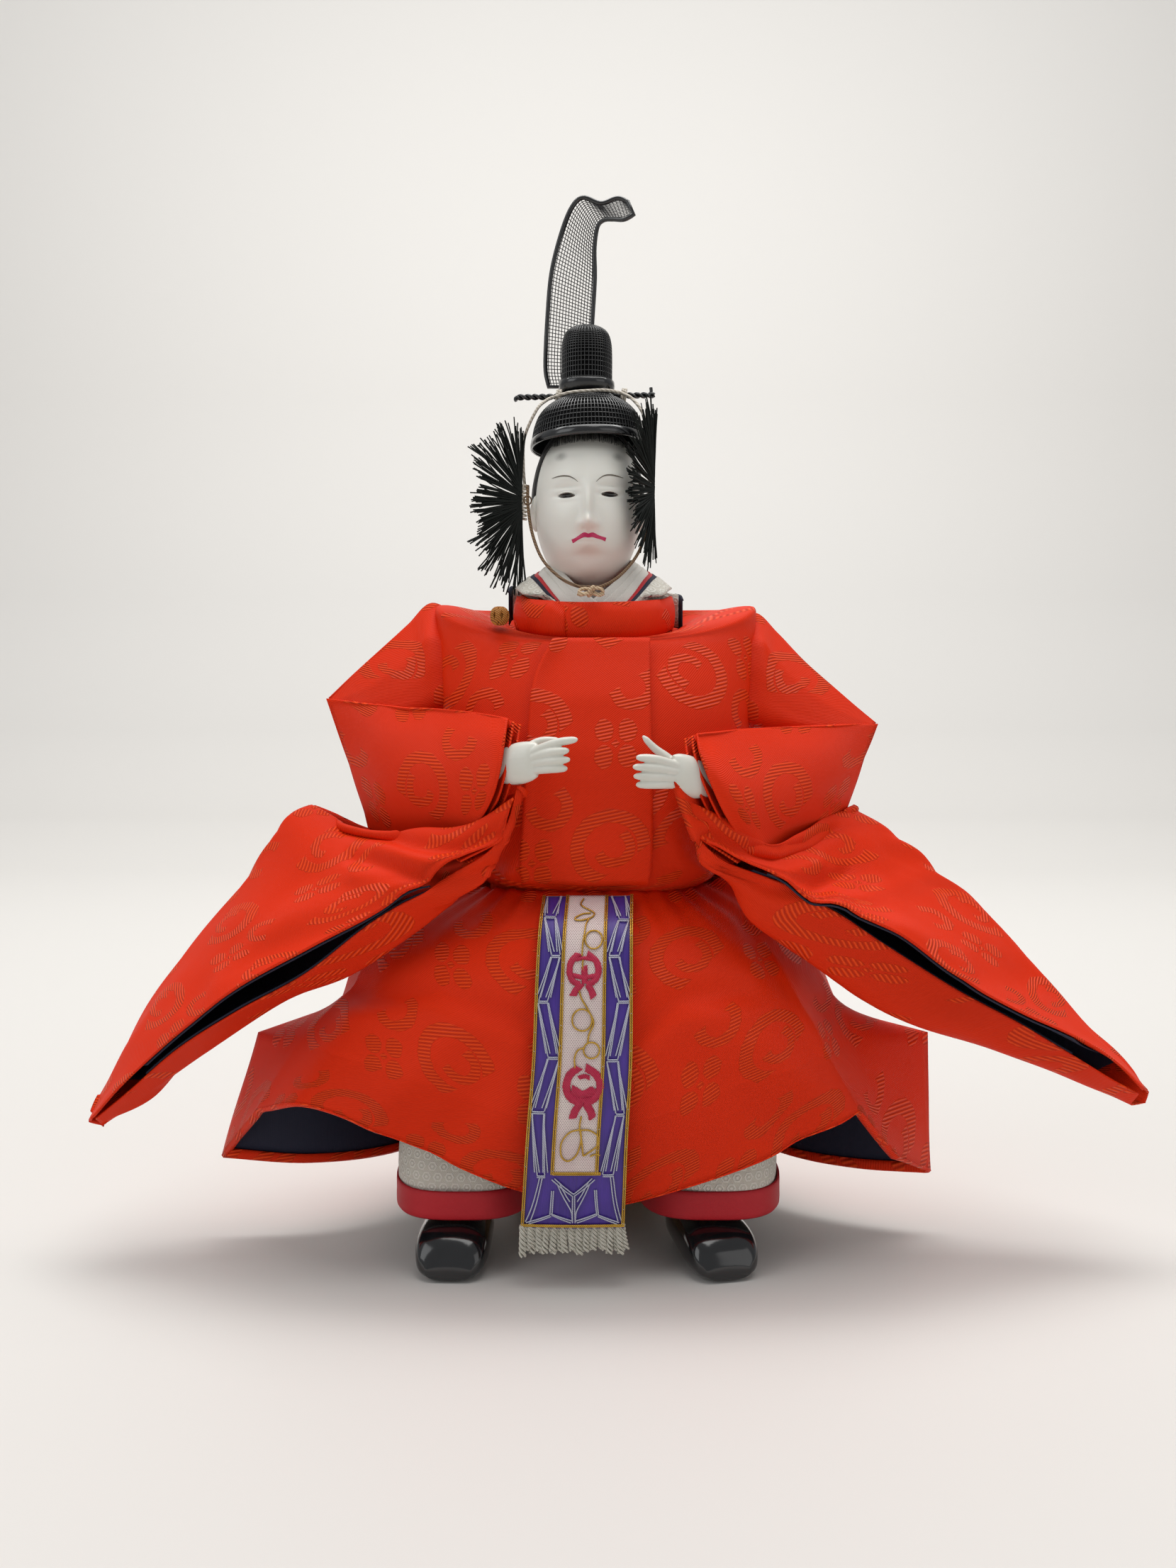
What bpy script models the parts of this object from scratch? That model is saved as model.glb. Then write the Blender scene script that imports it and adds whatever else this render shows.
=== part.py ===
"""Seated court-minister hina doll: cap, head, silk robe with hanging sleeves, trousers, shoes.

Metres, +Z up, the doll faces -Y and stands on the plane z = 0. Control points are written in
millimetres from the middle of the neck, because that is how a doll maker reads them, and MM
turns them into metres. An empty then carries the whole doll so that the foot of the seat post
has its middle at the origin.
"Right" and "left" are the doll's own: its right side is at -X.
"""

import math

import bmesh
import bpy
from mathutils import Matrix, Vector

MM = 0.001

# Driving dimensions, in millimetres
GAP = 0.3                # clearance between two pieces that lie against each other
CLOTH = 0.8              # robe silk with its paper backing
LINING = 0.5             # thinner lining cloth
SEAT_HEIGHT = 76.0       # top of the seat, under the straw body
SEAT_THICK = 11.0
SEAT_WIDTH = 62.0
SEAT_FRONT = -12.0
SEAT_BACK = 26.0
KNEE_INSET = 5.0         # the knees' middles lie this far inside the seat's sides
POST_WIDTH = 44.0        # the post that meets the table
POST_FRONT = 18.0
POST_BACK = 38.0
CORE_TOP = 163.0         # top of the straw body
NECK_RADIUS = 6.5
NECK_Y = 1.0
NECK_BOTTOM = 150.0
HEAD_CENTRE_Z = 196.5
HEAD_CENTRE_Y = -1.0
HEAD_WIDTH = 28.6
HEAD_DEPTH = 34.0
HEAD_HEIGHT = 43.5
HAIR_THICK = 0.9
HAT_RIM_Z = 213.6
HAT_HEIGHT = 12.6
HAT_WIDTH = 31.0
HAT_WALL = 0.8
RIM_WIRE = 0.6           # radius of the lacquered edge of the cap
CROWN_TOP = 247.6
CROWN_WIDTH = 14.0
CROWN_DEPTH = 12.5
CROWN_Y = 8.0
CROWN_BAND_HEIGHT = 3.4
PIN_LENGTH = 37.4
PIN_RADIUS = 0.75
PIN_Z = 227.4
TAIL_WIRE = 0.6          # radius of the wire round the net tail
TAIL_THICK = 0.5
ARM_WIRE = 1.2           # radius of the wire that carries both hands
SASH_WIDTH = 24.6
SASH_THICK = 1.0
FRINGE_LENGTH = 9.5
SHOE_LENGTH = 33.0
SHOE_WIDTH = 18.6
SHOE_HEIGHT = 12.6
TROUSER_TOP = SEAT_HEIGHT - SEAT_THICK - GAP
HEM_BAND_HEIGHT = 7.0
HEM_BAND_THICK = 0.6
FAN_THICK = 1.2

COLLECTION = "hina_doll"
CUTTERS = "hina_doll_cutters"


def clear_scene():
    for item in list(bpy.data.objects):
        bpy.data.objects.remove(item, do_unlink=True)
    for name in (COLLECTION, CUTTERS):
        group = bpy.data.collections.new(name)
        bpy.context.scene.collection.children.link(group)


def material(name, colour, roughness=0.6, metallic=0.0):
    """A plain finish: the colour in linear light, the roughness and the metal share."""
    finish = bpy.data.materials.get(name) or bpy.data.materials.new(name)
    finish.use_nodes = True
    finish.diffuse_color = (*colour, 1.0)
    shader = finish.node_tree.nodes["Principled BSDF"]
    shader.inputs["Base Color"].default_value = (*colour, 1.0)
    shader.inputs["Roughness"].default_value = roughness
    shader.inputs["Metallic"].default_value = metallic
    return finish


def put(name, data, finish=None, group=COLLECTION):
    """Link mesh or curve data as an object in its collection."""
    item = bpy.data.objects.new(name, data)
    bpy.data.collections[group].objects.link(item)
    if finish is not None:
        data.materials.append(finish)
    if group == CUTTERS:
        item.hide_render = True
        item.display_type = "WIRE"
    return item


def smooth(points, steps, sharp=()):
    """A Catmull-Rom curve through the points, with steps spans between each pair.

    At an index in sharp the curve has a fold: the two sides are splined apart.
    """
    points = [Vector(p) for p in points]
    folds = set(sharp) | {0, len(points) - 1}
    curve = []
    for i in range(len(points) - 1):
        here, there = points[i], points[i + 1]
        before = here * 2 - there if i in folds else points[i - 1]
        after = there * 2 - here if i + 1 in folds else points[i + 2]
        for k in range(steps):
            t = k / steps
            curve.append(0.5 * (2 * here + (there - before) * t
                                + (2 * before - 5 * here + 4 * there - after) * t ** 2
                                + (3 * here - before - 3 * there + after) * t ** 3))
    curve.append(points[-1])
    return curve


def resample(points, count, sharp=()):
    """The smooth curve through the points, read at count places evenly spaced along it."""
    curve = smooth(points, 12, sharp)
    reach = [0.0]
    for a, b in zip(curve, curve[1:]):
        reach.append(reach[-1] + (b - a).length)
    picked, k = [], 0
    for i in range(count):
        want = reach[-1] * i / (count - 1)
        while k < len(curve) - 2 and reach[k + 1] < want:
            k += 1
        span = (reach[k + 1] - reach[k]) or 1.0
        picked.append(curve[k].lerp(curve[k + 1], (want - reach[k]) / span))
    return picked


def patch(sections, across, along, sharp=()):
    """A grid of points from a few cross sections, each a list of control points.

    Every section is read at across evenly spaced places, and the places that match are
    splined from the first section to the last with along spans between two sections.
    """
    ribs = [resample(section, across, sharp) for section in sections]
    rails = [smooth([rib[i] for rib in ribs], along) for i in range(across)]
    return [list(row) for row in zip(*rails)]


def grid_mesh(name, rows, wrap=False, caps=False):
    """Quads between the rows. wrap closes each row on itself, caps closes the two ends."""
    mesh = bpy.data.meshes.new(name)
    shape = bmesh.new()
    points = [[shape.verts.new(Vector(p) * MM) for p in row] for row in rows]
    width = len(rows[0])
    for low, high in zip(points, points[1:]):
        for i in range(width if wrap else width - 1):
            j = (i + 1) % width
            shape.faces.new((low[i], low[j], high[j], high[i]))
    if caps:
        shape.faces.new(list(reversed(points[0])))
        shape.faces.new(points[-1])
    bmesh.ops.recalc_face_normals(shape, faces=shape.faces)
    shape.to_mesh(mesh)
    shape.free()
    return mesh


def facing_out(mesh, inside):
    """Turn an open sheet so that its faces look away from a point inside, in millimetres."""
    shape = bmesh.new()
    shape.from_mesh(mesh)
    centre = Vector(inside) * MM
    score = sum(f.normal.dot(f.calc_center_median() - centre) * f.calc_area() for f in shape.faces)
    if score < 0:
        bmesh.ops.reverse_faces(shape, faces=shape.faces)
    shape.to_mesh(mesh)
    shape.free()
    return mesh


def inset_rows(rows, depth, inside, wrap=False):
    """The same grid moved by depth towards its inner side, along its own normals."""
    mesh = facing_out(grid_mesh("inset_guide", rows, wrap), inside)
    mesh.update()
    width = len(rows[0])
    normals = [v.normal.copy() for v in mesh.vertices]
    bpy.data.meshes.remove(mesh)
    return [[Vector(p) - normals[r * width + i] * depth for i, p in enumerate(row)]
            for r, row in enumerate(rows)]


def sheet(name, rows, thick, finish, inside, wrap=False, group=COLLECTION):
    """Cloth: the grid is its outer face, and Solidify gives it its thickness inwards."""
    mesh = facing_out(grid_mesh(name, rows, wrap), inside)
    item = put(name, mesh, finish, group)
    wall = item.modifiers.new("Thickness", "SOLIDIFY")
    wall.thickness = thick * MM
    wall.offset = -1.0
    wall.use_even_offset = True
    mesh.shade_smooth()
    return item


def solid(name, rows, finish=None, group=COLLECTION):
    """A closed loft through the rings given as rows."""
    item = put(name, grid_mesh(name, rows, wrap=True, caps=True), finish, group)
    item.data.shade_smooth()
    item.data.set_sharp_from_angle(angle=math.radians(50))
    return item


def tube(name, points, radius, finish, sides=3, closed=False, group=COLLECTION):
    """A wire or cord: a straight-span curve with a round section and filled ends."""
    data = bpy.data.curves.new(name, "CURVE")
    data.dimensions = "3D"
    data.bevel_depth = radius * MM
    data.bevel_resolution = sides
    data.resolution_u = 1
    data.use_fill_caps = not closed
    line = data.splines.new("POLY")
    line.points.add(len(points) - 1)
    for target, point in zip(line.points, points):
        target.co = (*(Vector(point) * MM), 1.0)
    line.use_cyclic_u = closed
    return put(name, data, finish, group)


def as_mesh(item):
    """Replace an object by its evaluated mesh, welded, so that it can be cut or joined."""
    shown = item.evaluated_get(bpy.context.evaluated_depsgraph_get())
    mesh = bpy.data.meshes.new_from_object(shown)
    mesh.transform(item.matrix_world)
    shape = bmesh.new()
    shape.from_mesh(mesh)
    bmesh.ops.remove_doubles(shape, verts=shape.verts, dist=1e-6)
    bmesh.ops.recalc_face_normals(shape, faces=shape.faces)
    shape.to_mesh(mesh)
    shape.free()
    name, group = item.name, item.users_collection[0].name
    bpy.data.objects.remove(item, do_unlink=True)
    return put(name, mesh, None, group)


def combine(item, other, operation):
    """Boolean with a second object, applied, and the second object removed."""
    tool = item.modifiers.new(operation.title(), "BOOLEAN")
    tool.operation = operation
    tool.solver = "EXACT"
    tool.object = other
    bpy.context.view_layer.update()
    result = as_mesh(item)
    bpy.data.objects.remove(other, do_unlink=True)
    return result


def ring(centre, across, along, reach_a, reach_b, count, power=2.0, back=None):
    """A closed superellipse: centre, two unit directions and the reach in each.

    back is the reach on the negative side of along, where the two sides differ.
    """
    points = []
    for k in range(count):
        angle = 2 * math.pi * k / count
        c, s = math.cos(angle), math.sin(angle)
        depth = reach_b if s >= 0 or back is None else back
        points.append(Vector(centre)
                      + Vector(across) * reach_a * math.copysign(abs(c) ** (2 / power), c)
                      + Vector(along) * depth * math.copysign(abs(s) ** (2 / power), s))
    return points


def box(name, low, high, group=COLLECTION):
    """A plain block between two corners."""
    mesh = bpy.data.meshes.new(name)
    shape = bmesh.new()
    bmesh.ops.create_cube(shape, size=1.0)
    size = Vector(high) - Vector(low)
    middle = (Vector(high) + Vector(low)) / 2
    bmesh.ops.scale(shape, vec=size * MM, verts=shape.verts)
    bmesh.ops.translate(shape, vec=middle * MM, verts=shape.verts)
    shape.to_mesh(mesh)
    shape.free()
    return put(name, mesh, None, group)


def seat_block(finishes):
    """Wooden seat inside the robe: a board under the body on a post that meets the table."""
    half, post = SEAT_WIDTH / 2, POST_WIDTH / 2
    board = box("seat_block", (-half, SEAT_FRONT, SEAT_HEIGHT - SEAT_THICK), (half, SEAT_BACK, SEAT_HEIGHT))
    leg = box("seat_post", (-post, POST_FRONT, 0), (post, POST_BACK, SEAT_HEIGHT), CUTTERS)
    seat = combine(board, leg, "UNION")
    seat.data.materials.append(finishes["wood"])


# Straw body: height, half width, reach forwards, reach back
CORE_SECTIONS = [
    (SEAT_HEIGHT + GAP, 22, 16, 20),
    (100, 23.4, 19, 18),
    (125, 29, 24, 20),
    (145, 30, 21, 19),
    (156, 29, 14, 14),
    (CORE_TOP, 22, 8, 9),
]
ARM_PATH_RIGHT = [(0, 0, 150), (-32, 0, 150), (-50, -1, 144), (-58.5, -4, 138), (-57.5, -10, 131),
                  (-46, -22, 128), (-33, -32.5, 127.5), (-22, -40.5, 127.8)]
ARM_PATH_LEFT = [(0, 0, 150), (34, 0, 149), (56, -1, 140), (66, -4, 133), (65, -10, 127),
                 (53, -22, 125), (41, -32.5, 124.6), (30, -40.5, 124.4)]


def torso_core(finishes):
    """The bundle of straw that the robe is dressed on, bored for the arm wire and the neck."""
    rows = [ring((0, 0, z), (1, 0, 0), (0, -1, 0), half, front, 16, 2.3, back)
            for z, half, front, back in CORE_SECTIONS]
    solid("torso_core", rows, finishes["straw"])
    core = as_mesh(bpy.data.objects["torso_core"])
    route = list(reversed(smooth(ARM_PATH_RIGHT, 2)[:5])) + smooth(ARM_PATH_LEFT, 2)[1:5]
    bore = tube("arm_bore", route, ARM_WIRE + GAP, None, sides=2, group=CUTTERS)
    core = combine(core, as_mesh(bore), "DIFFERENCE")
    hole = solid("neck_bore", [ring((0, NECK_Y, z), (1, 0, 0), (0, 1, 0), NECK_RADIUS + GAP,
                                    NECK_RADIUS + GAP, 20)
                               for z in (NECK_BOTTOM + 4 - GAP, CORE_TOP + 10)], None, CUTTERS)
    core = combine(core, as_mesh(hole), "DIFFERENCE")
    core.data.materials.append(finishes["straw"])


def arm_wire(finishes):
    """One wire through the straw body carries both hands, as in the real doll."""
    right = smooth(ARM_PATH_RIGHT, 2)
    left = smooth(ARM_PATH_LEFT, 2)
    tube("arm_wire", list(reversed(right)) + left[1:], ARM_WIRE, finishes["wire"], sides=1)


def legs_and_shoes(finishes):
    """Wooden leg stubs under the seat board, each on a lacquered court shoe."""
    for side, name, toe_out in ((-1, "right", 2), (1, "left", 12)):
        foot = Vector((-34.0, -20.0, 0)) if side < 0 else Vector((31.5, -20.0, 0))
        turn = math.radians(toe_out) * side
        forward = Vector((math.sin(turn), -math.cos(turn), 0))
        aside = Vector((math.cos(turn), math.sin(turn), 0))
        # along the foot from heel to toe: share of length, half width, height, roundness
        shape = [(-0.50, 0.30, 0.45), (-0.46, 0.40, 0.80), (-0.30, 0.46, 1.0), (0.0, 0.49, 1.0),
                 (0.22, 0.50, 0.98), (0.36, 0.48, 0.86), (0.45, 0.42, 0.62), (0.50, 0.30, 0.34)]
        rows = []
        for share, half, high in shape:
            height = SHOE_HEIGHT * high
            low = 0.0 if -0.45 < share < 0.44 else 0.8
            centre = foot + forward * (share * SHOE_LENGTH)
            rows.append(ring(centre + Vector((0, 0, (height + low) / 2)), aside, (0, 0, 1),
                             SHOE_WIDTH * half, (height - low) / 2, 14, 3.0))
        solid("shoe_" + name, rows, finishes["lacquer"])
        shoe = as_mesh(bpy.data.objects["shoe_" + name])
        mouth = [ring(foot - forward * 6 + Vector((0, 0, z)), aside, forward, SHOE_WIDTH * 0.36,
                      9.0, 20, 2.4, 9.5) for z in (SHOE_HEIGHT * 0.35, SHOE_HEIGHT + 2)]
        shoe = combine(shoe, as_mesh(solid("mouth_" + name, mouth, None, CUTTERS)), "DIFFERENCE")
        shoe.data.materials.append(finishes["lacquer"])
        shoe.data.shade_smooth()
        shoe.data.set_sharp_from_angle(angle=math.radians(40))
        ankle = foot - forward * 6
        knee = Vector((side * (SEAT_WIDTH / 2 - KNEE_INSET), -4.0, SEAT_HEIGHT - SEAT_THICK - GAP))
        leg = [ring(ankle + Vector((0, 0, SHOE_HEIGHT * 0.35 + GAP)), (1, 0, 0), (0, 1, 0), 4.6, 5.6, 12),
               ring(ankle + Vector((0, 0, 20)), (1, 0, 0), (0, 1, 0), 4.8, 5.8, 12),
               ring(knee, (1, 0, 0), (0, 1, 0), 5.5, 6.0, 12)]
        solid("leg_" + name, leg, finishes["wood"])


def hakama_rows(side, grow=0.0):
    """Wide trouser leg: a flattened tube, its front lower edge a little lower than the sides."""
    outer, inner = (-50.3, -14.6) if side < 0 else (50.4, 13.4)
    centre = (outer + inner) / 2
    half = abs(outer - inner) / 2
    rows = []
    for z, narrow, front, back in ((TROUSER_TOP, 4.0, 18, 8), (44, 1.5, 24, 11), (30, 0.3, 27, 13),
                                   (22, 0.0, 28.5, 13.5), (13.6, 0.4, 28.5, 13.5)):
        rows.append(ring((centre, -4, z), (1, 0, 0), (0, -1, 0), half - narrow + grow,
                         front - 4 + grow, 16, 3.0, back + 4 + grow))
    return rows


def trousers(finishes):
    """Cream brocade trouser legs, each with a crimson band round its hem."""
    for side, name in ((-1, "right"), (1, "left")):
        rows = hakama_rows(side)
        centre = (side * 32, -4, 30)
        sheet("hakama_" + name, rows, CLOTH, finishes["brocade"], centre, wrap=True)
        low = hakama_rows(side, GAP * 1.5 + HEM_BAND_THICK)[-1]
        band = [[p + Vector((0, 0, rise - 0.6)) for p in low] for rise in (HEM_BAND_HEIGHT, 0.0)]
        sheet("hakama_hem_" + name, band, HEM_BAND_THICK, finishes["crimson"], centre, wrap=True)


def head_point(azimuth, height):
    """A point of the head: azimuth 0 is the face's middle line, height -1 chin to 1 crown."""
    lift = math.sin(height * math.pi / 2)
    flat = math.cos(height * math.pi / 2)
    half, depth, tall = HEAD_WIDTH / 2, HEAD_DEPTH / 2, HEAD_HEIGHT / 2
    s, c = math.sin(azimuth), math.cos(azimuth)
    jaw = 1.0 - 0.16 * max(0.0, -lift - 0.15) ** 1.2
    x = half * flat ** 0.82 * s * jaw
    y = -depth * flat ** 0.80 * c
    z = tall * lift
    if c > 0:
        y = y * (0.96 - 0.04 * lift) - 1.6 * max(0.0, -lift - 0.35) * c
    else:
        z += 6.0 * max(0.0, -lift) * (-c)

    def bump(x0, z0, wide, high, out):
        return out * math.exp(-((x - x0) / wide) ** 2 - ((z - z0) / high) ** 2)

    if c > 0.2:
        y -= bump(0, -3.0, 1.9, 4.2, 1.9) + bump(0, -6.6, 2.3, 1.6, 2.3)
        y -= bump(0, -11.3, 4.2, 1.9, 1.1) + bump(0, -19.0, 5.0, 3.0, 1.2)
        y += bump(-6.0, 2.2, 3.6, 2.4, 1.1) + bump(6.0, 2.2, 3.6, 2.4, 1.1)
        y += bump(0, -15.0, 5.0, 1.4, 0.6) + bump(0, 3.5, 2.4, 2.2, 0.4)
        y -= bump(-8.2, -5.0, 3.6, 3.6, 0.4) + bump(8.2, -5.0, 3.6, 3.6, 0.4)
    return Vector((x, HEAD_CENTRE_Y + y, HEAD_CENTRE_Z + z))


def head_and_neck(finishes):
    """The head with its modelled face, glass eyes set in the lids, and the neck peg below."""
    around, levels = 22, 14
    rows = []
    for level in range(1, levels):
        height = -1 + 2 * level / levels
        rows.append([head_point(2 * math.pi * k / around, height) for k in range(around)])
    solid("head", rows, finishes["face"])
    head = as_mesh(bpy.data.objects["head"])
    socket = solid("neck_socket", [ring((0, NECK_Y, z), (1, 0, 0), (0, 1, 0), NECK_RADIUS + GAP,
                                        NECK_RADIUS + GAP, 16)
                                   for z in (160, 184 + GAP)], None, CUTTERS)
    head = combine(head, as_mesh(socket), "DIFFERENCE")
    for side, x, z in ((-1, -6.2, 198.4), (1, 5.8, 198.7)):
        name = "right" if side < 0 else "left"
        face_y = face_front(head, x, z)
        pocket = solid("eye_pocket", eye_rows(x, face_y - 1.2, z, 2.1 + GAP * 0.5, 0.62 + GAP * 0.5, 2.6),
                       None, CUTTERS)
        head = combine(head, as_mesh(pocket), "DIFFERENCE")
        solid("eye_" + name, eye_rows(x, face_y + 0.15, z, 2.0, 0.5, 1.0), finishes["glass"])
    head.data.materials.append(finishes["face"])
    head.data.shade_smooth()
    rows = [ring((0, NECK_Y, z), (1, 0, 0), (0, 1, 0), radius, radius, 16)
            for z, radius in ((NECK_BOTTOM + 4, NECK_RADIUS - 1.0), (CORE_TOP, NECK_RADIUS),
                              (184, NECK_RADIUS))]
    solid("neck_peg", rows, finishes["face"])


def eye_rows(x, y, z, half, high, deep):
    """A slit eye: an almond outline, from its front face back into the head."""
    return [ring((x, y + back, z), (1, 0, 0), (0, 0, 1), half, high, 12, 1.5) for back in (0, deep)]


def face_front(head, x, z):
    """How far forward the face reaches at this place, in millimetres."""
    hit, where, _normal, _face = head.ray_cast(Vector((x, -60, z)) * MM, Vector((0, 1, 0)))
    return where.y / MM if hit else -14.0


def hair(finishes):
    """Black hair: a shell over the skull, bare over the face."""
    around, levels = 16, 7
    rows = []
    for level in range(levels):
        height = 0.66 - 1.02 * level / (levels - 1)
        row = []
        for k in range(around):
            # the shell runs from one temple round the back of the head to the other
            azimuth = math.radians(63 + 10 * max(0.0, height) ** 2) + (
                2 * math.pi - 2 * math.radians(63 + 10 * max(0.0, height) ** 2)) * k / (around - 1)
            p = head_point(azimuth, height)
            away = Vector((p.x, p.y - HEAD_CENTRE_Y, (p.z - HEAD_CENTRE_Z) * 0.6)).normalized()
            row.append(p + away * (HAIR_THICK + GAP))
        rows.append(row)
    sheet("hair", rows, HAIR_THICK, finishes["hair"], (0, HEAD_CENTRE_Y, HEAD_CENTRE_Z - 6))


def cap(finishes):
    """The court cap: bowl with a lacquered rim, tall crown with a band, pin through both."""
    half = HAT_WIDTH / 2
    bowl = [(0.01, HAT_HEIGHT), (half * 0.30, HAT_HEIGHT - 0.2), (half * 0.62, HAT_HEIGHT - 1.5),
            (half * 0.84, HAT_HEIGHT - 4.2), (half * 0.95, HAT_HEIGHT - 7.6), (half, 1.2), (half, 0)]
    rows = [ring((0, 0, HAT_RIM_Z + z), (1, 0, 0), (0, 1, 0), r, r * 1.12, 20) for r, z in bowl[1:]]
    mesh = facing_out(grid_mesh("hat_bowl", rows, wrap=True), (0, 0, HAT_RIM_Z))
    shape = bmesh.new()
    shape.from_mesh(mesh)
    shape.verts.ensure_lookup_table()
    shape.faces.new([shape.verts[k] for k in range(20)])
    bmesh.ops.recalc_face_normals(shape, faces=shape.faces)
    shape.to_mesh(mesh)
    shape.free()
    facing_out(mesh, (0, 0, HAT_RIM_Z))
    item = put("hat_bowl", mesh, finishes["mesh_lacquer"])
    wall = item.modifiers.new("Thickness", "SOLIDIFY")
    wall.thickness = HAT_WALL * MM
    wall.offset = -1.0
    mesh.shade_smooth()
    edge = half + RIM_WIRE + GAP + 0.15
    tube("hat_rim", ring((0, 0, HAT_RIM_Z + RIM_WIRE), (1, 0, 0), (0, 1, 0), edge, edge * 1.12, 20),
         RIM_WIRE, finishes["lacquer"], sides=1, closed=True)

    seat = HAT_RIM_Z + HAT_HEIGHT + GAP
    tall = CROWN_TOP - seat
    wide, deep = CROWN_WIDTH / 2, CROWN_DEPTH / 2
    crown = [(0.0, 1.0), (0.35, 1.0), (0.62, 1.0), (0.80, 0.97), (0.90, 0.84), (0.97, 0.55), (1.0, 0.2)]
    rows = [ring((0, CROWN_Y - 2, seat + tall * up), (1, 0, 0), (0, 1, 0), wide * s, deep * s, 20, 2.3)
            for up, s in crown]
    solid("hat_crown", rows, finishes["mesh_lacquer"])
    bore = tube("pin_bore", [(-20, CROWN_Y - 6, PIN_Z), (20, CROWN_Y - 6, PIN_Z)], PIN_RADIUS + GAP,
                None, group=CUTTERS)
    grown = combine(as_mesh(bpy.data.objects["hat_crown"]), as_mesh(bore), "DIFFERENCE")
    grown.data.materials.append(finishes["mesh_lacquer"])
    grown.data.shade_smooth()
    grown.data.set_sharp_from_angle(angle=math.radians(50))
    base = PIN_Z + PIN_RADIUS + 0.6
    band = [ring((0, CROWN_Y - 2, z), (1, 0, 0), (0, 1, 0), wide + GAP + 0.5, deep + GAP + 0.5, 20, 2.3)
            for z in (base, base + CROWN_BAND_HEIGHT)]
    sheet("hat_crown_band", band, 0.5, finishes["lacquer"], (0, CROWN_Y - 2, base), wrap=True)
    twisted_pin(finishes)


def twisted_pin(finishes):
    """The hat pin: two twisted strands, drawn as one ridged rod."""
    rows = []
    steps = 28
    for k in range(steps + 1):
        x = -PIN_LENGTH / 2 - 0.7 + PIN_LENGTH * k / steps
        twist = 2 * math.pi * 7 * k / steps
        across = (0, math.cos(twist), math.sin(twist))
        along = (0, -math.sin(twist), math.cos(twist))
        rows.append(ring((x, CROWN_Y - 6, PIN_Z), across, along, PIN_RADIUS, PIN_RADIUS * 0.55, 6))
    solid("hat_pin", rows, finishes["wire"])


# The net tail: left edge and right edge of the ribbon, from its foot behind the crown upwards
TAIL_LEFT = [(-11.0, 13.4, 233.0), (-11.9, 13.6, 239), (-11.2, 13.2, 253.7), (-10.1, 12.8, 264.6),
             (-7.5, 12, 274.5), (-4.6, 11.2, 281.4), (-1.4, 10.2, 283.8), (3.6, 9.6, 282.0),
             (8.1, 8.6, 283.0), (10.9, 7.8, 281.6)]
TAIL_RIGHT = [(0.8, 13.35, 233.0), (0.6, 13.4, 239), (1.2, 13.2, 250.8), (1.9, 12.6, 262.7),
              (1.8, 11.8, 270.5), (2.6, 10.8, 276.0), (4.4, 10.0, 277.6), (7.0, 9.0, 277.4),
              (9.9, 7.6, 276.8), (12.5, 6.8, 277.8)]


def net_tail(finishes):
    """The tail of the cap: a ribbon of open net with a wire round its edge."""
    cells_across, cells_along = 4, 10
    bar = 0.22
    stations = []
    for k in range(cells_along):
        stations += [k, k + bar]
    stations += [cells_along, cells_along + bar]
    whole = cells_along + bar
    shares = []
    for k in range(cells_across):
        shares += [k, k + bar]
    shares += [cells_across, cells_across + bar]
    wide = cells_across + bar
    fine_left, fine_right = resample(TAIL_LEFT, 200), resample(TAIL_RIGHT, 200)
    rows = []
    for station in stations:
        at = round(7 + 185 * station / whole)
        a, b = fine_left[at], fine_right[at]
        inset = (TAIL_WIRE + GAP * 4) / (b - a).length
        rows.append([a.lerp(b, inset + (1 - 2 * inset) * share / wide) for share in shares])
    mesh = grid_mesh("hat_tail_net", rows)
    shape = bmesh.new()
    shape.from_mesh(mesh)
    shape.faces.ensure_lookup_table()
    width = len(shares) - 1
    gaps = [f for i, f in enumerate(shape.faces) if (i % width) % 2 == 1 and (i // width) % 2 == 1]
    bmesh.ops.delete(shape, geom=gaps, context="FACES")
    shape.to_mesh(mesh)
    shape.free()
    item = put("hat_tail_net", mesh, finishes["mesh_lacquer"])
    wall = item.modifiers.new("Thickness", "SOLIDIFY")
    wall.thickness = TAIL_THICK * MM
    wall.offset = 0.0
    loop = resample(TAIL_LEFT, 19) + list(reversed(resample(TAIL_RIGHT, 19)))
    tube("hat_tail_frame", loop, TAIL_WIRE, finishes["wire"], sides=1, closed=True)


# Robe body: height, half width, reach forwards, reach back
# and how far the ring drops in front, where the neck opening is lower
BODY_SECTIONS = [
    (97.5, 28.5, 26, 24, 0), (99.3, 32.5, 31.5, 27.5, 0), (106, 36, 33.8, 29.5, 0),
    (118, 39, 34.6, 30.2, 0),
    (132, 41, 33.4, 29, 0), (145, 42.2, 30.4, 26.5, 0), (154, 42.8, 27, 23.6, 0),
    (160, 43, 25, 21.5, 1.6),
    (166, 43, 23.9, 19.5, 6.8), (170.2, 42.4, 23.6, 17.6, 10.6), (170.4, 34, 23.4, 17.8, 10.5),
    (168.4, 28, 23.2, 18.8, 8.3), (167.4, 24.8, 23.0, 19.6, 6.9),
]
BODY_X = 2.2                            # the body's middle plane
ARMHOLE = (0.5, 150.0, 11.5, 17.0)     # y and z of its centre, half depth, half height


def body_rows(grow=0.0):
    rows = []
    for z, half, front, back, drop in BODY_SECTIONS:
        row = ring((BODY_X, 0, z), (1, 0, 0), (0, -1, 0), half + grow, front + grow, 24, 2.4, back + grow)
        rows.append([p - Vector((0, 0, drop * max(0.0, -p.y / front) ** 1.6)) for p in row])
    return rows


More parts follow.
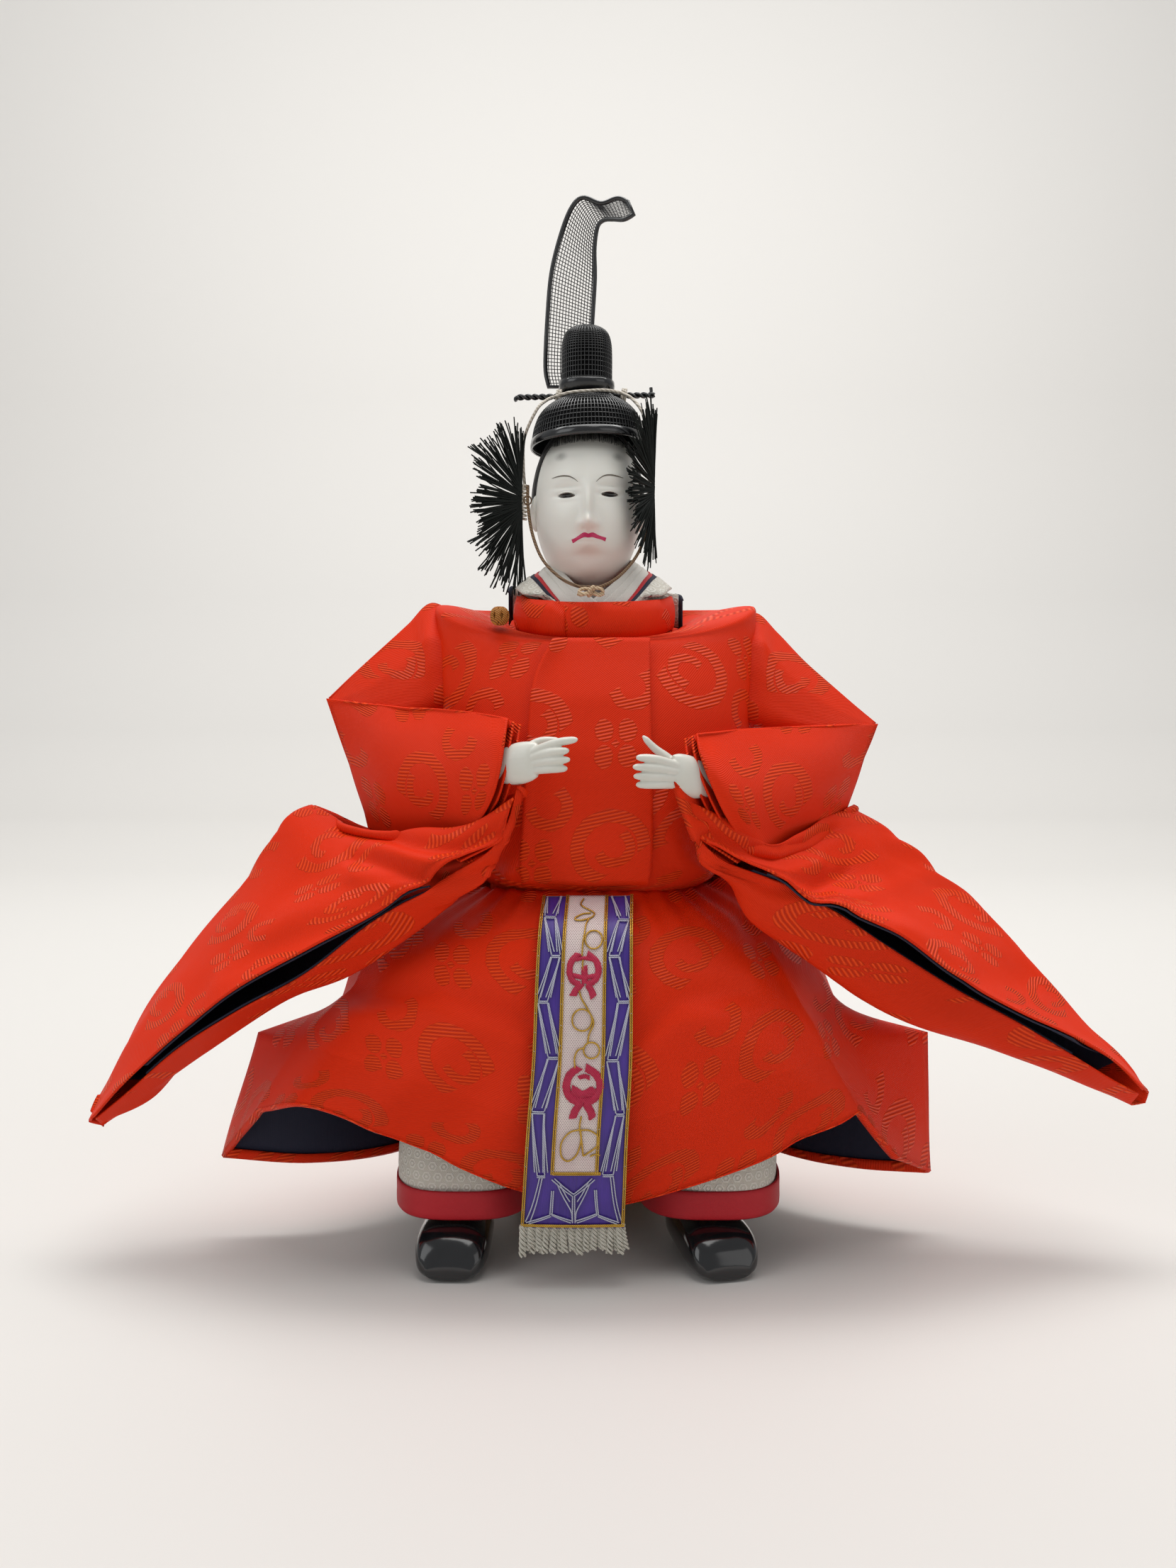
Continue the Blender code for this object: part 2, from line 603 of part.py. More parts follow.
def robe_body(finishes):
    """The bloused body of the robe, open at the neck, the waist and the two armholes."""
    sheet("robe_body", body_rows(), CLOTH, finishes["silk"], (BODY_X, 0, 135), wrap=True)
    body = as_mesh(bpy.data.objects["robe_body"])
    y, z, deep, high = ARMHOLE
    for side in (-1, 1):
        hole = [ring((BODY_X + side * x, y - 1, z), (0, 1, 0), (0, 0, 1), deep * 0.5, high * 0.5, 12)
                for x in (32, 50)]
        body = combine(body, as_mesh(solid("armhole", hole, None, CUTTERS)), "DIFFERENCE")
    body.data.materials.append(finishes["silk"])
    body.data.shade_smooth()
    body.data.set_sharp_from_angle(angle=math.radians(50))

    # the overlapped front panel lies on the body, from under the neckband to the blouse's fold
    edges = [(-8.8, 15.6, 160.0), (-13.4, 15.4, 150.0), (-14.8, 15.6, 138), (-15.6, 15.8, 124),
             (-16.4, 16.0, 112), (-17.0, 15.8, 103), (-16.6, 15.2, 99.6)]
    rows = []
    for left, right, height in smooth(edges, 1):
        row = []
        for k in range(7):
            x = left + (right - left) * k / 6
            row.append((x, body_front(x, height) - GAP * 3 - CLOTH, height))
        rows.append(row)
    sheet("robe_front_panel", rows, CLOTH, finishes["silk"], (0, 10, 130))


def body_front(x, z):
    """The y of the robe's front at a height and a distance from the middle."""
    levels = BODY_SECTIONS
    for low, high in zip(levels, levels[1:]):
        if low[0] <= z <= high[0]:
            share = (z - low[0]) / (high[0] - low[0])
            half = low[1] + (high[1] - low[1]) * share
            front = low[2] + (high[2] - low[2]) * share
            return -front * (1 - min(1.0, abs((x - BODY_X) / half)) ** 2.4) ** (1 / 2.4)
    return 0.0


def body_side(y, z):
    """The half width of the robe at a height and a distance in front of or behind the middle."""
    for low, high in zip(BODY_SECTIONS, BODY_SECTIONS[1:]):
        if low[0] <= z <= high[0]:
            share = (z - low[0]) / (high[0] - low[0])
            half, front, back = (low[k] + (high[k] - low[k]) * share for k in (1, 2, 3))
            reach = front if y < 0 else back
            return half * (1 - min(1.0, abs(y / reach)) ** 2.4) ** (1 / 2.4)
    return BODY_SECTIONS[9][1]


# Sleeves. Upper arm: (x, y, z) of the top line, the under line, then front and back reach.
UPPER_ARM_RIGHT = [((-42.4, 0, 170.4), (-42.4, 1, 133), 11.5, 11.0), ((-48, 0, 165.5),
                   (-48, 1, 130), 12.5, 11.0),
                   ((-55, 0, 158.4), (-56, 0, 127), 12.0, 9.5), ((-63, 0.5, 151.4),
                   (-62, 0, 125), 8.5, 7.0),
                   ((-70.5, 1, 145.4), (-66, -2, 127), 3.0, 3.2)]
UPPER_ARM_LEFT = [((46, 0, 169.4), (46, 1, 131), 11.5, 11.0), ((52, 0, 162.4),
                  (52, 1, 127), 12.5, 11.0),
                  ((60, 0, 154.4), (60, 0, 123), 12.0, 9.5), ((69, 0.5, 146.4), (68, 0, 120), 8.5, 7.0),
                  ((78.5, 1, 139.0), (73, -2, 121), 3.0, 3.2)]
# Forearm: top line, under line, half thickness
FOREARM_RIGHT = [((-70.2, -1.5, 144.6), (-62, -6.5, 126), 3.4), ((-60, -10.5, 143.4),
                 (-54.5, -13, 113.6), 7.0),
                 ((-46, -22, 142.6), (-45, -23.5, 109.5), 8.5), ((-31, -33.5, 141.2),
                 (-32, -32.5, 110.5), 7.0),
                 ((-19.2, -41.6, 139.4), (-22.4, -39.0, 114.5), 5.2)]
FOREARM_LEFT = [((78.2, -1.5, 138.2), (70, -6.5, 122), 3.4), ((68, -10.5, 137.6), (62, -13, 112), 7.0),
                ((53, -22, 138.6), (53, -23.5, 106.5), 8.5), ((37, -33.5, 137.4),
                (39, -32.5, 107.5), 7.0),
                ((24.6, -41.6, 135.6), (28.4, -39.0, 112.0), 5.2)]
# Hanging bag, from the wrist to the tip: front mouth edge, front panel, outer fold, back panel,
# underside, back mouth edge
BAG_RIGHT = [
    [(-24, -44.5, 119), (-40, -32, 117), (-66, -4, 121), (-46, -4, 116), (-25, -34, 114),
     (-20.5, -40, 117)],
    [(-30, -44.4, 109), (-52, -32, 113.5), (-76, 3, 114.6), (-56, -2, 108), (-27, -34, 103),
     (-24.5, -40.5, 107.5)],
    [(-37, -42.6, 102.2), (-60, -30, 106), (-83, 2.5, 106), (-64, 2, 100), (-33, -33, 95.5),
     (-33.5, -39.4, 99.5)],
    [(-49.6, -41.0, 94), (-71, -28, 97), (-90.6, 0.5, 93.6), (-76, 4, 88), (-44, -31, 86.5),
     (-47.5, -37.6, 91.5)],
    [(-67.5, -38.0, 84.9), (-84, -26, 85.5), (-99.4, -3, 81.2), (-88, 3, 76), (-59, -25, 76.5),
     (-66.5, -34.4, 80)],
    [(-87.7, -34.0, 72.8), (-99, -25, 72.8), (-108, -7.5, 69.4), (-99, -1, 65), (-79, -18, 66),
     (-86.5, -30, 67)],
    [(-103.2, -29.6, 60.3), (-111, -23, 61), (-116.2, -12.5, 59.0), (-110, -6, 55), (-97, -14.5, 53),
     (-103, -26.4, 55)],
    [(-117.0, -26.2, 48.4), (-121, -21, 50.5), (-124.2, -17, 49.6), (-118, -13, 44),
     (-110.5, -16, 43), (-115.6, -23.4, 44.6)],
    [(-126.2, -25.0, 38.6), (-128, -23, 39.6), (-129.6, -21, 38.0), (-127.4, -19, 34.2),
     (-123.4, -19.4, 34.2), (-125, -22.4, 36)],
]
BAG_LEFT = [
    [(29, -44.5, 117), (46, -32, 114), (72, -4, 116), (52, -4, 112), (31, -34, 111), (26, -40, 115)],
    [(34, -44.4, 110), (57, -32, 111), (76.5, 3, 115), (62, -2, 106), (32, -34, 101), (30, -40.5, 106)],
    [(43, -43.4, 104.6), (69, -30, 108), (90, 2.0, 104.6), (72, 2, 98), (38, -33, 93),
     (39, -39.8, 101.5)],
    [(56, -41.6, 97), (84, -28, 99), (104, -1.0, 91), (86, 4, 86), (52, -31, 83), (53.5, -38.6, 93.4)],
    [(73, -38.8, 88.3), (99, -26, 87.5), (116, -6, 77.5), (101, 3, 72), (69, -25, 69.8),
     (71, -35.4, 82)],
    [(92, -34.8, 77), (112, -24, 76), (127.5, -11, 65.4), (114, -3, 60), (90, -20, 60.5),
     (92, -31, 70)],
    [(111, -30.0, 66.4), (124, -23, 66), (136, -16, 56), (125, -9, 51), (109, -17, 52),
     (112, -26.4, 58.5)],
    [(127.4, -26.0, 56.6), (134, -22, 56.6), (141.0, -19, 49.6), (134.5, -14.5, 44.6),
     (124, -17.5, 45.8), (128, -22.8, 50)],
    [(140, -23.4, 47.6), (143, -21.6, 47.0), (146.0, -20.2, 41.6), (143, -17.8, 38.0),
     (137.6, -18.4, 39.6), (140, -21, 42)],
]


def arm_rows(sections, inset):
    """Closed rings round an arm: each has a top point, a low point and its reach to both sides."""
    rows = []
    for section in sections:
        top, low = Vector(section[0]), Vector(section[1])
        fore = section[2]
        back = section[3] if len(section) > 3 else section[2]
        up = (top - low).normalized()
        flow = Vector(sections[-1][0]) - Vector(sections[0][0])
        aside = flow.cross(up).normalized()
        if aside.y > 0:
            aside = -aside
        middle = (top + low) / 2
        rows.append(ring(middle, up, aside, (top - low).length / 2 - inset, fore - inset, 14, 2.2,
                         back - inset))
    return rows


def longer(rows, first, last):
    """The rings with a copy of the first and last pushed out by a distance along the run."""
    start = sum(rows[0], Vector()) / len(rows[0])
    second = sum(rows[1], Vector()) / len(rows[1])
    end = sum(rows[-1], Vector()) / len(rows[-1])
    before = sum(rows[-2], Vector()) / len(rows[-2])
    lead = (start - second).normalized() * first
    trail = (end - before).normalized() * last
    return [[p + lead for p in rows[0]]] + rows + [[p + trail for p in rows[-1]]]


def sleeves(finishes):
    """Each sleeve: upper arm, forearm with its open cuff, and the long hanging bag."""
    for name, upper, fore, bag in (("right", UPPER_ARM_RIGHT, FOREARM_RIGHT, BAG_RIGHT),
                                   ("left", UPPER_ARM_LEFT, FOREARM_LEFT, BAG_LEFT)):
        side = -1 if name == "right" else 1
        rings = arm_rows(upper, 0.0)
        # the armhole edge follows the body's side
        rings[0] = [Vector((BODY_X + side * (body_side(p.y, min(p.z, 166.0)) + GAP * 2.7), p.y, p.z))
                    for p in rings[0]]
        outer = as_mesh(solid("sleeve_" + name, rings, None))
        outer = combine(outer, as_mesh(solid("forearm", arm_rows(fore, 0.0), None, CUTTERS)), "UNION")
        rows = patch(bag, 11, 1, sharp=(2,))
        middle = (-70, -20, 88) if name == "right" else (80, -20, 88)
        shell = sheet("bag", rows, CLOTH, None, middle, group=CUTTERS)
        outer = combine(outer, as_mesh(shell), "UNION")
        hollow_upper = longer(arm_rows(upper[:-1], CLOTH * 2), 8.0, 0.0)
        hollow_fore = longer(arm_rows(fore, CLOTH * 2), 0.0, 6.0)
        inner = as_mesh(solid("hollow", hollow_upper, None, CUTTERS))
        inner = combine(inner, as_mesh(solid("hollow_fore", hollow_fore, None, CUTTERS)), "UNION")
        outer = combine(outer, inner, "DIFFERENCE")
        outer.data.materials.append(finishes["silk"])
        outer.data.shade_smooth()
        outer.data.set_sharp_from_angle(angle=math.radians(50))

        lining_rows = patch(bag[3:-1], 11, 1, sharp=(2,))
        lining_rows = inset_rows(lining_rows, CLOTH + GAP * 3.2, middle)
        back = [row[7:] for row in lining_rows]
        sheet("sleeve_lining_" + name, back, LINING, finishes["navy"], middle)


# Lower robe, one control line for each place round the hem, from the waist down to the hem
SKIRT_RIGHT = [
    [(0, -27, 96.6), (0, -40, 84), (0, -43.5, 66), (-1, -41.5, 42), (-2, -37.4, 21.5)],
    [(-14, -26, 96.6), (-16, -40, 84), (-18, -43.5, 66), (-19, -41.5, 44), (-20, -38.0, 25)],
    [(-23, -20, 96.4), (-32, -34, 85), (-38, -41, 70), (-43, -41.5, 53), (-47.6, -39.5, 37.9)],
    [(-28, -13, 96.2), (-44, -23, 85), (-53, -32, 70), (-61, -37, 57), (-68.8, -40.2, 46.1)],
    [(-31, -5, 96.0), (-50, -12, 85), (-63, -17, 68), (-76, -18.5, 53), (-87.6, -17.6, 37.5)],
    [(-32, 2, 96.0), (-52, -3, 84), (-70, -6, 66), (-89.5, -7, 55.4), (-99.6, -4.4, 21.2)],
    [(-31, 8, 96.0), (-49, 8, 84), (-62, 4, 66), (-74, 1, 48), (-76, -0.6, 19.2)],
    [(-28, 14, 96.2), (-43, 22, 84), (-53, 22, 64), (-58, 18, 42), (-56, 11.5, 17.6)],
    [(-17, 21, 96.4), (-29, 35, 84), (-36, 43, 64), (-38, 45, 42), (-36, 40, 17.0)],
    [(0, 24, 96.6), (0, 41, 84), (0, 51, 64), (0, 55, 42), (0, 53, 17.0)],
]
SKIRT_LEFT = [
    [(14, -26, 96.6), (14, -40, 84), (13, -43.5, 66), (12, -41.5, 42), (10, -37.4, 20.6)],
    [(24, -20, 96.4), (32, -34, 85), (38, -41, 70), (40, -41.5, 52), (40, -39.0, 31)],
    [(29, -13, 96.2), (44, -25, 85), (52, -34, 71), (59, -39, 58), (66.9, -40.8, 44.4)],
    [(32, -5, 96.0), (51, -12, 85), (62, -18, 68), (70, -21, 50), (80.3, -20.6, 27.2)],
    [(33, 2, 96.0), (54, -3, 84), (70, -3, 66), (93.6, -1.5, 53.0), (94.0, -2.6, 17.0)],
    [(32, 8, 96.0), (51, 8, 84), (62, 6, 66), (74, 6, 48), (74, 5.0, 15.8)],
    [(29, 14, 96.2), (45, 22, 84), (54, 22, 64), (59, 19, 42), (57, 17, 15.6)],
    [(18, 21, 96.4), (30, 35, 84), (37, 43, 64), (39, 45, 42), (37, 42, 16.4)],
]


def skirt_rows(steps):
    """Rows of the lower robe from the waist to the hem, each all the way round."""
    lines = SKIRT_RIGHT[::-1] + SKIRT_LEFT
    folds = (SKIRT_RIGHT[5], SKIRT_LEFT[4])
    down = [smooth(line, 2) for line in lines]
    count = len(down[0])
    fold_places = [lines.index(fold) for fold in folds]
    rows = []
    for level in range(count):
        loop = [line[level] for line in down] + [down[0][level]]
        rows.append(smooth(loop, steps, fold_places)[:-1])
    return rows


def blunt(row, fold):
    """Cut across the point of a fold, so that a lining stays clear inside it."""
    before, after = row[fold - 2], row[fold + 2]
    row[fold - 1] = before.lerp(after, 0.25)
    row[fold] = before.lerp(after, 0.5)
    row[fold + 1] = before.lerp(after, 0.75)


def lower_robe(finishes):
    """The lower robe with its side flaps, the navy lining inside its hem, and the belt."""
    rows = skirt_rows(2)
    sheet("robe_skirt", rows, CLOTH, finishes["silk"], (0, 0, 60), wrap=True)
    lining = inset_rows(rows, CLOTH + GAP * 1.5, (0, 0, 60), wrap=True)[4:]
    last, before = lining[-1], lining[-2]
    lining[-1] = [p.lerp(q, 0.25) for p, q in zip(last, before)]
    for row in lining:
        blunt(row, (len(SKIRT_RIGHT) - 6) * 2)
        blunt(row, (len(SKIRT_RIGHT) + 4) * 2)
    sheet("skirt_lining", lining, LINING, finishes["navy"], (0, 0, 60), wrap=True)
    band = [ring((0, 0, z), (1, 0, 0), (0, -1, 0), 26.6, 22.4, 20, 2.2, 20.6) for z in (97, 91)]
    sheet("waist_belt", band, 1.0, finishes["belt"], (0, 0, 96), wrap=True)


def sash(finishes):
    """The flat embroidered sash in front, with the fringe at its foot."""
    line = [(0.0, -30.5, 95.6), (-0.6, -41.6, 87.5), (-1.0, -45.6, 74), (-1.4, -46.0, 58),
            (-2.6, -44.8, 40), (-3.4, -42.0, 24), (-3.8, -40.6, 15.8)]
    half = SASH_WIDTH / 2
    rows = []
    for p in smooth(line, 2):
        grow = 1.0 + 0.10 * (95 - p.z) / 80
        rows.append([p + Vector((half * grow * share, 0.5 * share * share, 0)) for share in (-1, 0, 1)])
    sheet("sash", rows, SASH_THICK, finishes["embroidery"], (0, 0, 50))
    foot = Vector(line[-1])
    tassels = []
    count = 18
    for z, spread in ((foot.z - GAP, 0.98), (foot.z - 4.0, 0.97), (foot.z - FRINGE_LENGTH, 0.92)):
        angles = [math.pi * k / count for k in range(2 * count)]
        tassels.append([foot + Vector((half * 1.08 * spread * math.cos(a),
                                       0.9 + (1.1 + 0.35 * (k % 2)) * math.sin(a),
                                       z - foot.z)) for k, a in enumerate(angles)])
    solid("sash_fringe", tassels, finishes["white_thread"])


def collars(finishes):
    """Collars from the neck outwards: white, red and navy piping, cream, then the neckband."""
    sheet_at = (0, 0, 172)
    white = [(4.5, -14.6, 168.6), (0, -14.4, 170.8), (-5.2, -12.6, 174), (-9.4, -7.0, 176.4),
             (-10.2, 0, 177),
             (-7.6, 7.6, 176.4), (0, 11.0, 176), (7.6, 7.6, 176.4), (10.4, 0, 177), (10.0, -8.0, 176),
             (6.6, -13.2, 173), (2.0, -15.8, 169.4)]
    swept_band("inner_collar", white, 7.5, 0.7, finishes["white_cloth"], sheet_at)
    for name, grow, drop, tall, slot in (("collar_red_piping", 1.7, 1.4, 6.0, "crimson"),
                                         ("collar_navy_piping", 3.1, 2.2, 5.6, "navy"),
                                         ("collar_cream", 4.6, 2.4, 6.0, "brocade")):
        half = 10.4 + grow
        path = [(half * math.sin(a) + 0.4, -1.0 - (half + (4.2 if math.cos(a) > 0 else 0.6)) * math.cos(a),
                 175.2 - drop - 2.6 * math.cos(a))
                for a in (math.radians(26 + 308 * k / 14) for k in range(15))]
        swept_band(name, path, tall, 0.6, finishes[slot], sheet_at)


def swept_band(name, path, tall, thick, finish, inside):
    """A band of cloth standing on edge along a path; the path is its upper edge."""
    top = smooth(path, 1)
    rows = [[p + Vector((0, 0, -tall * share)) for p in top] for share in (0, 1)]
    item = sheet(name, rows, thick, finish, inside)
    return item


def neckband(finishes):
    """The round red neckband, lower in front, its end folded over at the doll's right."""
    rows = []
    for rise, grow in ((0.0, 0.0), (4.2, 0.9), (9.0, 0.0)):
        loop = []
        for k in range(20):
            a = 2 * math.pi * k / 20
            front = math.cos(a) > 0
            x = BODY_X + (20.6 + grow) * math.sin(a)
            y = -2.0 - ((19.4 if front else 18.2) + grow) * math.cos(a)
            dip = 7.2 if front else -1.2
            loop.append((x, y, 167.4 + rise - dip * abs(math.cos(a)) ** 1.5))
        rows.append(loop)
    sheet("robe_neckband", rows, 1.2, finishes["silk"], (2, -2, 166), wrap=True)
    ball = [ring((-22.55, -20.15, 165.6 + h), (1, 0, 0), (0, 1, 0), 2.5 * r, 1.9 * r, 12)
            for h, r in ((3.3, 0.35), (2.7, 0.8), (1.4, 1.05), (0.4, 0.8), (-0.6, 1.05),
                         (-1.9, 0.9), (-2.8, 0.35))]
    solid("collar_knot", ball, finishes["cord"])


def cords(finishes):
    """The white cord over the hat pin, and the brown chin cord with its knot and ear ring."""
    off = RIM_WIRE * 2 + 1.6
    half = HAT_WIDTH / 2 + off
    front = [(-half + 0.6, -2, 203), (-half, -3, 210), (-half + 0.4, -4, 217), (-12.2, -6, 224.2),
             (-9.8, -1.5, 226.2), (-9.4, 0.4, PIN_Z + 1.6), (-8.6, -1.6, 226.6),
             (-4.4, -4.8, 227.6 - 1.0),
             (0, -5.6, 226.8), (5, -4.9, 227.0), (9, -1.8, 227.2), (9.8, 0.4, PIN_Z + 1.6),
             (10.4, -1.5, 226.6),
             (12.4, -6, 224.6), (half - 0.6, -4, 217), (half, -3, 210)]
    tube("hat_cord", smooth(front, 2), 0.42, finishes["white_cloth"], sides=1)
    chin = [(-15.8, -4, 203), (-15.6, -5, 196), (-14.4, -8.4, 188), (-11.6, -13.0, 180.6),
            (-7.0, -17.6, 175.2),
            (-3.0, -20.6, 172.8), (0, -21.2, 172.4), (3.0, -20.6, 172.8), (7.2, -17.6, 175.4),
            (11.8, -13.0, 181), (14.8, -8.4, 188.4), (16.0, -5, 196), (16.2, -4, 203)]
    tube("chin_cord", smooth(chin, 2), 0.4, finishes["cord"], sides=1)
    knot = [ring((0.8, -23.2 + depth, 171.8), (1, 0, 0), (0, 0, 1), 3.0 * s, 1.4 * s, 14)
            for depth, s in ((-0.8, 0.5), (-0.4, 0.9), (0.3, 1.0), (0.9, 0.6))]
    solid("chin_knot", knot, finishes["white_cloth"])
    beside = HEAD_WIDTH / 2 + GAP + HAIR_THICK + 0.4
    circle = ring((-beside, -8.6, 197.2), (1, 0.3, 0), (0, 0, 1), 1.0, 1.0, 10)
    tube("ear_ring", circle, 0.22, finishes["wire"], sides=1, closed=True)


def ear_fan(name, core, outline, finish):
    """A stiff brush of bristles: a thin fan with a notched rim, spread from its core."""
    core = Vector(core)
    count = 18
    rim = resample(outline, count * 2 + 1)
    across = (rim[0] - core).cross(rim[count] - core).normalized() * (FAN_THICK / 2)
    faces = []
    for side in (1, -1):
        loop = [core + across * side * 1.4]
        for k, p in enumerate(rim):
            reach = 1.0 if k % 2 == 0 else 0.84
            loop.append(core + (p - core) * reach + across * side * 0.7)
        faces.append(loop)
    solid(name, faces, finish)


def ear_fans(finishes):
    """The two bristle fans at the ears, each with its wrapped core.

    The right fan is set out from the side of the cap or hair, whichever is wider. The left one is
    turned towards the face, so it is set both out and forward from there.
    """
    side = max(HAT_WIDTH / 2, HEAD_WIDTH / 2 + GAP + HAIR_THICK)
    right = [(-side - out, y, z) for out, y, z in
             ((2.4, -5.2, 219), (7.5, -5.6, 217), (13.5, -6.0, 210), (16.5, -6.2, 202),
              (14.5, -6.0, 192), (9.1, -5.6, 183), (2.2, -5.2, 177))]
    left = [(side + out, y - side, z) for out, y, z in
            ((2.0, 7.4, 226), (-2.4, 2.3, 218), (-7.0, -4.2, 208), (-9.0, -7.6, 199),
             (-7.8, -5.8, 190), (-3.0, 0.8, 183), (0.8, 6.8, 179))]
    ear_fan("ear_fan_right", (-side - 2.9, -5.4, 199.6), right, finishes["bristle"])
    ear_fan("ear_fan_left", (side + 1.8, 7.4 - side, 201.0), left, finishes["bristle"])
    for name, x, y, z, low in (("right", -side - 1.7, -3.6, 203.5, 192.0),
                               ("left", side + 0.8, 9.4 - side, 206.0, 198.0)):
        rows = [ring((x, y, h), (1, 0, 0), (0, 1, 0), 1.0 * s, 1.0 * s, 12)
                for h, s in ((z, 0.6), (z - 1, 1.0), (low + 1, 1.0), (low, 0.6))]
        solid("ear_fan_core_" + name, rows, finishes["white_cloth"])


def hand(name, wrist, palm, tips, thumb, finish):
    """A small carved hand: palm, four fingers and the thumb, joined into one piece."""
    wrist, palm = Vector(wrist), Vector(palm)
    flow = (palm - wrist).normalized()
    back = Vector((math.copysign(0.81, flow.x), -0.58, 0))
    up = Vector((0, 0, 1))
    aside = flow.cross(up).normalized()
    shape = [(-7.0, 2.0, 2.6), (-3.0, 2.3, 3.2), (0.0, 2.6, 4.2), (5.0, 2.9, 5.0), (9.0, 2.5, 4.8),
             (10.4, 1.4, 3.8)]
    rows = [ring(wrist + (flow if run > 0 else back) * run, aside, up, thick, tall, 12, 2.4)
            for run, thick, tall in shape]
    palm_solid = as_mesh(solid(name, rows, None))
    for k, (tip, bend) in enumerate(tips + [thumb]):
        start = wrist + flow * 7.0 + Vector((0, 0, 3.3 - 2.2 * min(k, 3)))
        if k == len(tips):
            start = wrist + flow * 1.0 + Vector((0, 0, 3.0))
        path = [start, Vector(bend), Vector(tip)]
        radius = 1.25 if k < len(tips) else 1.2
        finger = tube("finger", smooth(path, 2), radius, None, sides=1, group=CUTTERS)
        palm_solid = combine(palm_solid, as_mesh(finger), "UNION")
    palm_solid.data.materials.append(finish)
    palm_solid.data.shade_smooth()
    palm_solid.data.set_sharp_from_angle(angle=math.radians(50))
    return palm_solid


def hands(finishes):
    """Both hands, held out as if round a bow and an arrow, on the ends of the arm wire."""
    right = hand("hand_right", (-21.0, -40.6, 128.0), (-10, -47.5, 130.0),
                 [((-3.2, -50.2, 135.3), (-8.0, -48.4, 134.6)), ((-5.0, -50.6, 131.7),
                  (-9, -48.6, 132.2)),
                  ((-5.0, -50.4, 129.1), (-9, -48.6, 129.6)), ((-5.4, -49.8, 126.6),
                  (-9.5, -48.2, 127.2))],
                 ((-6.2, -44.4, 133.6), (-12, -43.4, 134.2)), finishes["white_lacquer"])
    left = hand("hand_left", (28.4, -39.9, 124.4), (18.5, -47.5, 127.4),
                [((11.2, -50.6, 131.0), (16, -49.0, 131.0)), ((10.6, -50.8, 128.6),
                 (15.6, -49.2, 128.6)),
                 ((10.8, -50.4, 126.2), (15.8, -49.0, 126.4)), ((11.4, -49.8, 124.0),
                 (16.4, -48.4, 124.2))],
                ((12.4, -45.6, 135.0), (18, -44.4, 132.0)), finishes["white_lacquer"])
    for item, end in ((right, ARM_PATH_RIGHT), (left, ARM_PATH_LEFT)):
        wire = tube("wire_hole", smooth(end, 3), ARM_WIRE + GAP, None, sides=2, group=CUTTERS)
        name = item.name
        cut = combine(item, as_mesh(wire), "DIFFERENCE")
        cut.name = name
        cut.data.materials.append(finishes["white_lacquer"])


def finish_list():
    """Every finish of the doll."""
    return {
        "silk": material("orange_red_silk", (0.74, 0.045, 0.014), 0.45),
        "navy": material("navy_lining", (0.008, 0.009, 0.03), 0.7),
        "brocade": material("cream_brocade", (0.58, 0.53, 0.46), 0.7),
        "crimson": material("crimson_cloth", (0.38, 0.008, 0.013), 0.6),
        "embroidery": material("sash_embroidery", (0.10, 0.05, 0.30), 0.6),
        "white_thread": material("white_thread", (0.8, 0.79, 0.76), 0.8),
        "white_cloth": material("white_cloth", (0.78, 0.76, 0.72), 0.7),
        "belt": material("waist_belt_cloth", (0.10, 0.05, 0.30), 0.7),
        "face": material("shell_white_face", (0.76, 0.73, 0.71), 0.4),
        "white_lacquer": material("shell_white_hands", (0.72, 0.72, 0.68), 0.35),
        "glass": material("dark_glass", (0.01, 0.008, 0.006), 0.05),
        "hair": material("black_hair", (0.006, 0.006, 0.006), 0.5),
        "mesh_lacquer": material("lacquered_mesh", (0.006, 0.006, 0.007), 0.4),
        "lacquer": material("black_lacquer", (0.01, 0.01, 0.011), 0.12),
        "wire": material("black_wire", (0.01, 0.01, 0.01), 0.3, 0.3),
        "cord": material("amber_cord", (0.42, 0.16, 0.02), 0.6),
        "bristle": material("dark_bristle", (0.012, 0.014, 0.012), 0.5),
        "straw": material("straw_body", (0.45, 0.33, 0.15), 0.9),
        "wood": material("plain_wood", (0.42, 0.27, 0.13), 0.7),
    }


def main():
    clear_scene()
    finishes = finish_list()
    seat_block(finishes)
    torso_core(finishes)
    arm_wire(finishes)
    legs_and_shoes(finishes)
    trousers(finishes)
    head_and_neck(finishes)
    hair(finishes)
    cap(finishes)
    net_tail(finishes)
    robe_body(finishes)
    sleeves(finishes)
    lower_robe(finishes)
    sash(finishes)
    collars(finishes)
    neckband(finishes)
    cords(finishes)
    ear_fans(finishes)
    hands(finishes)
    stand_on_seat_post()


def stand_on_seat_post():
    """Parent every piece to one empty, placed so that the seat post's foot is at the origin."""
    frame = bpy.data.objects.new("doll_frame", None)
    bpy.data.collections[COLLECTION].objects.link(frame)
    frame.location = (0, -(POST_FRONT + POST_BACK) / 2 * MM, 0)
    for item in bpy.data.collections[COLLECTION].objects:
        if item is not frame:
            item.parent = frame


main()
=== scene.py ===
"""Seated court minister doll in an orange-red damask robe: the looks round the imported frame.

Control points are in millimetres from the middle of the neck's foot, as in the part's source;
place() turns them into metres in the frame, whose origin is the seat post's foot.
"""

import math

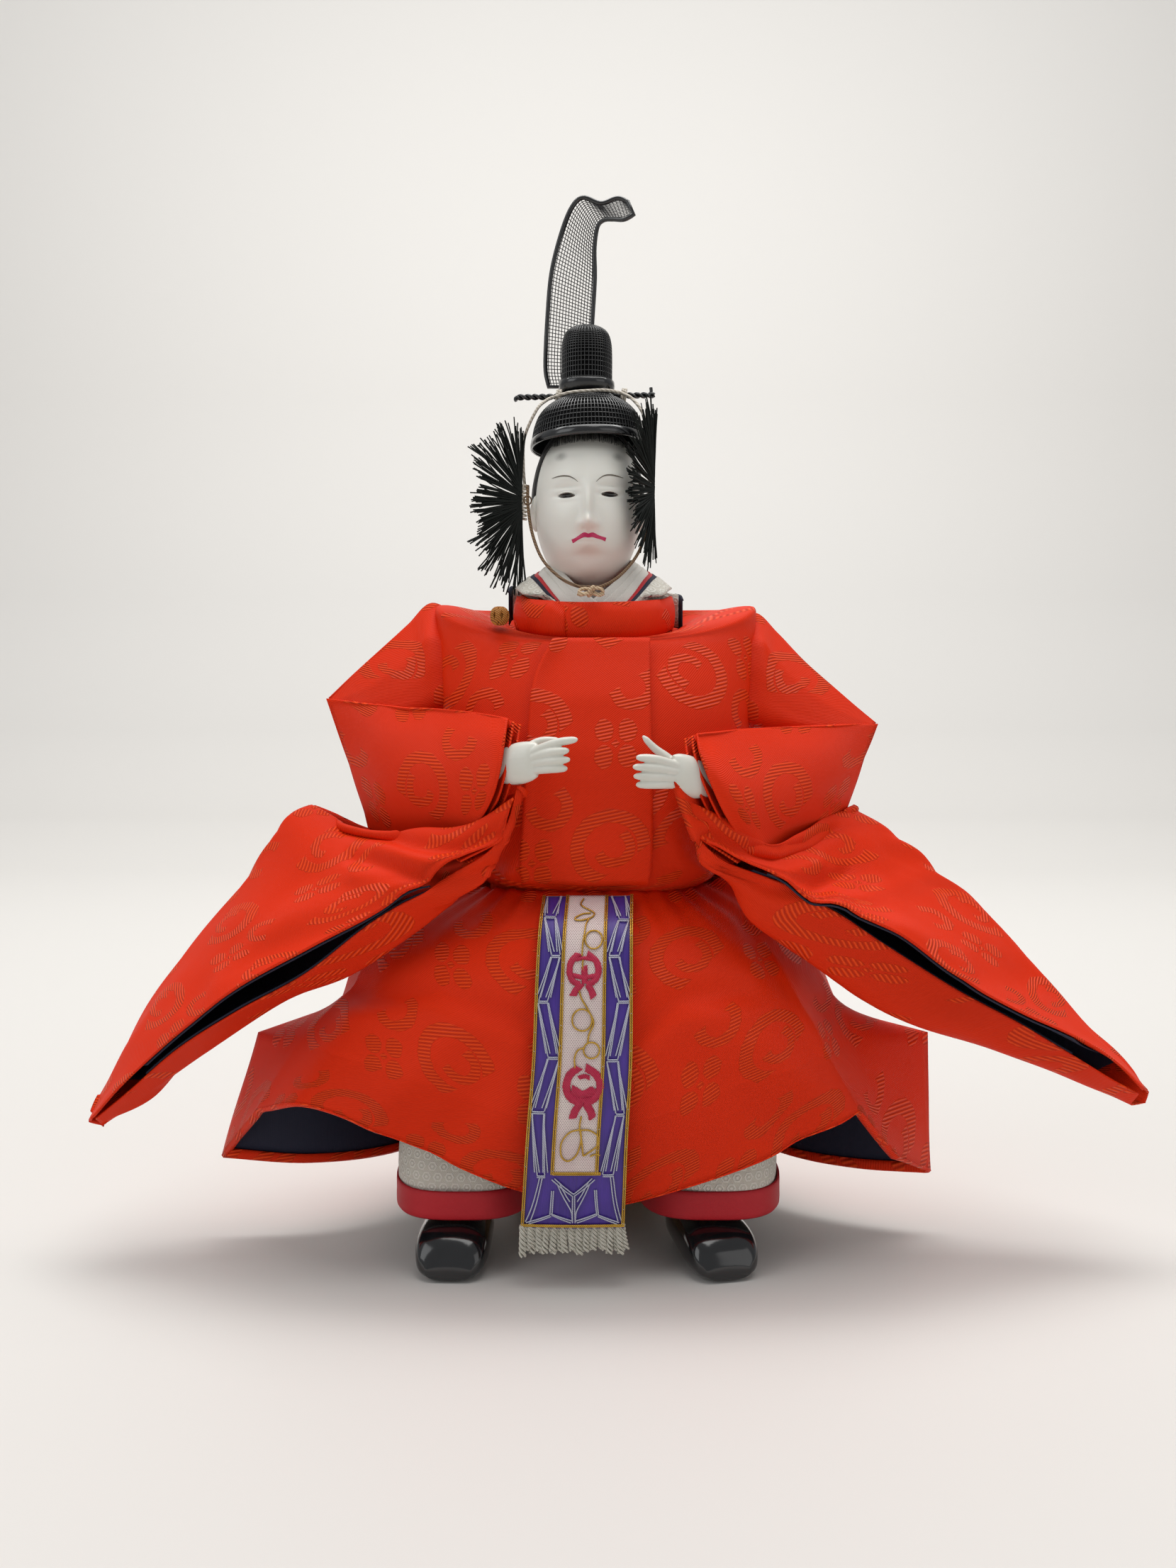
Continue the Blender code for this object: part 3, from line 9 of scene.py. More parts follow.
import bmesh
import bpy
import numpy as np
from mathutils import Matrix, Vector


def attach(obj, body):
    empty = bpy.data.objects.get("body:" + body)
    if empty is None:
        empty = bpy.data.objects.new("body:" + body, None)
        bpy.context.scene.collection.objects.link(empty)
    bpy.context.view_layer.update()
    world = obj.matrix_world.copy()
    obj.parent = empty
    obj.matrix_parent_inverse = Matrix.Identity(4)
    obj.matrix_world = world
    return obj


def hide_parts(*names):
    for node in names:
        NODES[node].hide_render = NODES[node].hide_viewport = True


MM = 0.001
BACK_SHIFT = -28.0       # the doll's middle stands this far in front of the frame's origin
CLOTH = 0.6
LINING = 0.4

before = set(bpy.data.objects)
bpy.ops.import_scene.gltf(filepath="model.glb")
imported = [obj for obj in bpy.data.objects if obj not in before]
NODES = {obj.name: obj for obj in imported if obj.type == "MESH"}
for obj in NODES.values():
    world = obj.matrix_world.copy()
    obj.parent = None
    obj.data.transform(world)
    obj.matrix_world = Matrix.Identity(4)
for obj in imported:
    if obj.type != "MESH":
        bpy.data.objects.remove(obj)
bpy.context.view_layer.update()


def place(points):
    """Millimetres in the doll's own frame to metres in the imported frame."""
    return (np.asarray(points, float) + (0.0, BACK_SHIFT, 0.0)) * MM


def curve(points, steps, sharp=()):
    """A Catmull-Rom curve; at an index in sharp its two sides are splined apart."""
    points = np.asarray(points, float)
    last = len(points) - 1
    folds = set(sharp) | {0, last}
    out = []
    for i in range(last):
        a, b = points[i], points[i + 1]
        before = 2 * a - b if i in folds else points[i - 1]
        after = 2 * b - a if i + 1 in folds else points[i + 2]
        for k in range(steps):
            t = k / steps
            out.append(0.5 * (2 * a + (b - before) * t + (2 * before - 5 * a + 4 * b - after) * t ** 2
                              + (3 * a - before - 3 * b + after) * t ** 3))
    out.append(points[-1])
    return np.array(out)


def evenly(points, count, sharp=()):
    """The smooth curve through the points, read at evenly spaced places."""
    line = curve(points, 14, sharp)
    reach = np.concatenate([[0], np.cumsum(np.linalg.norm(np.diff(line, axis=0), axis=1))])
    want = np.linspace(0, reach[-1], count)
    return np.stack([np.interp(want, reach, line[:, k]) for k in range(3)], axis=1)


def patch(sections, across, along, sharp=()):
    """A grid through cross sections: rows run along, columns across."""
    ribs = np.stack([evenly(section, across, sharp) for section in sections])
    return np.stack([curve(ribs[:, i], along) for i in range(across)], axis=1)


def ring(centre, across, along, reach_a, reach_b, count, power=2.0, back=None):
    """A closed superellipse; back is the reach on the negative side of along."""
    angle = 2 * math.pi * np.arange(count) / count
    c, s = np.cos(angle), np.sin(angle)
    depth = np.where(s >= 0, reach_b, reach_b if back is None else back)
    a = reach_a * np.sign(c) * np.abs(c) ** (2 / power)
    b = depth * np.sign(s) * np.abs(s) ** (2 / power)
    return np.asarray(centre, float) + np.outer(a, across) + np.outer(b, along)


def level_ring(centre, reach_x, reach_y, count, power=2.0):
    return ring(centre, (1, 0, 0), (0, 1, 0), reach_x, reach_y, count, power)


def unit(vectors):
    """The vectors in their last axis, made one long."""
    return vectors / np.maximum(np.linalg.norm(vectors, axis=-1, keepdims=True), 1e-9)


def grid_normals(rows, wrap=False):
    """Unit normals of a grid of points, pointing to one and the same side."""
    down = np.gradient(rows, axis=0)
    if wrap:
        over = (np.roll(rows, -1, axis=1) - np.roll(rows, 1, axis=1)) / 2
    else:
        over = np.gradient(rows, axis=1)
    return unit(np.cross(over, down))


def outward(rows, inside, wrap=False):
    """The grid's normals turned away from a point inside."""
    normal = grid_normals(rows, wrap)
    if np.sum(normal * (rows - np.asarray(inside, float))) < 0:
        normal = -normal
    return normal


def pushed(rows, amount, inside, wrap=False):
    """The grid moved along its outward normals by an amount that may vary over it."""
    return rows + outward(rows, inside, wrap) * (np.asarray(amount)[..., None] if np.ndim(amount) else amount)


def crease(rows, lines):
    """How far each point moves out: lines are (points in x and z, width, height) on the front."""
    flat = rows[..., [0, 2]]
    moved = np.zeros(rows.shape[:2])
    for points, width, height in lines:
        points = np.asarray(points, float)
        near = np.full(rows.shape[:2], 1e9)
        for a, b in zip(points, points[1:]):
            span = b - a
            share = np.clip(((flat - a) @ span) / max(span @ span, 1e-9), 0, 1)
            near = np.minimum(near, np.linalg.norm(flat - a - share[..., None] * span, axis=-1))
        moved += height * np.exp(-(near / width) ** 2)
    return moved


def ripple(rows, size, height, seed):
    """Soft unevenness, as hand-dressed cloth has, from a few crossing waves."""
    chance = np.random.default_rng(seed)
    total = np.zeros(rows.shape[:2])
    for _ in range(7):
        way = chance.normal(size=3)
        way /= np.linalg.norm(way)
        total += np.sin(rows @ way * 2 * math.pi / (size * chance.uniform(0.6, 1.6)) + chance.uniform(0, 6.3))
    return total * height / 3


def linked(name, data):
    """A new object in the scene."""
    item = bpy.data.objects.new(name, data)
    bpy.context.scene.collection.objects.link(item)
    return item


def reshaped(mesh, change):
    """Let a function change a mesh as a bmesh."""
    shape = bmesh.new()
    shape.from_mesh(mesh)
    change(shape)
    shape.to_mesh(mesh)
    shape.free()


def applied(item):
    """Make an object's modifiers part of its mesh."""
    mesh = bpy.data.meshes.new_from_object(item.evaluated_get(bpy.context.evaluated_depsgraph_get()))
    item.modifiers.clear()
    item.data = mesh
    mesh.shade_smooth()
    return mesh


def mesh_piece(name, points, faces, finish=None, uvs=None):
    """A mesh object from points in millimetres, its faces, and one UV for each point."""
    mesh = bpy.data.meshes.new(name)
    mesh.from_pydata([tuple(p) for p in place(points)], [], faces)
    if uvs is not None:
        layer = mesh.uv_layers.new(name="cloth")
        index = np.zeros(len(mesh.loops), int)
        mesh.loops.foreach_get("vertex_index", index)
        layer.data.foreach_set("uv", (np.asarray(uvs) * MM)[index].ravel())
    mesh.shade_smooth()
    if finish is not None:
        mesh.materials.append(finish)
    return linked(name, mesh)


def grid_faces(height, width, wrap=False):
    """Quads of a grid; a wrapped grid joins its last column to its first."""
    faces = []
    for r in range(height - 1):
        for c in range(width if wrap else width - 1):
            d = (c + 1) % width
            faces.append((r * width + c, r * width + d, (r + 1) * width + d, (r + 1) * width + c))
    return faces


def cloth_uvs(rows):
    """Fabric coordinates in millimetres: along each row, and down the columns."""
    across = np.linalg.norm(np.diff(rows, axis=1), axis=2)
    u = np.concatenate([np.zeros((len(rows), 1)), np.cumsum(across, axis=1)], axis=1)
    u -= u[:, -1:] / 2
    down = np.linalg.norm(np.diff(rows, axis=0), axis=2).mean(axis=1)
    v = np.concatenate([[0], np.cumsum(down)])
    return np.stack([u, np.broadcast_to(v[:, None], u.shape)], axis=2)


def cloth(name, rows, finish, inside, thick=CLOTH, wrap=False, shift=(0, 0), turn=0.0):
    """One piece of cloth: a grid, its fabric coordinates, and a wall made by Solidify."""
    rows = np.asarray(rows, float)
    if wrap:
        rows = np.concatenate([rows, rows[:, :1]], axis=1)
    uv = cloth_uvs(rows) + np.asarray(shift, float)
    c, s = math.cos(turn), math.sin(turn)
    uv = uv @ np.array([[c, s], [-s, c]])
    item = mesh_piece(name, rows.reshape(-1, 3), grid_faces(*rows.shape[:2]), finish, uv.reshape(-1, 2))
    face_away(item.data, inside)
    if wrap:
        weld(item.data)
    thicken(item, thick)
    return item


def thicken(item, thick):
    """Give a sheet its wall, on the inner side."""
    wall = item.modifiers.new("Thickness", "SOLIDIFY")
    wall.thickness = thick * MM
    wall.offset = -1.0


def weld(mesh):
    """Join the two edges of a closed loop; the UV seam stays, because it is per corner."""
    reshaped(mesh, lambda shape: bmesh.ops.remove_doubles(shape, verts=shape.verts, dist=1e-6))
    mesh.shade_smooth()


def face_away(mesh, inside):
    """Turn an open sheet so that its faces look away from a point inside."""
    centre = Vector(place(inside))

    def turn(shape):
        score = sum(f.normal.dot(f.calc_center_median() - centre) * f.calc_area() for f in shape.faces)
        if score < 0:
            bmesh.ops.reverse_faces(shape, faces=shape.faces)

    reshaped(mesh, turn)


def loft(name, rows, finish=None, closed_ends=True):
    """A closed body through rings of points, with capped ends, facing outwards."""
    rows = np.asarray(rows, float)
    height, width = rows.shape[:2]
    points = rows.reshape(-1, 3)
    faces = grid_faces(height, width, wrap=True)
    if closed_ends:
        points = np.concatenate([points, [rows[0].mean(axis=0)], [rows[-1].mean(axis=0)]])
        low, high = height * width, height * width + 1
        for c in range(width):
            d = (c + 1) % width
            faces.append((d, c, low))
            faces.append(((height - 1) * width + c, (height - 1) * width + d, high))
    item = mesh_piece(name, points, faces, finish)
    reshaped(item.data, lambda shape: bmesh.ops.recalc_face_normals(shape, faces=shape.faces))
    return item


def rod_rows(points, radius, sides=8):
    """Rings round a line of points; radius may be one number or one for each point."""
    points = np.asarray(points, float)
    radius = np.broadcast_to(radius, len(points))
    way = unit(np.gradient(points, axis=0))
    up = np.array([0.0, 0.0, 1.0]) if abs(way[0, 2]) < 0.9 else np.array([0.0, 1.0, 0.0])
    rows = []
    for p, w, r in zip(points, way, radius):
        side = np.cross(w, up)
        side /= np.linalg.norm(side)
        up = np.cross(side, w)
        rows.append(ring(p, side, up, r, r, sides))
    return np.array(rows)


def joined(name, items):
    """Several meshes as one object."""
    bpy.ops.object.select_all(action="DESELECT")
    for item in items:
        item.select_set(True)
    bpy.context.view_layer.objects.active = items[0]
    bpy.ops.object.join()
    items[0].name = name
    return items[0]


def settle(item, *nodes, slot=None):
    """Ride the doll's body, and stand for the nodes that the piece replaces."""
    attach(item, "root")
    if nodes:
        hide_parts(*nodes)
    return item


def as_sheet(item, rows):
    """Work out the size that a cloth piece's flat cut had; the sizes are not kept or returned."""
    across = np.linalg.norm(np.diff(rows, axis=1), axis=2).sum(axis=1).max() * MM
    down = np.linalg.norm(np.diff(rows, axis=0), axis=2).sum(axis=0).max() * MM
    area = sum(p.area for p in item.data.polygons)
    across, down = max(across, 0.0101), max(down, 0.0101)
    while area > across * down:
        down *= 1.01
    area = max(area, 0.31 * across * down)


def sheet_piece(name, rows, finish, inside, rests_on, held, *nodes, slot="silk", **how):
    """A piece of cloth that stands for these nodes; the size of its flat cut is worked out but not kept."""
    item = settle(cloth(name, rows, finish, inside, **how), *nodes, slot=slot)
    as_sheet(item, rows)
    return item


def strung(name, lines, radius, finish, slot, *nodes, sides=8, **how):
    """Threads that stand for these nodes."""
    return settle(threads(name, lines, radius, finish, sides=sides, **how), *nodes, slot=slot)




def by_maths(operation):
    """A method that puts this value through a Math node, with others if it takes them."""
    return lambda self, *others: self.maths(operation, *others)


class Value:
    """A shader socket that can be used in Python expressions."""

    def __init__(self, tree, socket):
        self.tree = tree
        self.socket = socket

    def node(self, kind, settings=None, inputs=None, output=0):
        """Any node: its settings first, then the values or links of its sockets."""
        made = self.tree.nodes.new(kind)
        for key, value in (settings or {}).items():
            setattr(made, key, value)
        for key, value in (inputs or {}).items():
            target = made.inputs[key]
            if isinstance(value, Value):
                self.tree.links.new(value.socket, target)
            else:
                target.default_value = value
        return Value(self.tree, made.outputs[output])

    def maths(self, operation, *others):
        return self.node("ShaderNodeMath", {"operation": operation}, dict(enumerate((self, *others))))

    __add__ = __radd__ = by_maths("ADD")
    __mul__ = __rmul__ = by_maths("MULTIPLY")
    __sub__ = by_maths("SUBTRACT")
    __truediv__ = by_maths("DIVIDE")
    __abs__ = by_maths("ABSOLUTE")
    most = by_maths("MAXIMUM")

    def __rsub__(self, other):
        return self.maths("MULTIPLY_ADD", -1.0, other)

    def above(self, edge, soft, low=0.0, high=1.0):
        """Low below edge - soft, high above edge + soft, smooth between."""
        return self.node("ShaderNodeMapRange", {"interpolation_type": "SMOOTHSTEP"},
                         {0: self, 1: edge - soft, 2: edge + soft, 3: low, 4: high})

    def below(self, edge, soft):
        return self.above(edge, soft, 1.0, 0.0)

    def wave(self, pitch, phase=0.0):
        """-1 to 1, one period every pitch."""
        return (self * (2 * math.pi / pitch) + phase).maths("SINE")

    def cell(self, size):
        """The place inside a repeated cell, from -size / 2 to size / 2."""
        return self.maths("WRAP", size / 2, -size / 2)

    def index(self, size):
        """Which repeated cell this is."""
        return (self / size + 0.5).maths("FLOOR")

    def far(self, other):
        """The length of the plane vector (self, other)."""
        return (self * self + other * other).maths("SQRT")

    def mix(self, low, high):
        """Colours or links mixed by this mask."""
        made = self.tree.nodes.new("ShaderNodeMix")
        made.data_type = "RGBA"
        factor = next(s for s in made.inputs if s.enabled and s.name == "Factor")
        first, second = [s for s in made.inputs if s.type == "RGBA"][:2]
        self.tree.links.new(self.socket, factor)
        for socket, value in ((first, low), (second, high)):
            if isinstance(value, Value):
                self.tree.links.new(value.socket, socket)
            else:
                socket.default_value = (*value, 1.0)
        return Value(self.tree, next(s for s in made.outputs if s.type == "RGBA"))


class Finish:
    """A procedural material: start with its plain numbers, then drive what varies."""

    def __init__(self, name, colour, roughness=0.6, **fixed):
        self.material = bpy.data.materials.new(name)
        self.material.use_nodes = True
        self.tree = self.material.node_tree
        self.shader = self.tree.nodes["Principled BSDF"]
        self.shader.inputs["Base Color"].default_value = (*colour, 1.0)
        self.shader.inputs["Roughness"].default_value = roughness
        for key, value in fixed.items():
            self.shader.inputs[key.replace("_", " ")].default_value = value

    def where(self, uv):
        """Coordinates in metres, of the object or of its fabric."""
        start = Value(self.tree, None)
        if uv:
            return start.node("ShaderNodeUVMap", {"uv_map": "cloth"})
        return start.node("ShaderNodeTexCoord", output=3)

    def axes(self, uv=False):
        """The three coordinates in millimetres."""
        split = self.tree.nodes.new("ShaderNodeSeparateXYZ")
        self.tree.links.new(self.where(uv).socket, split.inputs[0])
        return [Value(self.tree, out) * 1000.0 for out in split.outputs]

    def noise(self, scale, detail=3.0, rough=0.5, stretch=(1, 1, 1), uv=False):
        """Noise from 0 to 1 whose size is scale in millimetres."""
        where = self.where(uv)
        turned = where.node("ShaderNodeMapping", None, {0: where, 3: [1000.0 * s / scale for s in stretch]})
        return turned.node("ShaderNodeTexNoise", None,
                           {"Vector": turned, "Scale": 1.0, "Detail": detail, "Roughness": rough})

    def drive(self, socket, value):
        self.tree.links.new(value.socket, self.shader.inputs[socket])

    def relief(self, height, depth):
        """A bump whose full height is depth, in millimetres."""
        bump = height.node("ShaderNodeBump", None, {"Height": height, "Strength": 1.0,
                                                    "Distance": depth * MM})
        self.drive("Normal", bump)


def srgb(r, g, b):
    """A colour given in screen values from 0 to 255, in linear light."""
    out = []
    for c in (r, g, b):
        c = c / 255
        out.append(c / 12.92 if c <= 0.04045 else ((c + 0.055) / 1.055) ** 2.4)
    return tuple(out)


def dimmed(colour, share):
    return tuple(c * share for c in colour)


DAMASK_REPEAT = (40.0, 30.0)
BROCADE_REPEAT = (3.0, 2.6)


def damask(name, colour, figure, roughness=0.5):
    """Figured twill silk: a fine slanting rib, with scrolls and four-leaf flowers of raised bars, whose light
    and shade are painted into the colour.
    """
    made = Finish(name, colour, roughness, Specular_IOR_Level=0.12)
    u, v, _ = made.axes(uv=True)
    # flowers of four leaves, in staggered rows
    across, down = DAMASK_REPEAT
    x = (u + v.index(down) * (across / 2)).cell(across)
    y = v.cell(down)
    wobble = (made.noise(2.2, 1.0, uv=True) - 0.5) * 0.9
    fx, fy = abs(x + 10.5) - 2.9, abs(y - 5.0) - 3.3
    leaf = (fx.far(fy * 0.8) + wobble).below(2.3, 0.12)
    heart = (abs(x + 10.5) + abs(y - 5.0)).below(1.1, 0.12)
    # scrolls: broad arcs that open to one side and meet in an S
    sx, sy = x - 9.0, y - 1.0
    scroll = (abs(sx.far(sy) - 8.3) + wobble).below(1.7, 0.12) * (sx * 0.8 + sy).below(6.4, 0.2)
    tx, ty = x + 6.6, y + 9.4
    small = (abs(tx.far(ty) - 4.6) + wobble).below(1.4, 0.12) * (tx * 0.7 + ty).above(-2.4, 0.2)
    curl = (abs((sx - 0.8).far(sy + 0.4) - 4.0) + wobble).below(1.25, 0.12) * (sx * 0.9 + sy).above(-1.5, 0.2)
    shape = leaf.most(heart).most(scroll).most(small).most(curl)
    bars = (v + u * 0.22).wave(0.92) * 0.5 + 0.5
    ground = (u * 0.82 + v).wave(0.56) * 0.5 + 0.5
    raised = shape * bars
    made.relief(ground * 0.24 * (1.0 - shape) + raised, 0.3)
    drift = made.noise(40.0, 2.0, uv=True)
    base = (drift * 0.5 + 0.25).mix(colour, dimmed(colour, 0.88))
    # painted shade: the grooves between the figures' raised bars get a darker copy of the silk's colour
    base = (shape * (1.0 - bars) * 0.8).mix(base, dimmed(colour, 0.58))
    # painted highlight: the raised bars, and a little the rib's crests, turn towards the lighter figure
    # colour
    made.drive("Base Color", (raised * 0.75 + ground * 0.16).mix(base, figure))
    made.drive("Roughness", raised * -0.14 + (ground * -0.05 + (roughness + 0.03)))
    return made.material


def plain_cloth(name, colour, pitch=0.45, roughness=0.8, depth=0.05):
    """Plain weave: threads over and under each other."""
    made = Finish(name, colour, roughness)
    u, v, _ = made.axes(uv=True)
    weave = u.wave(pitch) * v.wave(pitch) * 0.5 + 0.5
    fluff = made.noise(6.0, 3.0, uv=True)
    made.relief(weave + fluff * 0.6, depth)
    # painted shade: the weave's hollows take a darker copy of the colour; the fluff adds random tone
    made.drive("Base Color", (weave * 0.3 + fluff * 0.5).mix(dimmed(colour, 0.8), colour))
    return made.material


def brocade(name, colour, thread):
    """Heavy cream brocade with small raised hexagon figures in a lighter, shinier thread."""
    made = Finish(name, colour, 0.6, Sheen_Weight=0.1)
    u, v, _ = made.axes(uv=True)
    across, down = BROCADE_REPEAT
    x = (u + v.index(down) * (across / 2)).cell(across)
    y = v.cell(down)
    hexagon = (abs(x) * 0.866 + abs(y) * 0.5).most(abs(y))
    figure = (hexagon.below(1.1, 0.12) - hexagon.below(0.72, 0.1)).most(hexagon.below(0.36, 0.1))
    weave = (u * 0.8 + v).wave(0.42) * 0.5 + 0.5
    made.relief(figure + weave * 0.35, 0.14)
    # the hexagon figures are the lighter thread; the weave's crests are also a little lighter, a painted
    # highlight
    made.drive("Base Color", (figure * 0.8 + weave * 0.15).mix(colour, thread))
    made.drive("Roughness", figure * -0.2 + 0.66)
    return made.material


def thread_tree():
    """Geometry Nodes: every chain of edges becomes a thread with a round section."""
    tree = bpy.data.node_groups.new("threads_along_lines", "GeometryNodeTree")
    face = tree.interface
    face.new_socket("Lines", in_out="INPUT", socket_type="NodeSocketGeometry")
    for name, kind, value in (("Thread radius", "NodeSocketFloat", 0.0002), ("Sides", "NodeSocketInt", 5),
                              ("Waver", "NodeSocketFloat", 0.0), ("Waver scale", "NodeSocketFloat", 300.0),
                              ("Seed", "NodeSocketInt", 7)):
        face.new_socket(name, in_out="INPUT", socket_type=kind).default_value = value
    face.new_socket("Finish", in_out="INPUT", socket_type="NodeSocketMaterial")
    face.new_socket("Threads", in_out="OUTPUT", socket_type="NodeSocketGeometry")

    def add(kind, inputs, **settings):
        """A node with its settings and the links or values of its inputs; gives its outputs."""
        node = tree.nodes.new(kind)
        for key, value in settings.items():
            setattr(node, key, value)
        for key, value in inputs.items():
            if isinstance(value, bpy.types.NodeSocket):
                tree.links.new(value, node.inputs[key])
            else:
                node.inputs[key].default_value = value
        return node.outputs

    given = add("NodeGroupInput", {})
    noise = add("ShaderNodeTexNoise", {"Scale": given["Waver scale"], "W": given["Seed"]},
                noise_dimensions="4D")
    centred = add("ShaderNodeVectorMath", {0: noise["Color"], 1: (0.5, 0.5, 0.5)}, operation="SUBTRACT")
    sized = add("ShaderNodeVectorMath", {0: centred[0], "Scale": given["Waver"]}, operation="SCALE")
    moved = add("GeometryNodeSetPosition", {"Geometry": given["Lines"], "Offset": sized[0]})
    lines = add("GeometryNodeMeshToCurve", {"Mesh": moved[0]})
    section = add("GeometryNodeCurvePrimitiveCircle",
                  {"Resolution": given["Sides"], "Radius": given["Thread radius"]})
    swept = add("GeometryNodeCurveToMesh",
                {"Curve": lines[0], "Profile Curve": section["Curve"], "Fill Caps": True})
    real = add("GeometryNodeRealizeInstances", {0: swept[0]})
    rounded = add("GeometryNodeSetShadeSmooth", {0: real[0]})
    painted = add("GeometryNodeSetMaterial", {0: rounded[0], "Material": given["Finish"]})
    add("NodeGroupOutput", {0: painted[0]})
    return tree


THREADS = thread_tree()


def threads(name, lines, radius, finish, sides=5, waver=0.0, waver_size=3.0, seed=7, closed=False):
    """Threads, wires or bristles along lines of points in millimetres, as one plain mesh."""
    points, edges = [], []
    for line in lines:
        first = len(points)
        points.extend(tuple(p) for p in place(line))
        edges.extend((first + k, first + k + 1) for k in range(len(line) - 1))
        if closed:
            edges.append((len(points) - 1, first))
    mesh = bpy.data.meshes.new(name + "_lines")
    mesh.from_pydata(points, edges, [])
    guide = linked(name + "_lines", mesh)
    grown = guide.modifiers.new("Threads", "NODES")
    grown.node_group = THREADS
    wanted = {"Thread radius": radius * MM, "Sides": sides, "Waver": waver * MM,
              "Waver scale": 1000.0 / waver_size, "Seed": seed, "Finish": finish}
    for socket in THREADS.interface.items_tree:
        if socket.in_out == "INPUT" and socket.name in wanted:
            grown[socket.identifier] = wanted[socket.name]
    result = bpy.data.meshes.new_from_object(guide.evaluated_get(bpy.context.evaluated_depsgraph_get()))
    result.name = name
    bpy.data.objects.remove(guide, do_unlink=True)
    return linked(name, result)


# The cloths' colours, as the photograph's soft daylight shows them
ORANGE = srgb(226, 44, 6)
# the silk's colour in light, painted onto the figures' raised bars as a highlight
ORANGE_FIGURE_HIGHLIGHT = srgb(246, 78, 26)
NAVY = srgb(23, 26, 52)
CREAM = srgb(205, 199, 186)
CREAM_THREAD = srgb(232, 228, 218)
WHITE = srgb(226, 222, 214)
CRIMSON = srgb(198, 10, 30)

silk = damask("orange_red_damask", ORANGE, ORANGE_FIGURE_HIGHLIGHT)
navy = plain_cloth("navy_lining_cloth", NAVY, 0.5, 0.75)
crimson = plain_cloth("crimson_cloth", CRIMSON, 0.4, 0.55)
white_cloth = plain_cloth("white_silk_crepe", WHITE, 0.5, 0.75)
cream = brocade("cream_brocade", CREAM, CREAM_THREAD)


# The robe's body: height, half width, reach forwards, reach back, drop in front
BODY_SECTIONS = [
    (95.2, 27.5, 24.6, 23, 0), (96.8, 29.6, 28.6, 25, 0), (99.3, 32.5, 31.8, 27.5, 0),
    (106, 36, 33.8, 29.5, 0), (118, 39, 34.6, 30.2, 0), (132, 41, 33.4, 29, 0),
    (145, 42.2, 30.4, 26.5, 0), (154, 42.8, 27, 23.6, 0), (160, 43, 25, 21.5, 1.6),
    (166, 43, 23.9, 19.5, 6.8), (170.6, 42.4, 23.6, 17.6, 11.0), (169.8, 34, 23.4, 17.8, 9.9),
    (167.6, 28, 22.6, 17.8, 7.6), (164.4, 22.6, 20.2, 15.6, 4.6), (161.5, 19.6, 18.0, 14.0, 3.0),
]
BODY_X = 2.2
INSIDE_BODY = (BODY_X, 0, 135)


def body_ring(z, half, front, back, drop):
    row = ring((BODY_X, 0, z), (1, 0, 0), (0, -1, 0), half, front, 120, 2.4, back)
    row[:, 2] -= drop * np.maximum(0.0, -row[:, 1] / front) ** 1.6
    return row


def body_front(x, z):
    """The y of the robe's front at a height and a distance from the middle."""
    levels = np.array(BODY_SECTIONS)[:10]
    half, front = (np.interp(z, levels[:, 0], levels[:, k]) for k in (1, 2))
    return -front * (1 - np.minimum(1.0, np.abs((x - BODY_X) / half)) ** 2.4) ** (1 / 2.4)


def robe_body():
    """The bloused body, with the soft pull lines that run to the waist."""
    rows = np.array([body_ring(*section) for section in curve(BODY_SECTIONS, 6)])
    rows = rows[:, np.r_[30:120, 0:30]]
    front = np.clip(-rows[..., 1] / 20, 0, 1)
    folds = crease(rows, [
        ([(-20.2, 100.9), (-15.2, 106.4), (-12.7, 115.4)], 2.4, 0.9),
        ([(-24.0, 99.5), (-20.0, 108.0), (-20.5, 118.0)], 2.2, -0.7),
        ([(30.4, 100.9), (23.3, 105.0), (17.0, 117.2)], 2.4, 0.9),
        ([(33.0, 101.0), (27.5, 108.0), (24.5, 118.0)], 2.0, -0.7),
        ([(-34.0, 152.6), (-32.2, 142.5), (-30.4, 132.1)], 3.0, -0.5),
    ]) * front
    waist = np.exp(-((rows[..., 2] - 100) / 7.0) ** 2)
    around = np.arctan2(rows[..., 0] - BODY_X, -rows[..., 1])
    pleats = waist * np.sin(around * 26) * 0.35 * np.clip(rows[..., 1] / 10 + 1.0, 0, 1)
    rows = pushed(rows, folds + pleats + ripple(rows, 34, 0.25, 4) * 0.8, INSIDE_BODY, wrap=True)
    sheet_piece("robe_body_cloth", rows, silk, INSIDE_BODY, ["torso_core", "waist_belt"], "gathered",
                "robe_body", wrap=True)

    edges = [(-8.8, 15.6, 160.0), (-13.4, 15.4, 150.0), (-14.8, 15.6, 138), (-15.6, 15.8, 124),
             (-16.4, 16.0, 112), (-17.0, 15.8, 103), (-16.6, 15.2, 99.6)]
    rows = []
    for left, right, height in curve(edges, 8):
        x = np.linspace(left, right, 40)
        y = body_front(x, height) - 1.3
        lift = 1.0 * np.exp(-((x - left) / 2.2) ** 2)
        rows.append(np.stack([x, y - lift, np.full(40, height)], 1))
    rows = np.array(rows + [rows[-1] + (0, 1.6, -1.3), rows[-1] + (0, 4.0, -1.8)])
    rows = pushed(rows, ripple(rows, 30, 0.2, 9), INSIDE_BODY)
    sheet_piece("robe_front_cloth", rows, silk, INSIDE_BODY, ["robe_body_cloth"], "draped",
                "robe_front_panel", thick=0.5, shift=(3, 7))


robe_body()


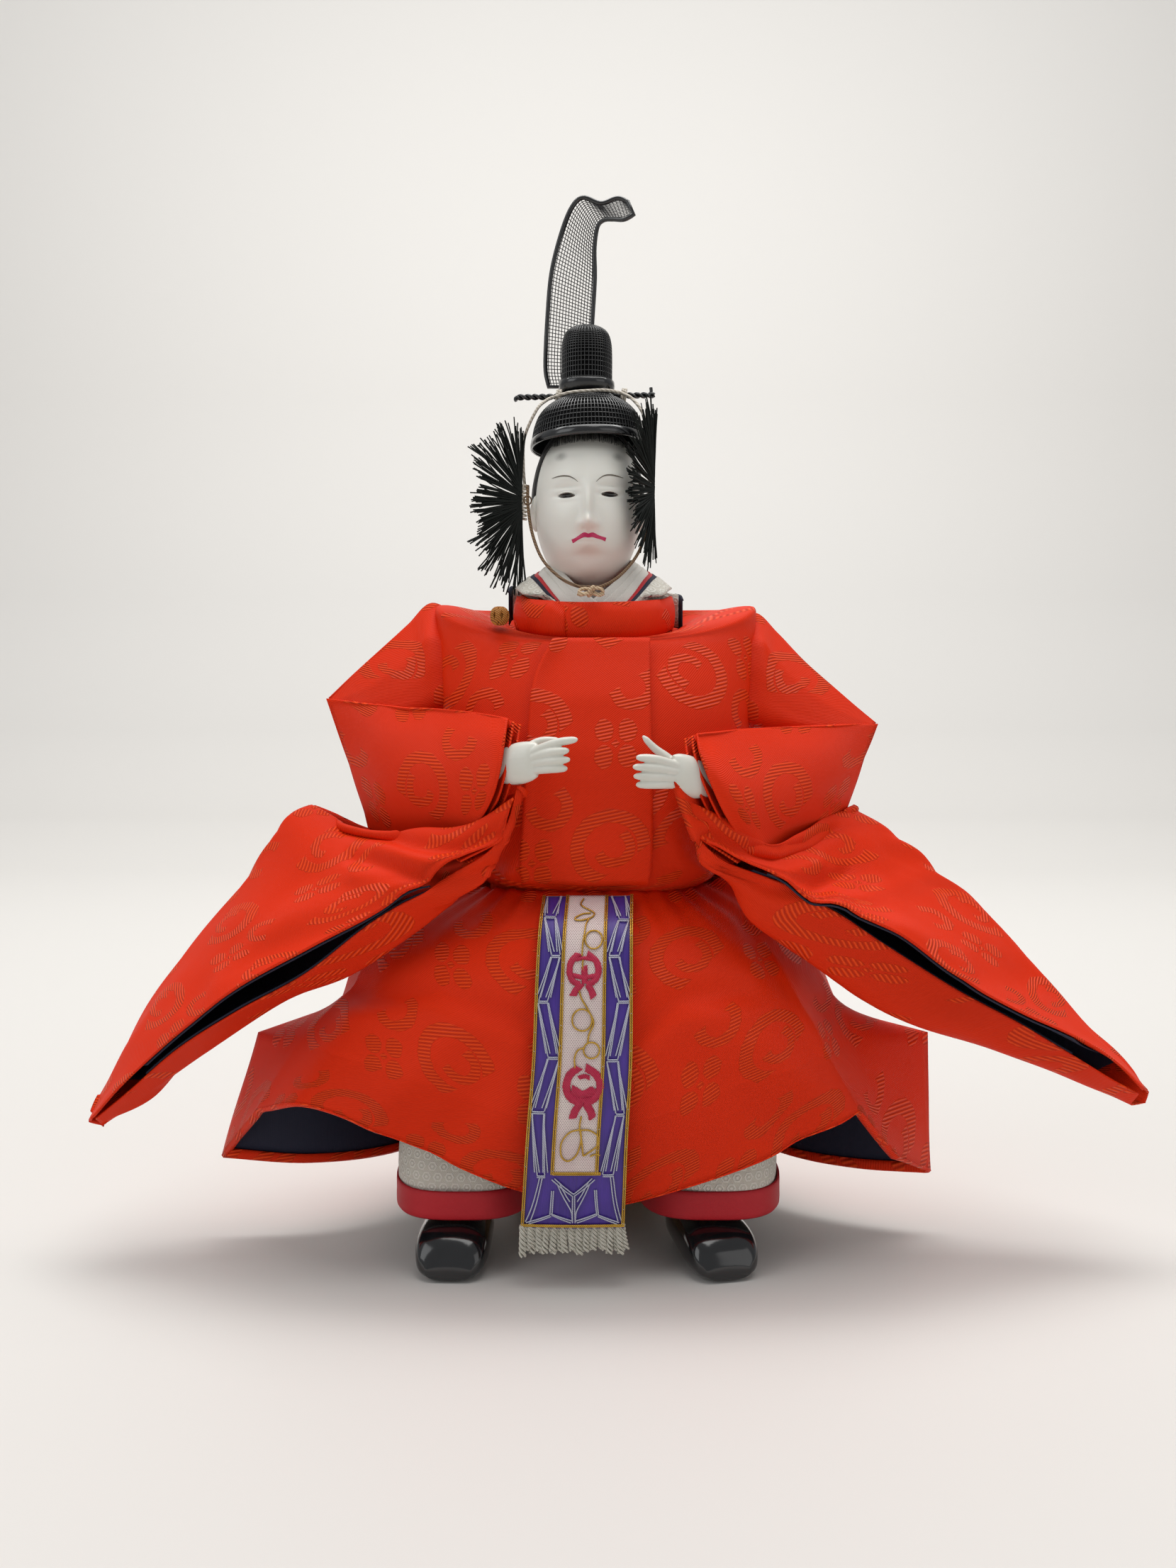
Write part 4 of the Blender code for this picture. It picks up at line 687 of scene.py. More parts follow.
# Sleeves: each section runs round the cloth, in the order that its function says
BAG_RIGHT = [
    [(-18.1, -45, 120.3), (-29.8, -40, 113.7), (-48.0, -27, 111.0), (-63.0, -14, 112.3),
     (-75.9, -3, 116.7), (-51.5, -4, 109.3), (-15.0, -43.4, 121.4), (-16.6, -44.6, 123.0)],
    [(-21.7, -46, 111.6), (-35.6, -42, 107.1), (-54.5, -31, 104.3), (-69.6, -18, 106.7),
     (-82.0, -4, 113.1), (-51.5, -4, 103.6), (-18.6, -43.6, 110.1), (-19.9, -45.2, 112.3)],
    [(-31.8, -45.5, 106.0), (-46.0, -41, 100.1), (-63.4, -31, 97.2), (-77.9, -18, 99.3),
     (-88.8, -4, 103.4), (-63.3, -3, 94.8), (-23.6, -42.6, 100.5), (-28.6, -44.4, 104.1)],
    [(-49.9, -43.5, 93.6), (-63.7, -38, 90.3), (-77.8, -30, 89.1), (-89.9, -18, 89.2),
     (-100.2, -5, 87.7), (-77.0, -2, 83.1), (-40.0, -38, 88.4), (-50.6, -42.4, 91.4)],
    [(-66.6, -41, 84.7), (-77.5, -35, 81.9), (-89.3, -27, 80.6), (-99.5, -17, 79.8),
     (-109.2, -7, 75.8), (-90.6, -2, 73.4), (-58.1, -33.5, 75.9), (-68.7, -38, 77.4)],
    [(-84.6, -38, 74.6), (-93.3, -32, 72.6), (-102.2, -25, 70.6), (-110.3, -17, 69.0),
     (-117.6, -9, 63.6), (-103.6, -4, 63.1), (-76.2, -30, 68.6), (-86.4, -35, 67.5)],
    [(-101.9, -33, 61.6), (-108.6, -28, 60.1), (-115.0, -23, 58.0), (-120.1, -18, 55.8),
     (-124.7, -12.5, 48.8), (-115.5, -9, 50.8), (-97.1, -26, 54.7), (-102.3, -31, 57.2)],
    [(-117.1, -28, 48.3), (-120.6, -25, 46.6), (-123.6, -22, 44.5), (-126.4, -19, 42.7),
     (-128.5, -16, 41.1), (-124.8, -15, 40.1), (-112.1, -22, 42.1), (-116.8, -26.5, 44.8)],
    [(-126.5, -24.5, 38.2), (-127.3, -24, 37.7), (-128.0, -23, 37.1), (-128.6, -22, 36.6),
     (-129.4, -20.5, 36.3), (-129.4, -19.5, 35.1), (-125.4, -20.5, 34.6), (-126.2, -23.5, 37.2)],
]
POUCH_RIGHT = [
    [(-70.6, -1, 145.6), (-67.2, -4, 137.0), (-64.0, -6, 127.5), (-61.2, -6, 118.0),
     (-58.6, -5, 109.9), (-61.4, -3.4, 119.5), (-67.6, -2, 136.5)],
    [(-54.1, -10.5, 143.7), (-52.1, -17, 136.0), (-50.7, -20.5, 126.9), (-49.9, -19, 117.7),
     (-49.4, -12, 108.0), (-48.3, -6, 118.0), (-52.2, -4, 137.5)],
    [(-36.8, -23, 142.3), (-36.5, -30, 134.2), (-35.8, -34, 124.6), (-35.3, -32, 115.8),
     (-35.5, -24, 107.7), (-34.6, -19, 116.8), (-36.5, -18, 131.4)],
    [(-24.1, -36, 140.6), (-23.6, -42, 134.2), (-23.8, -44.5, 125.8), (-26.1, -41, 117.7),
     (-29.6, -33, 110.3), (-24.4, -32, 119.3), (-23.6, -31, 131.6)],
    [(-19.1, -41.6, 139.5), (-19.9, -45, 133.4), (-21.0, -46, 126.7), (-22.8, -44.5, 120.8),
     (-26.3, -39, 114.5), (-21.4, -38, 120.5), (-18.5, -37, 131.6)],
]
UPPER_RIGHT = [
    [(-42.2, 0, 171.4), (-41.7, -10.5, 161.2), (-40.3, -12.5, 151.8), (-38.7, -11, 142.0),
     (-41.4, 9, 142.4), (-43.2, 11, 152.9), (-44.2, 10, 162.8)],
    [(-48.7, 0, 165.8), (-45.7, -10, 156.5), (-44.1, -12.5, 148.1), (-42.8, -11, 140.7),
     (-45.3, 8, 138.4), (-47.3, 9, 150.9), (-49.1, 8, 159.7)],
    [(-55.7, 0, 159.7), (-52.5, -8.5, 152.0), (-50.7, -10.5, 145.3), (-49.5, -10, 140.3),
     (-52.0, 7, 137.6), (-54.5, 7, 147.8), (-55.7, 6, 154.6)],
    [(-63.4, 0, 152.6), (-61.0, -5, 147.4), (-59.2, -7, 143.0), (-58.1, -7, 139.8),
     (-59.9, 4, 137.4), (-61.5, 4, 144.8), (-63.0, 4, 148.7)],
    [(-70.7, 0.5, 145.9), (-69.7, -1.5, 144.7), (-68.8, -2.5, 143.1), (-68.2, -2.5, 141.2),
     (-68.9, 1, 141.3), (-69.6, 1.5, 143.2), (-70.3, 1.5, 144.8)],
]
BAG_LEFT = [
    [(23.9, -45, 120.0), (35.9, -41, 113.8), (45.4, -34, 108.6), (53.9, -25, 110.3),
     (62.2, -14, 113.8), (72.3, -3, 115.8), (55.5, -4, 110.3), (23.2, -43.4, 122.2), (22.0, -44.8, 123.6)],
    [(27.2, -46, 112.5), (38.3, -42, 107.1), (50.0, -33, 103.2), (62.1, -20, 105.9),
     (71.0, -12, 109.3), (80.7, -4, 110.1), (57.5, -4, 102.6), (26.8, -43.6, 111.0),
     (25.6, -45.2, 113.1)],
    [(37.0, -45.5, 105.7), (47.0, -41, 101.0), (59.1, -31, 97.7), (70.3, -20, 99.5),
     (80.8, -12, 102.4), (90.4, -4, 102.8), (67.3, -3, 92.9), (30.0, -42.6, 103.1), (32.0, -44.8, 105.6)],
    [(52.6, -43.5, 98.4), (63.0, -38, 95.1), (73.5, -30, 93.0), (85.0, -20, 93.5), (93.3, -13, 94.5),
     (102.2, -5, 92.5), (81.0, -2, 85.0), (40.2, -38.5, 89.5), (52.4, -42.6, 97.2)],
    [(71.8, -41, 89.7), (80.9, -36, 86.8), (90.1, -28, 84.3), (99.4, -21, 83.2), (107.1, -14, 82.6),
     (114.1, -7, 79.6), (96.6, -2, 73.4), (56.2, -33.5, 78.2), (72.8, -37, 84.2)],
    [(89.9, -38, 77.1), (97.9, -32, 74.3), (105.1, -26, 72.3), (112.3, -21, 70.6),
     (118.6, -15, 69.7), (124.2, -10, 67.6), (111.5, -4, 60.2), (74.6, -30, 65.9), (91.1, -34, 72.6)],
    [(109.1, -33, 66.6), (115.1, -28.5, 63.8), (120.9, -25, 61.7), (126.1, -21, 59.9),
     (130.6, -18, 58.4), (135.2, -13, 55.2), (125.2, -9, 49.8), (102.6, -26, 55.6), (109.8, -30, 62.3)],
    [(129.9, -27.5, 56.0), (132.8, -25, 53.9), (135.2, -23, 52.3), (137.6, -21, 51.0),
     (139.5, -19, 49.8), (141.3, -17.5, 48.3), (136.1, -15, 43.9), (126.8, -22, 46.0),
     (129.9, -26.5, 49.9)],
    [(141.8, -24, 44.9), (142.4, -23.5, 44.9), (143.2, -22.5, 44.6), (144.0, -21.5, 44.2),
     (144.4, -21, 43.7), (145.1, -20, 42.8), (144.8, -19, 40.1), (140.5, -20.5, 40.2),
     (141.0, -23.5, 44.0)],
]
POUCH_LEFT = [
    [(78.5, -1, 138.7), (74.8, -4, 130.9), (72.2, -6, 124.1), (70.0, -6, 117.4), (67.9, -5, 110.7),
     (69.6, -3.6, 118.6), (75.6, -2, 131.6)],
    [(61.8, -10.5, 138.4), (60.3, -17, 130.5), (59.2, -20, 122.4), (58.3, -18, 114.0),
     (57.8, -11, 106.6), (55.1, -6, 118.0), (60.2, -4, 133.6)],
    [(43.3, -23, 137.4), (42.7, -32.5, 128.9), (43.6, -35.6, 120.3), (45.7, -32, 112.3),
     (48.3, -24, 105.4), (42.1, -19, 116.8), (43.1, -18, 131.4)],
    [(30.8, -36, 136.6), (31.6, -43, 130.0), (34.4, -45.2, 122.0), (38.6, -41, 114.3),
     (43.1, -33, 107.1), (33.4, -32, 119.3), (30.8, -31, 131.6)],
    [(26.2, -41.6, 136.1), (26.6, -45, 131.4), (28.9, -46, 124.2), (32.4, -44.5, 116.9),
     (37.1, -39, 110.0), (29.3, -38, 119.6), (25.1, -37, 129.9)],
]
UPPER_LEFT = [
    [(45.1, 0, 168.9), (45.2, -10.5, 160.2), (44.6, -12.5, 149.9), (43.0, -11, 138.1),
     (45.6, 9, 138.2), (47.4, 11, 151.0), (48.0, 10, 161.8)],
    [(51.6, 0, 163.3), (49.8, -10, 154.7), (48.7, -12.5, 146.2), (47.7, -11, 136.9),
     (50.4, 8, 134.0), (51.9, 9, 147.9), (52.5, 8, 156.7)],
    [(59.7, 0, 154.7), (57.2, -8.5, 147.8), (55.8, -10.5, 141.6), (54.8, -10, 136.6),
     (57.5, 7, 132.8), (59.1, 7, 142.9), (60.0, 6, 149.8)],
    [(69.8, 0, 145.9), (67.7, -5, 141.9), (66.2, -7, 138.5), (64.7, -7, 136.2), (66.8, 4, 132.6),
     (68.3, 4, 139.4), (69.5, 4, 142.9)],
    [(78.5, 0.5, 139.1), (77.4, -1.5, 138.5), (76.6, -2.5, 137.6), (75.9, -2.5, 136.2),
     (76.7, 1, 136.2), (77.5, 1.5, 137.6), (78.1, 1.5, 138.6)],
]


def sleeve(side, upper, pouch, bag, ridges, inside):
    """One sleeve: the flat upper arm, the cuff pouch bent forward, and the long hanging bag."""
    inward = 1 if side == "right" else -1
    rests_on = ["arm_wire", "hand_" + side]
    hidden = [(x + 8.0 * inward, y * 0.85, z - max(0.0, z - 150) * 0.2) for x, y, z in upper[0]]
    for part, sections, across, along, sharp, size, height, seed, shift, turn in (
            ("arm", [hidden] + upper, 57, 10, (1, 7), 26, 0.2, 11, (8, 4), 0.9),
            ("cuff", pouch, 90, 12, (), 24, 0.25, 5, (14, 2), 1.45)):
        rows = patch([section + [section[0]] for section in sections], across, along, sharp)
        middle = tuple(rows.reshape(-1, 3).mean(axis=0))
        rows = pushed(rows, ripple(rows, size, height, seed), middle)
        sheet_piece("sleeve_%s_%s" % (side, part), rows, silk, middle, rests_on, "draped", thick=0.5,
                    shift=shift, turn=turn)

    rim = np.array(bag[0], float)
    tucked = rim.copy()
    tucked[:5] += (0, 3.2, -5.0)
    rolled = rim.copy()
    rolled[:5] += (0, 1.8, -0.7)
    sections = [tucked.tolist(), rolled.tolist()] + bag
    rows = patch(sections, 120, 10, sharp=(4, 6))
    front = np.clip((-4.0 - rows[..., 1]) / 6.0, 0, 1)
    rows = pushed(rows, crease(rows, ridges) * front + ripple(rows, 30, 0.28, 3), inside)
    sheet_piece("sleeve_%s_bag" % side, rows, silk, inside, rests_on, "draped", "sleeve_" + side,
                shift=(2, 5), turn=0.62)

    # the navy lining lies inside the bag, from a little inside its mouth to near its lower corner
    lining = pushed(rows[44:-14], -1.0, inside)
    sheet_piece("sleeve_%s_lining_cloth" % side, lining, navy, inside, ["sleeve_%s_bag" % side], "draped",
                "sleeve_lining_" + side, slot="navy", thick=LINING)

    # the robe worn below shows as two narrow folds along the mouth of the cuff
    mouth = evenly(pouch[-1][:5] + [bag[1][0], bag[2][0]], 60)
    for k in (1, 2):
        line = mouth + (inward * 1.5 * k, 1.3 * k, -0.7 * k)
        deep = np.stack([line, line + (-inward * 0.2, 0.5, 0), line + (-inward * 1.2, 2.6, 0.3),
                         line + (-inward * 2.2, 5.0, 0.6)], 1)
        behind = tuple(line.mean(axis=0) + (-inward * 3, 4, 0))
        sheet_piece("sleeve_%s_fold_%d" % (side, k), deep, silk, behind,
                    ["sleeve_%s_cuff" % side], "folded", thick=0.5, shift=(k * 5, 3))


sleeve("right", UPPER_RIGHT, POUCH_RIGHT, BAG_RIGHT, [
    ([(-64.0, 112.0), (-54.0, 111.0), (-43.0, 108.6), (-31.0, 108.6), (-21.0, 113.0)], 1.7, -1.9),
    ([(-52.0, 107.0), (-38.0, 104.6), (-24.0, 108.6)], 1.9, 1.1),
    ([(-60.0, 105.0), (-47.0, 103.2), (-35.4, 100.6), (-23.0, 103.0)], 1.7, -1.5),
    ([(-57.0, 100.0), (-45.0, 98.4), (-34.0, 96.4)], 2.2, 0.8),
    ([(-70.0, 101.0), (-86.0, 86.0), (-101.0, 68.0)], 2.6, -0.6),
    ([(-40.4, 109.6), (-57.9, 100.8), (-75.5, 90.3), (-93.1, 76.2)], 5.0, 0.9),
], (-70, -16, 88))
sleeve("left", UPPER_LEFT, POUCH_LEFT, BAG_LEFT, [
    ([(64.0, 111.0), (56.0, 107.6), (46.0, 106.2), (36.0, 108.6), (27.0, 114.0)], 1.7, -1.9),
    ([(58.0, 103.0), (48.0, 101.4), (38.0, 103.8), (30.0, 108.6)], 1.9, 1.1),
    ([(66.0, 100.6), (54.0, 97.4), (43.0, 98.6), (33.0, 103.6)], 1.7, -1.5),
    ([(62.0, 94.4), (50.0, 94.0), (41.0, 96.4)], 2.2, 0.8),
    ([(78.0, 97.0), (96.0, 84.0), (114.0, 71.0)], 2.6, -0.6),
    ([(73.0, 107.7), (78.5, 90.5), (93.0, 79.4)], 4.5, 1.0),
], (82, -16, 88))


# Lower robe, one control line for each place round the hem, from the waist down to the hem
SKIRT_RIGHT = [
    [(0, -27, 96.6), (0, -40, 84), (0, -43.5, 66), (-1, -41.5, 42), (-2, -37.4, 21.5)],
    [(-14, -26, 96.6), (-16, -40, 84), (-18, -43.5, 66), (-19, -41.5, 44), (-20, -38.0, 25)],
    [(-23, -20, 96.4), (-32, -34, 85), (-38, -41, 70), (-43, -41.5, 53), (-47.6, -39.5, 37.9)],
    [(-28, -13, 96.2), (-44, -23, 85), (-53, -32, 70), (-61, -37, 57), (-68.8, -40.2, 46.1)],
    [(-36, -5, 97.5), (-51, -13, 86), (-62, -19, 70), (-74, -23, 57), (-84.9, -25.0, 40.6)],
    [(-36, 1, 98.0), (-59, -4, 81), (-67.2, -6, 63.6), (-88.8, -6.6, 55.8), (-99.4, -4.4, 21.8)],
    [(-32, 7, 97.5), (-49, 8, 85), (-62, 4, 66), (-74, 1, 48), (-76, -0.6, 19.2)],
    [(-28, 14, 96.2), (-43, 22, 84), (-53, 22, 64), (-58, 18, 42), (-56, 11.5, 17.6)],
    [(-17, 21, 96.4), (-29, 35, 84), (-36, 43, 64), (-38, 45, 42), (-36, 40, 17.0)],
    [(0, 24, 96.6), (0, 41, 84), (0, 51, 64), (0, 55, 42), (0, 53, 17.0)],
]
SKIRT_LEFT = [
    [(14, -26, 96.6), (14, -40, 84), (13, -43.5, 66), (12, -41.5, 42), (10, -37.4, 20.6)],
    [(24, -20, 96.4), (32, -34, 85), (38, -41, 70), (40, -41.5, 52), (40, -39.0, 31)],
    [(29, -13, 96.2), (44, -25, 85), (52, -32, 72), (59.5, -34, 57), (67.3, -31.5, 42.0)],
    [(39, -5, 98.0), (52, -11, 86), (63, -14.5, 70), (69.6, -17, 55.5), (80.5, -20.6, 26.8)],
    [(37.5, 1, 98.0), (58, -2.6, 82), (68.8, -3.2, 60.4), (92.4, -2.2, 54.6), (94.0, -2.6, 17.0)],
    [(34, 7, 97.5), (51, 8, 86), (62, 6, 66), (74, 6, 48), (74, 5.0, 15.8)],
    [(29, 14, 96.2), (45, 22, 84), (54, 22, 64), (59, 19, 42), (57, 17, 15.6)],
    [(18, 21, 96.4), (30, 35, 84), (37, 43, 64), (39, 45, 42), (37, 42, 16.4)],
]
SKIRT_INSIDE = (0, 0, 60)


def lower_robe():
    """The lower robe with its side flaps, its folded hem, and the navy lining inside it."""
    lines = SKIRT_RIGHT[::-1] + SKIRT_LEFT
    flaps = (SKIRT_RIGHT[5], SKIRT_LEFT[4])
    down = [curve(line, 14, (2, 3) if line in flaps else ()) for line in lines]
    folds = [lines.index(line) for line in (*SKIRT_RIGHT[4:6], *SKIRT_LEFT[2:5])]
    rows = []
    for level in range(len(down[0])):
        loop = [line[level] for line in down] + [down[0][level]]
        rows.append(curve(loop, 12, folds)[:-1])
    rows = np.array(rows)
    front = np.clip((-10.0 - rows[..., 1]) / 14.0, 0, 1)
    folded = crease(rows, [
        ([(-60.4, 70.2), (-37.7, 74.2), (-15.4, 67.2)], 3.4, -1.5),
        ([(-60.0, 66.0), (-37.7, 70.0), (-16.0, 62.0)], 3.0, 0.9),
        ([(37.0, 73.6), (22.4, 72.4), (12.4, 65.5)], 3.4, -1.3),
        ([(38.0, 69.0), (24.4, 68.0), (14.4, 60.5)], 3.0, 0.9),
        ([(40.8, 87.3), (51.5, 71.3), (62.2, 64.7)], 3.0, -1.1),
        ([(30.0, 66.0), (46.0, 58.0), (60.0, 44.0), (70.0, 30.0)], 5.5, 1.6),
        ([(26.0, 57.0), (40.0, 49.0), (54.0, 33.0)], 4.5, -1.3),
        ([(-34.0, 62.0), (-48.0, 48.0), (-58.0, 32.0)], 5.0, 1.3),
        ([(-26.0, 50.0), (-36.0, 36.0), (-44.0, 24.0)], 4.5, -1.1),
    ]) * front
    waist = np.exp(-((rows[..., 2] - 95) / 9.0) ** 2)
    around = np.arctan2(rows[..., 0], -rows[..., 1])
    gathers = waist * np.sin(around * 34) * 0.35
    outer = pushed(rows, folded + gathers + ripple(rows, 44, 0.4, 21), SKIRT_INSIDE, wrap=True)
    sheet_piece("robe_skirt_cloth", outer, silk, SKIRT_INSIDE, ["waist_belt", "seat_block"], "hung",
                "robe_skirt", wrap=True, shift=(4, 6))

    # the hem is turned in, and the lining ends a little above it
    lining = pushed(outer, -1.1, SKIRT_INSIDE, wrap=True)[20:-1]
    sheet_piece("skirt_lining_cloth", lining, navy, SKIRT_INSIDE, ["robe_skirt_cloth"], "hung",
                "skirt_lining", slot="navy", thick=LINING, wrap=True)
    deeper = pushed(outer, -1.75, SKIRT_INSIDE, wrap=True)
    hem = np.stack([outer[-1], outer[-1] * 0.6 + deeper[-1] * 0.4 + (0, 0, -0.45), deeper[-1],
                    deeper[-2] * 0.5 + deeper[-1] * 0.5, deeper[-2]], 0)
    sheet_piece("robe_skirt_hem", hem, silk, SKIRT_INSIDE, ["robe_skirt_cloth"], "folded", thick=0.3,
                wrap=True)


lower_robe()


def hakama_rows(side, grow=0.0):
    """Wide trouser leg: a flattened tube, its front lower edge a little lower than the sides."""
    outer, inner = (-50.3, -14.6) if side < 0 else (50.4, 13.4)
    centre, half = (outer + inner) / 2, abs(outer - inner) / 2
    fine = curve([(64.7, 4.0, 18, 8), (44, 1.5, 24, 11), (30, 0.3, 27, 13), (22, 0.0, 28.5, 13.5),
                  (13.6, 0.4, 28.5, 13.5)], 8)
    return np.array([
        ring((centre, -4, z), (1, 0, 0), (0, -1, 0), half - narrow + grow, front - 4 + grow, 140, 3.0,
             back + 4 + grow) for z, narrow, front, back in fine])


def trousers():
    """Cream brocade trouser legs, each with a crimson band sewn round its hem."""
    for side, name in ((-1, "right"), (1, "left")):
        inside = (side * 32, -4, 30)
        rows = hakama_rows(side)
        around = np.arctan2(rows[..., 0] - side * 32, -rows[..., 1])
        low = np.clip((60 - rows[..., 2]) / 40, 0, 1)
        rows = pushed(rows, low * np.sin(around * 5 + side) * 0.35 + ripple(rows, 26, 0.2, 31), inside,
                      wrap=True)
        sheet_piece("hakama_%s_cloth" % name, rows, cream, inside, ["seat_block"], "hung", "hakama_" + name,
                    slot="brocade", wrap=True)
        last = hakama_rows(side, 0.9)[-1]
        profile = ((6.9, -0.35), (6.6, 0.05), (5.5, 0.12), (3.5, 0.1), (1.2, 0.15), (0.0, 0.1),
                   (-0.5, -0.3))
        away = unit(last - last.mean(axis=0))
        band = np.array([last + away * out + (0, 0, rise) for rise, out in profile])
        sheet_piece("hakama_hem_%s_cloth" % name, band, crimson, inside, ["hakama_%s_cloth" % name],
                    "gathered", "hakama_hem_" + name, slot="crimson", thick=0.5, wrap=True)


trousers()


def lapel(name, node, side, start, width, lift, finish, slot):
    """One side of a collar layer, laid round the neck from the back to the crossing in front.

    start is how far its free edge lies from the piping's edge, away from the neck, and width how
    far the cloth runs on from there.
    """
    edge = curve([
        (1.5, 12.0, 181.5), (-6.5, 10.5, 181.2), (-12.0, 4.0, 180.2), (-12.9, -3.0, 178.4),
        (-11.4, -8.6, 176.0), (-7.5, -13.6, 170.4), (-2.6, -15.4, 164.8), (3.4, -16.0, 159.0)], 10)
    if side > 0:
        edge = edge * (-1, 1, 1) + (3.0, 0.35, 0.2)
    away = unit((edge - (1.5, -1.0, 0.0)) * (1, 1, 0))
    behind = np.clip((edge[:, 1:2] + 4.0) / 12.0, 0, 1)
    slope = away * (0.80 - 0.35 * behind) - np.array([0, 0, 1]) * (0.60 + 0.3 * behind)
    normal = away * (0.60 + 0.3 * behind) + np.array([0, 0, 1]) * (0.80 - 0.35 * behind)
    tucked = np.clip((edge[:, 2:] - 161.0) / 10.0, 0.05, 1.0)
    slope, normal = slope * tucked, normal * (0.3 + 0.7 * tucked)
    if start < 0:
        # the white folds run from the piping to the V under the chin
        deep = curve([
            (1.5, 9.0, 184.0), (-5.5, 7.5, 183.5), (-9.0, 2.5, 183.2), (-8.8, -2.4, 181.8),
            (-6.9, -7.6, 179.2), (-3.0, -12.2, 174.8), (2.2, -15.2, 170.4), (7.0, -15.8, 166.0)], 10)
        if side > 0:
            deep = deep * (-1, 1, 1) + (3.0, 0.35, 0.2)
        slope = (edge - deep) / 5.6
    rows = np.array([edge + slope * (start + width * share) + normal * (lift + fold) for share, fold in (
        (0.04, -0.55), (0.0, -0.2), (0.03, 0.05), (0.2, 0.12), (0.5, 0.1), (0.8, 0.02), (1.0, -0.1))])
    rows = pushed(rows, ripple(rows, 7, 0.05, 2), (1.5, 0, 165))
    # low down it has to stay inside the neckband
    above = rows[..., 2:] - 171.5 - np.clip(rows[..., 1:2] / 3, 0, 4.5)
    room = 0.9 + lift * 0.03 + np.clip(above / 4.0, 0, 1) * 2.0
    across = (rows - (BODY_X, -2.0, 0.0)) * (1, 1, 0)
    far = np.linalg.norm(across / (18.6, 17.4, 1.0), axis=2, keepdims=True)
    rows = rows - across * (1 - np.minimum(1.0, room / np.maximum(far, 0.01)))
    nodes = [node] if node and side < 0 else []
    sheet_piece(name, rows, finish, (1.5, 0, 165), ["neck_peg"], "folded", *nodes, slot=slot, thick=0.3,
                shift=(side * 2, 1))


def collars():
    """White inner V folds, red and navy piping, and the cream brocade collar outside them."""
    for side, name in ((1, "left"), (-1, "right")):
        over = 0.12 * (side < 0)
        for layer, node, start, width, lift, finish, slot in (
                ("white_%s_0", None, -5.6, 2.6, 0.0, white_cloth, "white_cloth"),
                ("white_%s_1", None, -3.9, 2.6, 0.22, white_cloth, "white_cloth"),
                ("white_%s_2", "inner_collar", -2.2, 2.9, 0.44, white_cloth, "white_cloth"),
                ("red_%s", "collar_red_piping", 0.0, 5.0, 0.8, crimson, "crimson"),
                ("navy_%s", "collar_navy_piping", 1.1, 4.6, 1.15, navy, "navy"),
                ("cream_%s", "collar_cream", 2.3, 5.2, 1.5, cream, "brocade")):
            lapel("collar_" + layer % name, node, side, start, width, over + lift, finish, slot)
    # the collar of the robe below, standing up behind the neckband
    for name, finish, slot, spots in (
            ("cream_right", cream, "brocade",
             [(-20.4, 3.0, 176.0), (-17.4, 5.0, 177.0), (-13.5, 6.5, 176.6)]),
            ("navy_right", navy, "navy", [(-21.6, 1.5, 174.6), (-21.0, 3.2, 176.0), (-19.6, 4.4, 176.2)]),
            ("cream_left", cream, "brocade", [(15.0, 6.5, 176.4), (20.0, 5.0, 175.2), (24.6, 2.6, 174.0)]),
            ("navy_left", navy, "navy", [(23.6, 4.6, 174.2), (25.2, 3.0, 173.6), (25.7, 0.8, 172.4)])):
        top = curve(spots, 12)
        rows = np.array([top + (0, y, z) for y, z in (
            (0.2, -0.3), (0, 0), (-0.3, -0.2), (-0.4, -2.5), (-0.3, -5.5), (-0.2, -9.0))])
        sheet_piece("under_collar_" + name, rows, finish, (2, 30, 170), ["robe_body_cloth"], "folded",
                    slot=slot, thick=0.35)


def band_line(angle, rise, grow):
    """The round neckband at an angle from its front, this high in it and this far out."""
    c = np.cos(angle)
    x = BODY_X + (20.6 + grow) * np.sin(angle)
    y = -2.0 - (np.where(c > 0, 19.4, 18.2) + grow) * c
    dip = np.where(c > 0, 2.6, -4.2) * np.abs(c) ** 1.5
    corner = 0.9 * np.exp(-((np.abs(angle) - 1.45) / 0.3) ** 2)
    return np.stack([x, y, 162.8 + rise - dip + corner], 1)


def neckband():
    """The round red neckband: a stiff folded ring with its end lapped over at the doll's right."""
    angle = np.linspace(-math.pi, math.pi, 181)
    rows = np.array([band_line(angle, rise, grow) for rise, grow in (
        (7.0, -1.7), (9.0, -1.5), (9.4, -0.7), (9.1, 0.0), (6.6, 0.75), (4.2, 0.95), (1.8, 0.7),
        (0.1, 0.05), (-0.2, -0.6))])
    inside = (2, -2, 166)
    rows = pushed(rows, ripple(rows, 22, 0.2, 8), inside)
    sheet_piece("robe_neckband_cloth", rows, silk, inside, ["robe_body_cloth"], "folded", "robe_neckband",
                shift=(0, 3), turn=0.35)
    part = np.radians(np.linspace(-80, -22, 40))
    end = np.clip((np.arange(40) - 33) / 6, 0, 1)
    lap = np.array([
        band_line(part, rise - 1.6 * end * (rise > 5), grow - 0.9 * end ** 2) for rise, grow in (
            (8.9, 0.4), (9.3, 0.9), (6.6, 1.7), (4.2, 1.9), (1.8, 1.65), (-0.3, 0.9))])
    sheet_piece("robe_neckband_lap", lap, silk, inside, ["robe_neckband_cloth"], "folded", thick=0.5,
                shift=(6, 1), turn=0.5)


collars()
neckband()


HEAD_CENTRE = np.array([0.0, -1.0, 196.5])
HEAD_HALF = np.array([14.3, 17.0, 21.75])
MISSED_FACE_Y = -14.0
BEHIND_FACE = (0, 0, 196)
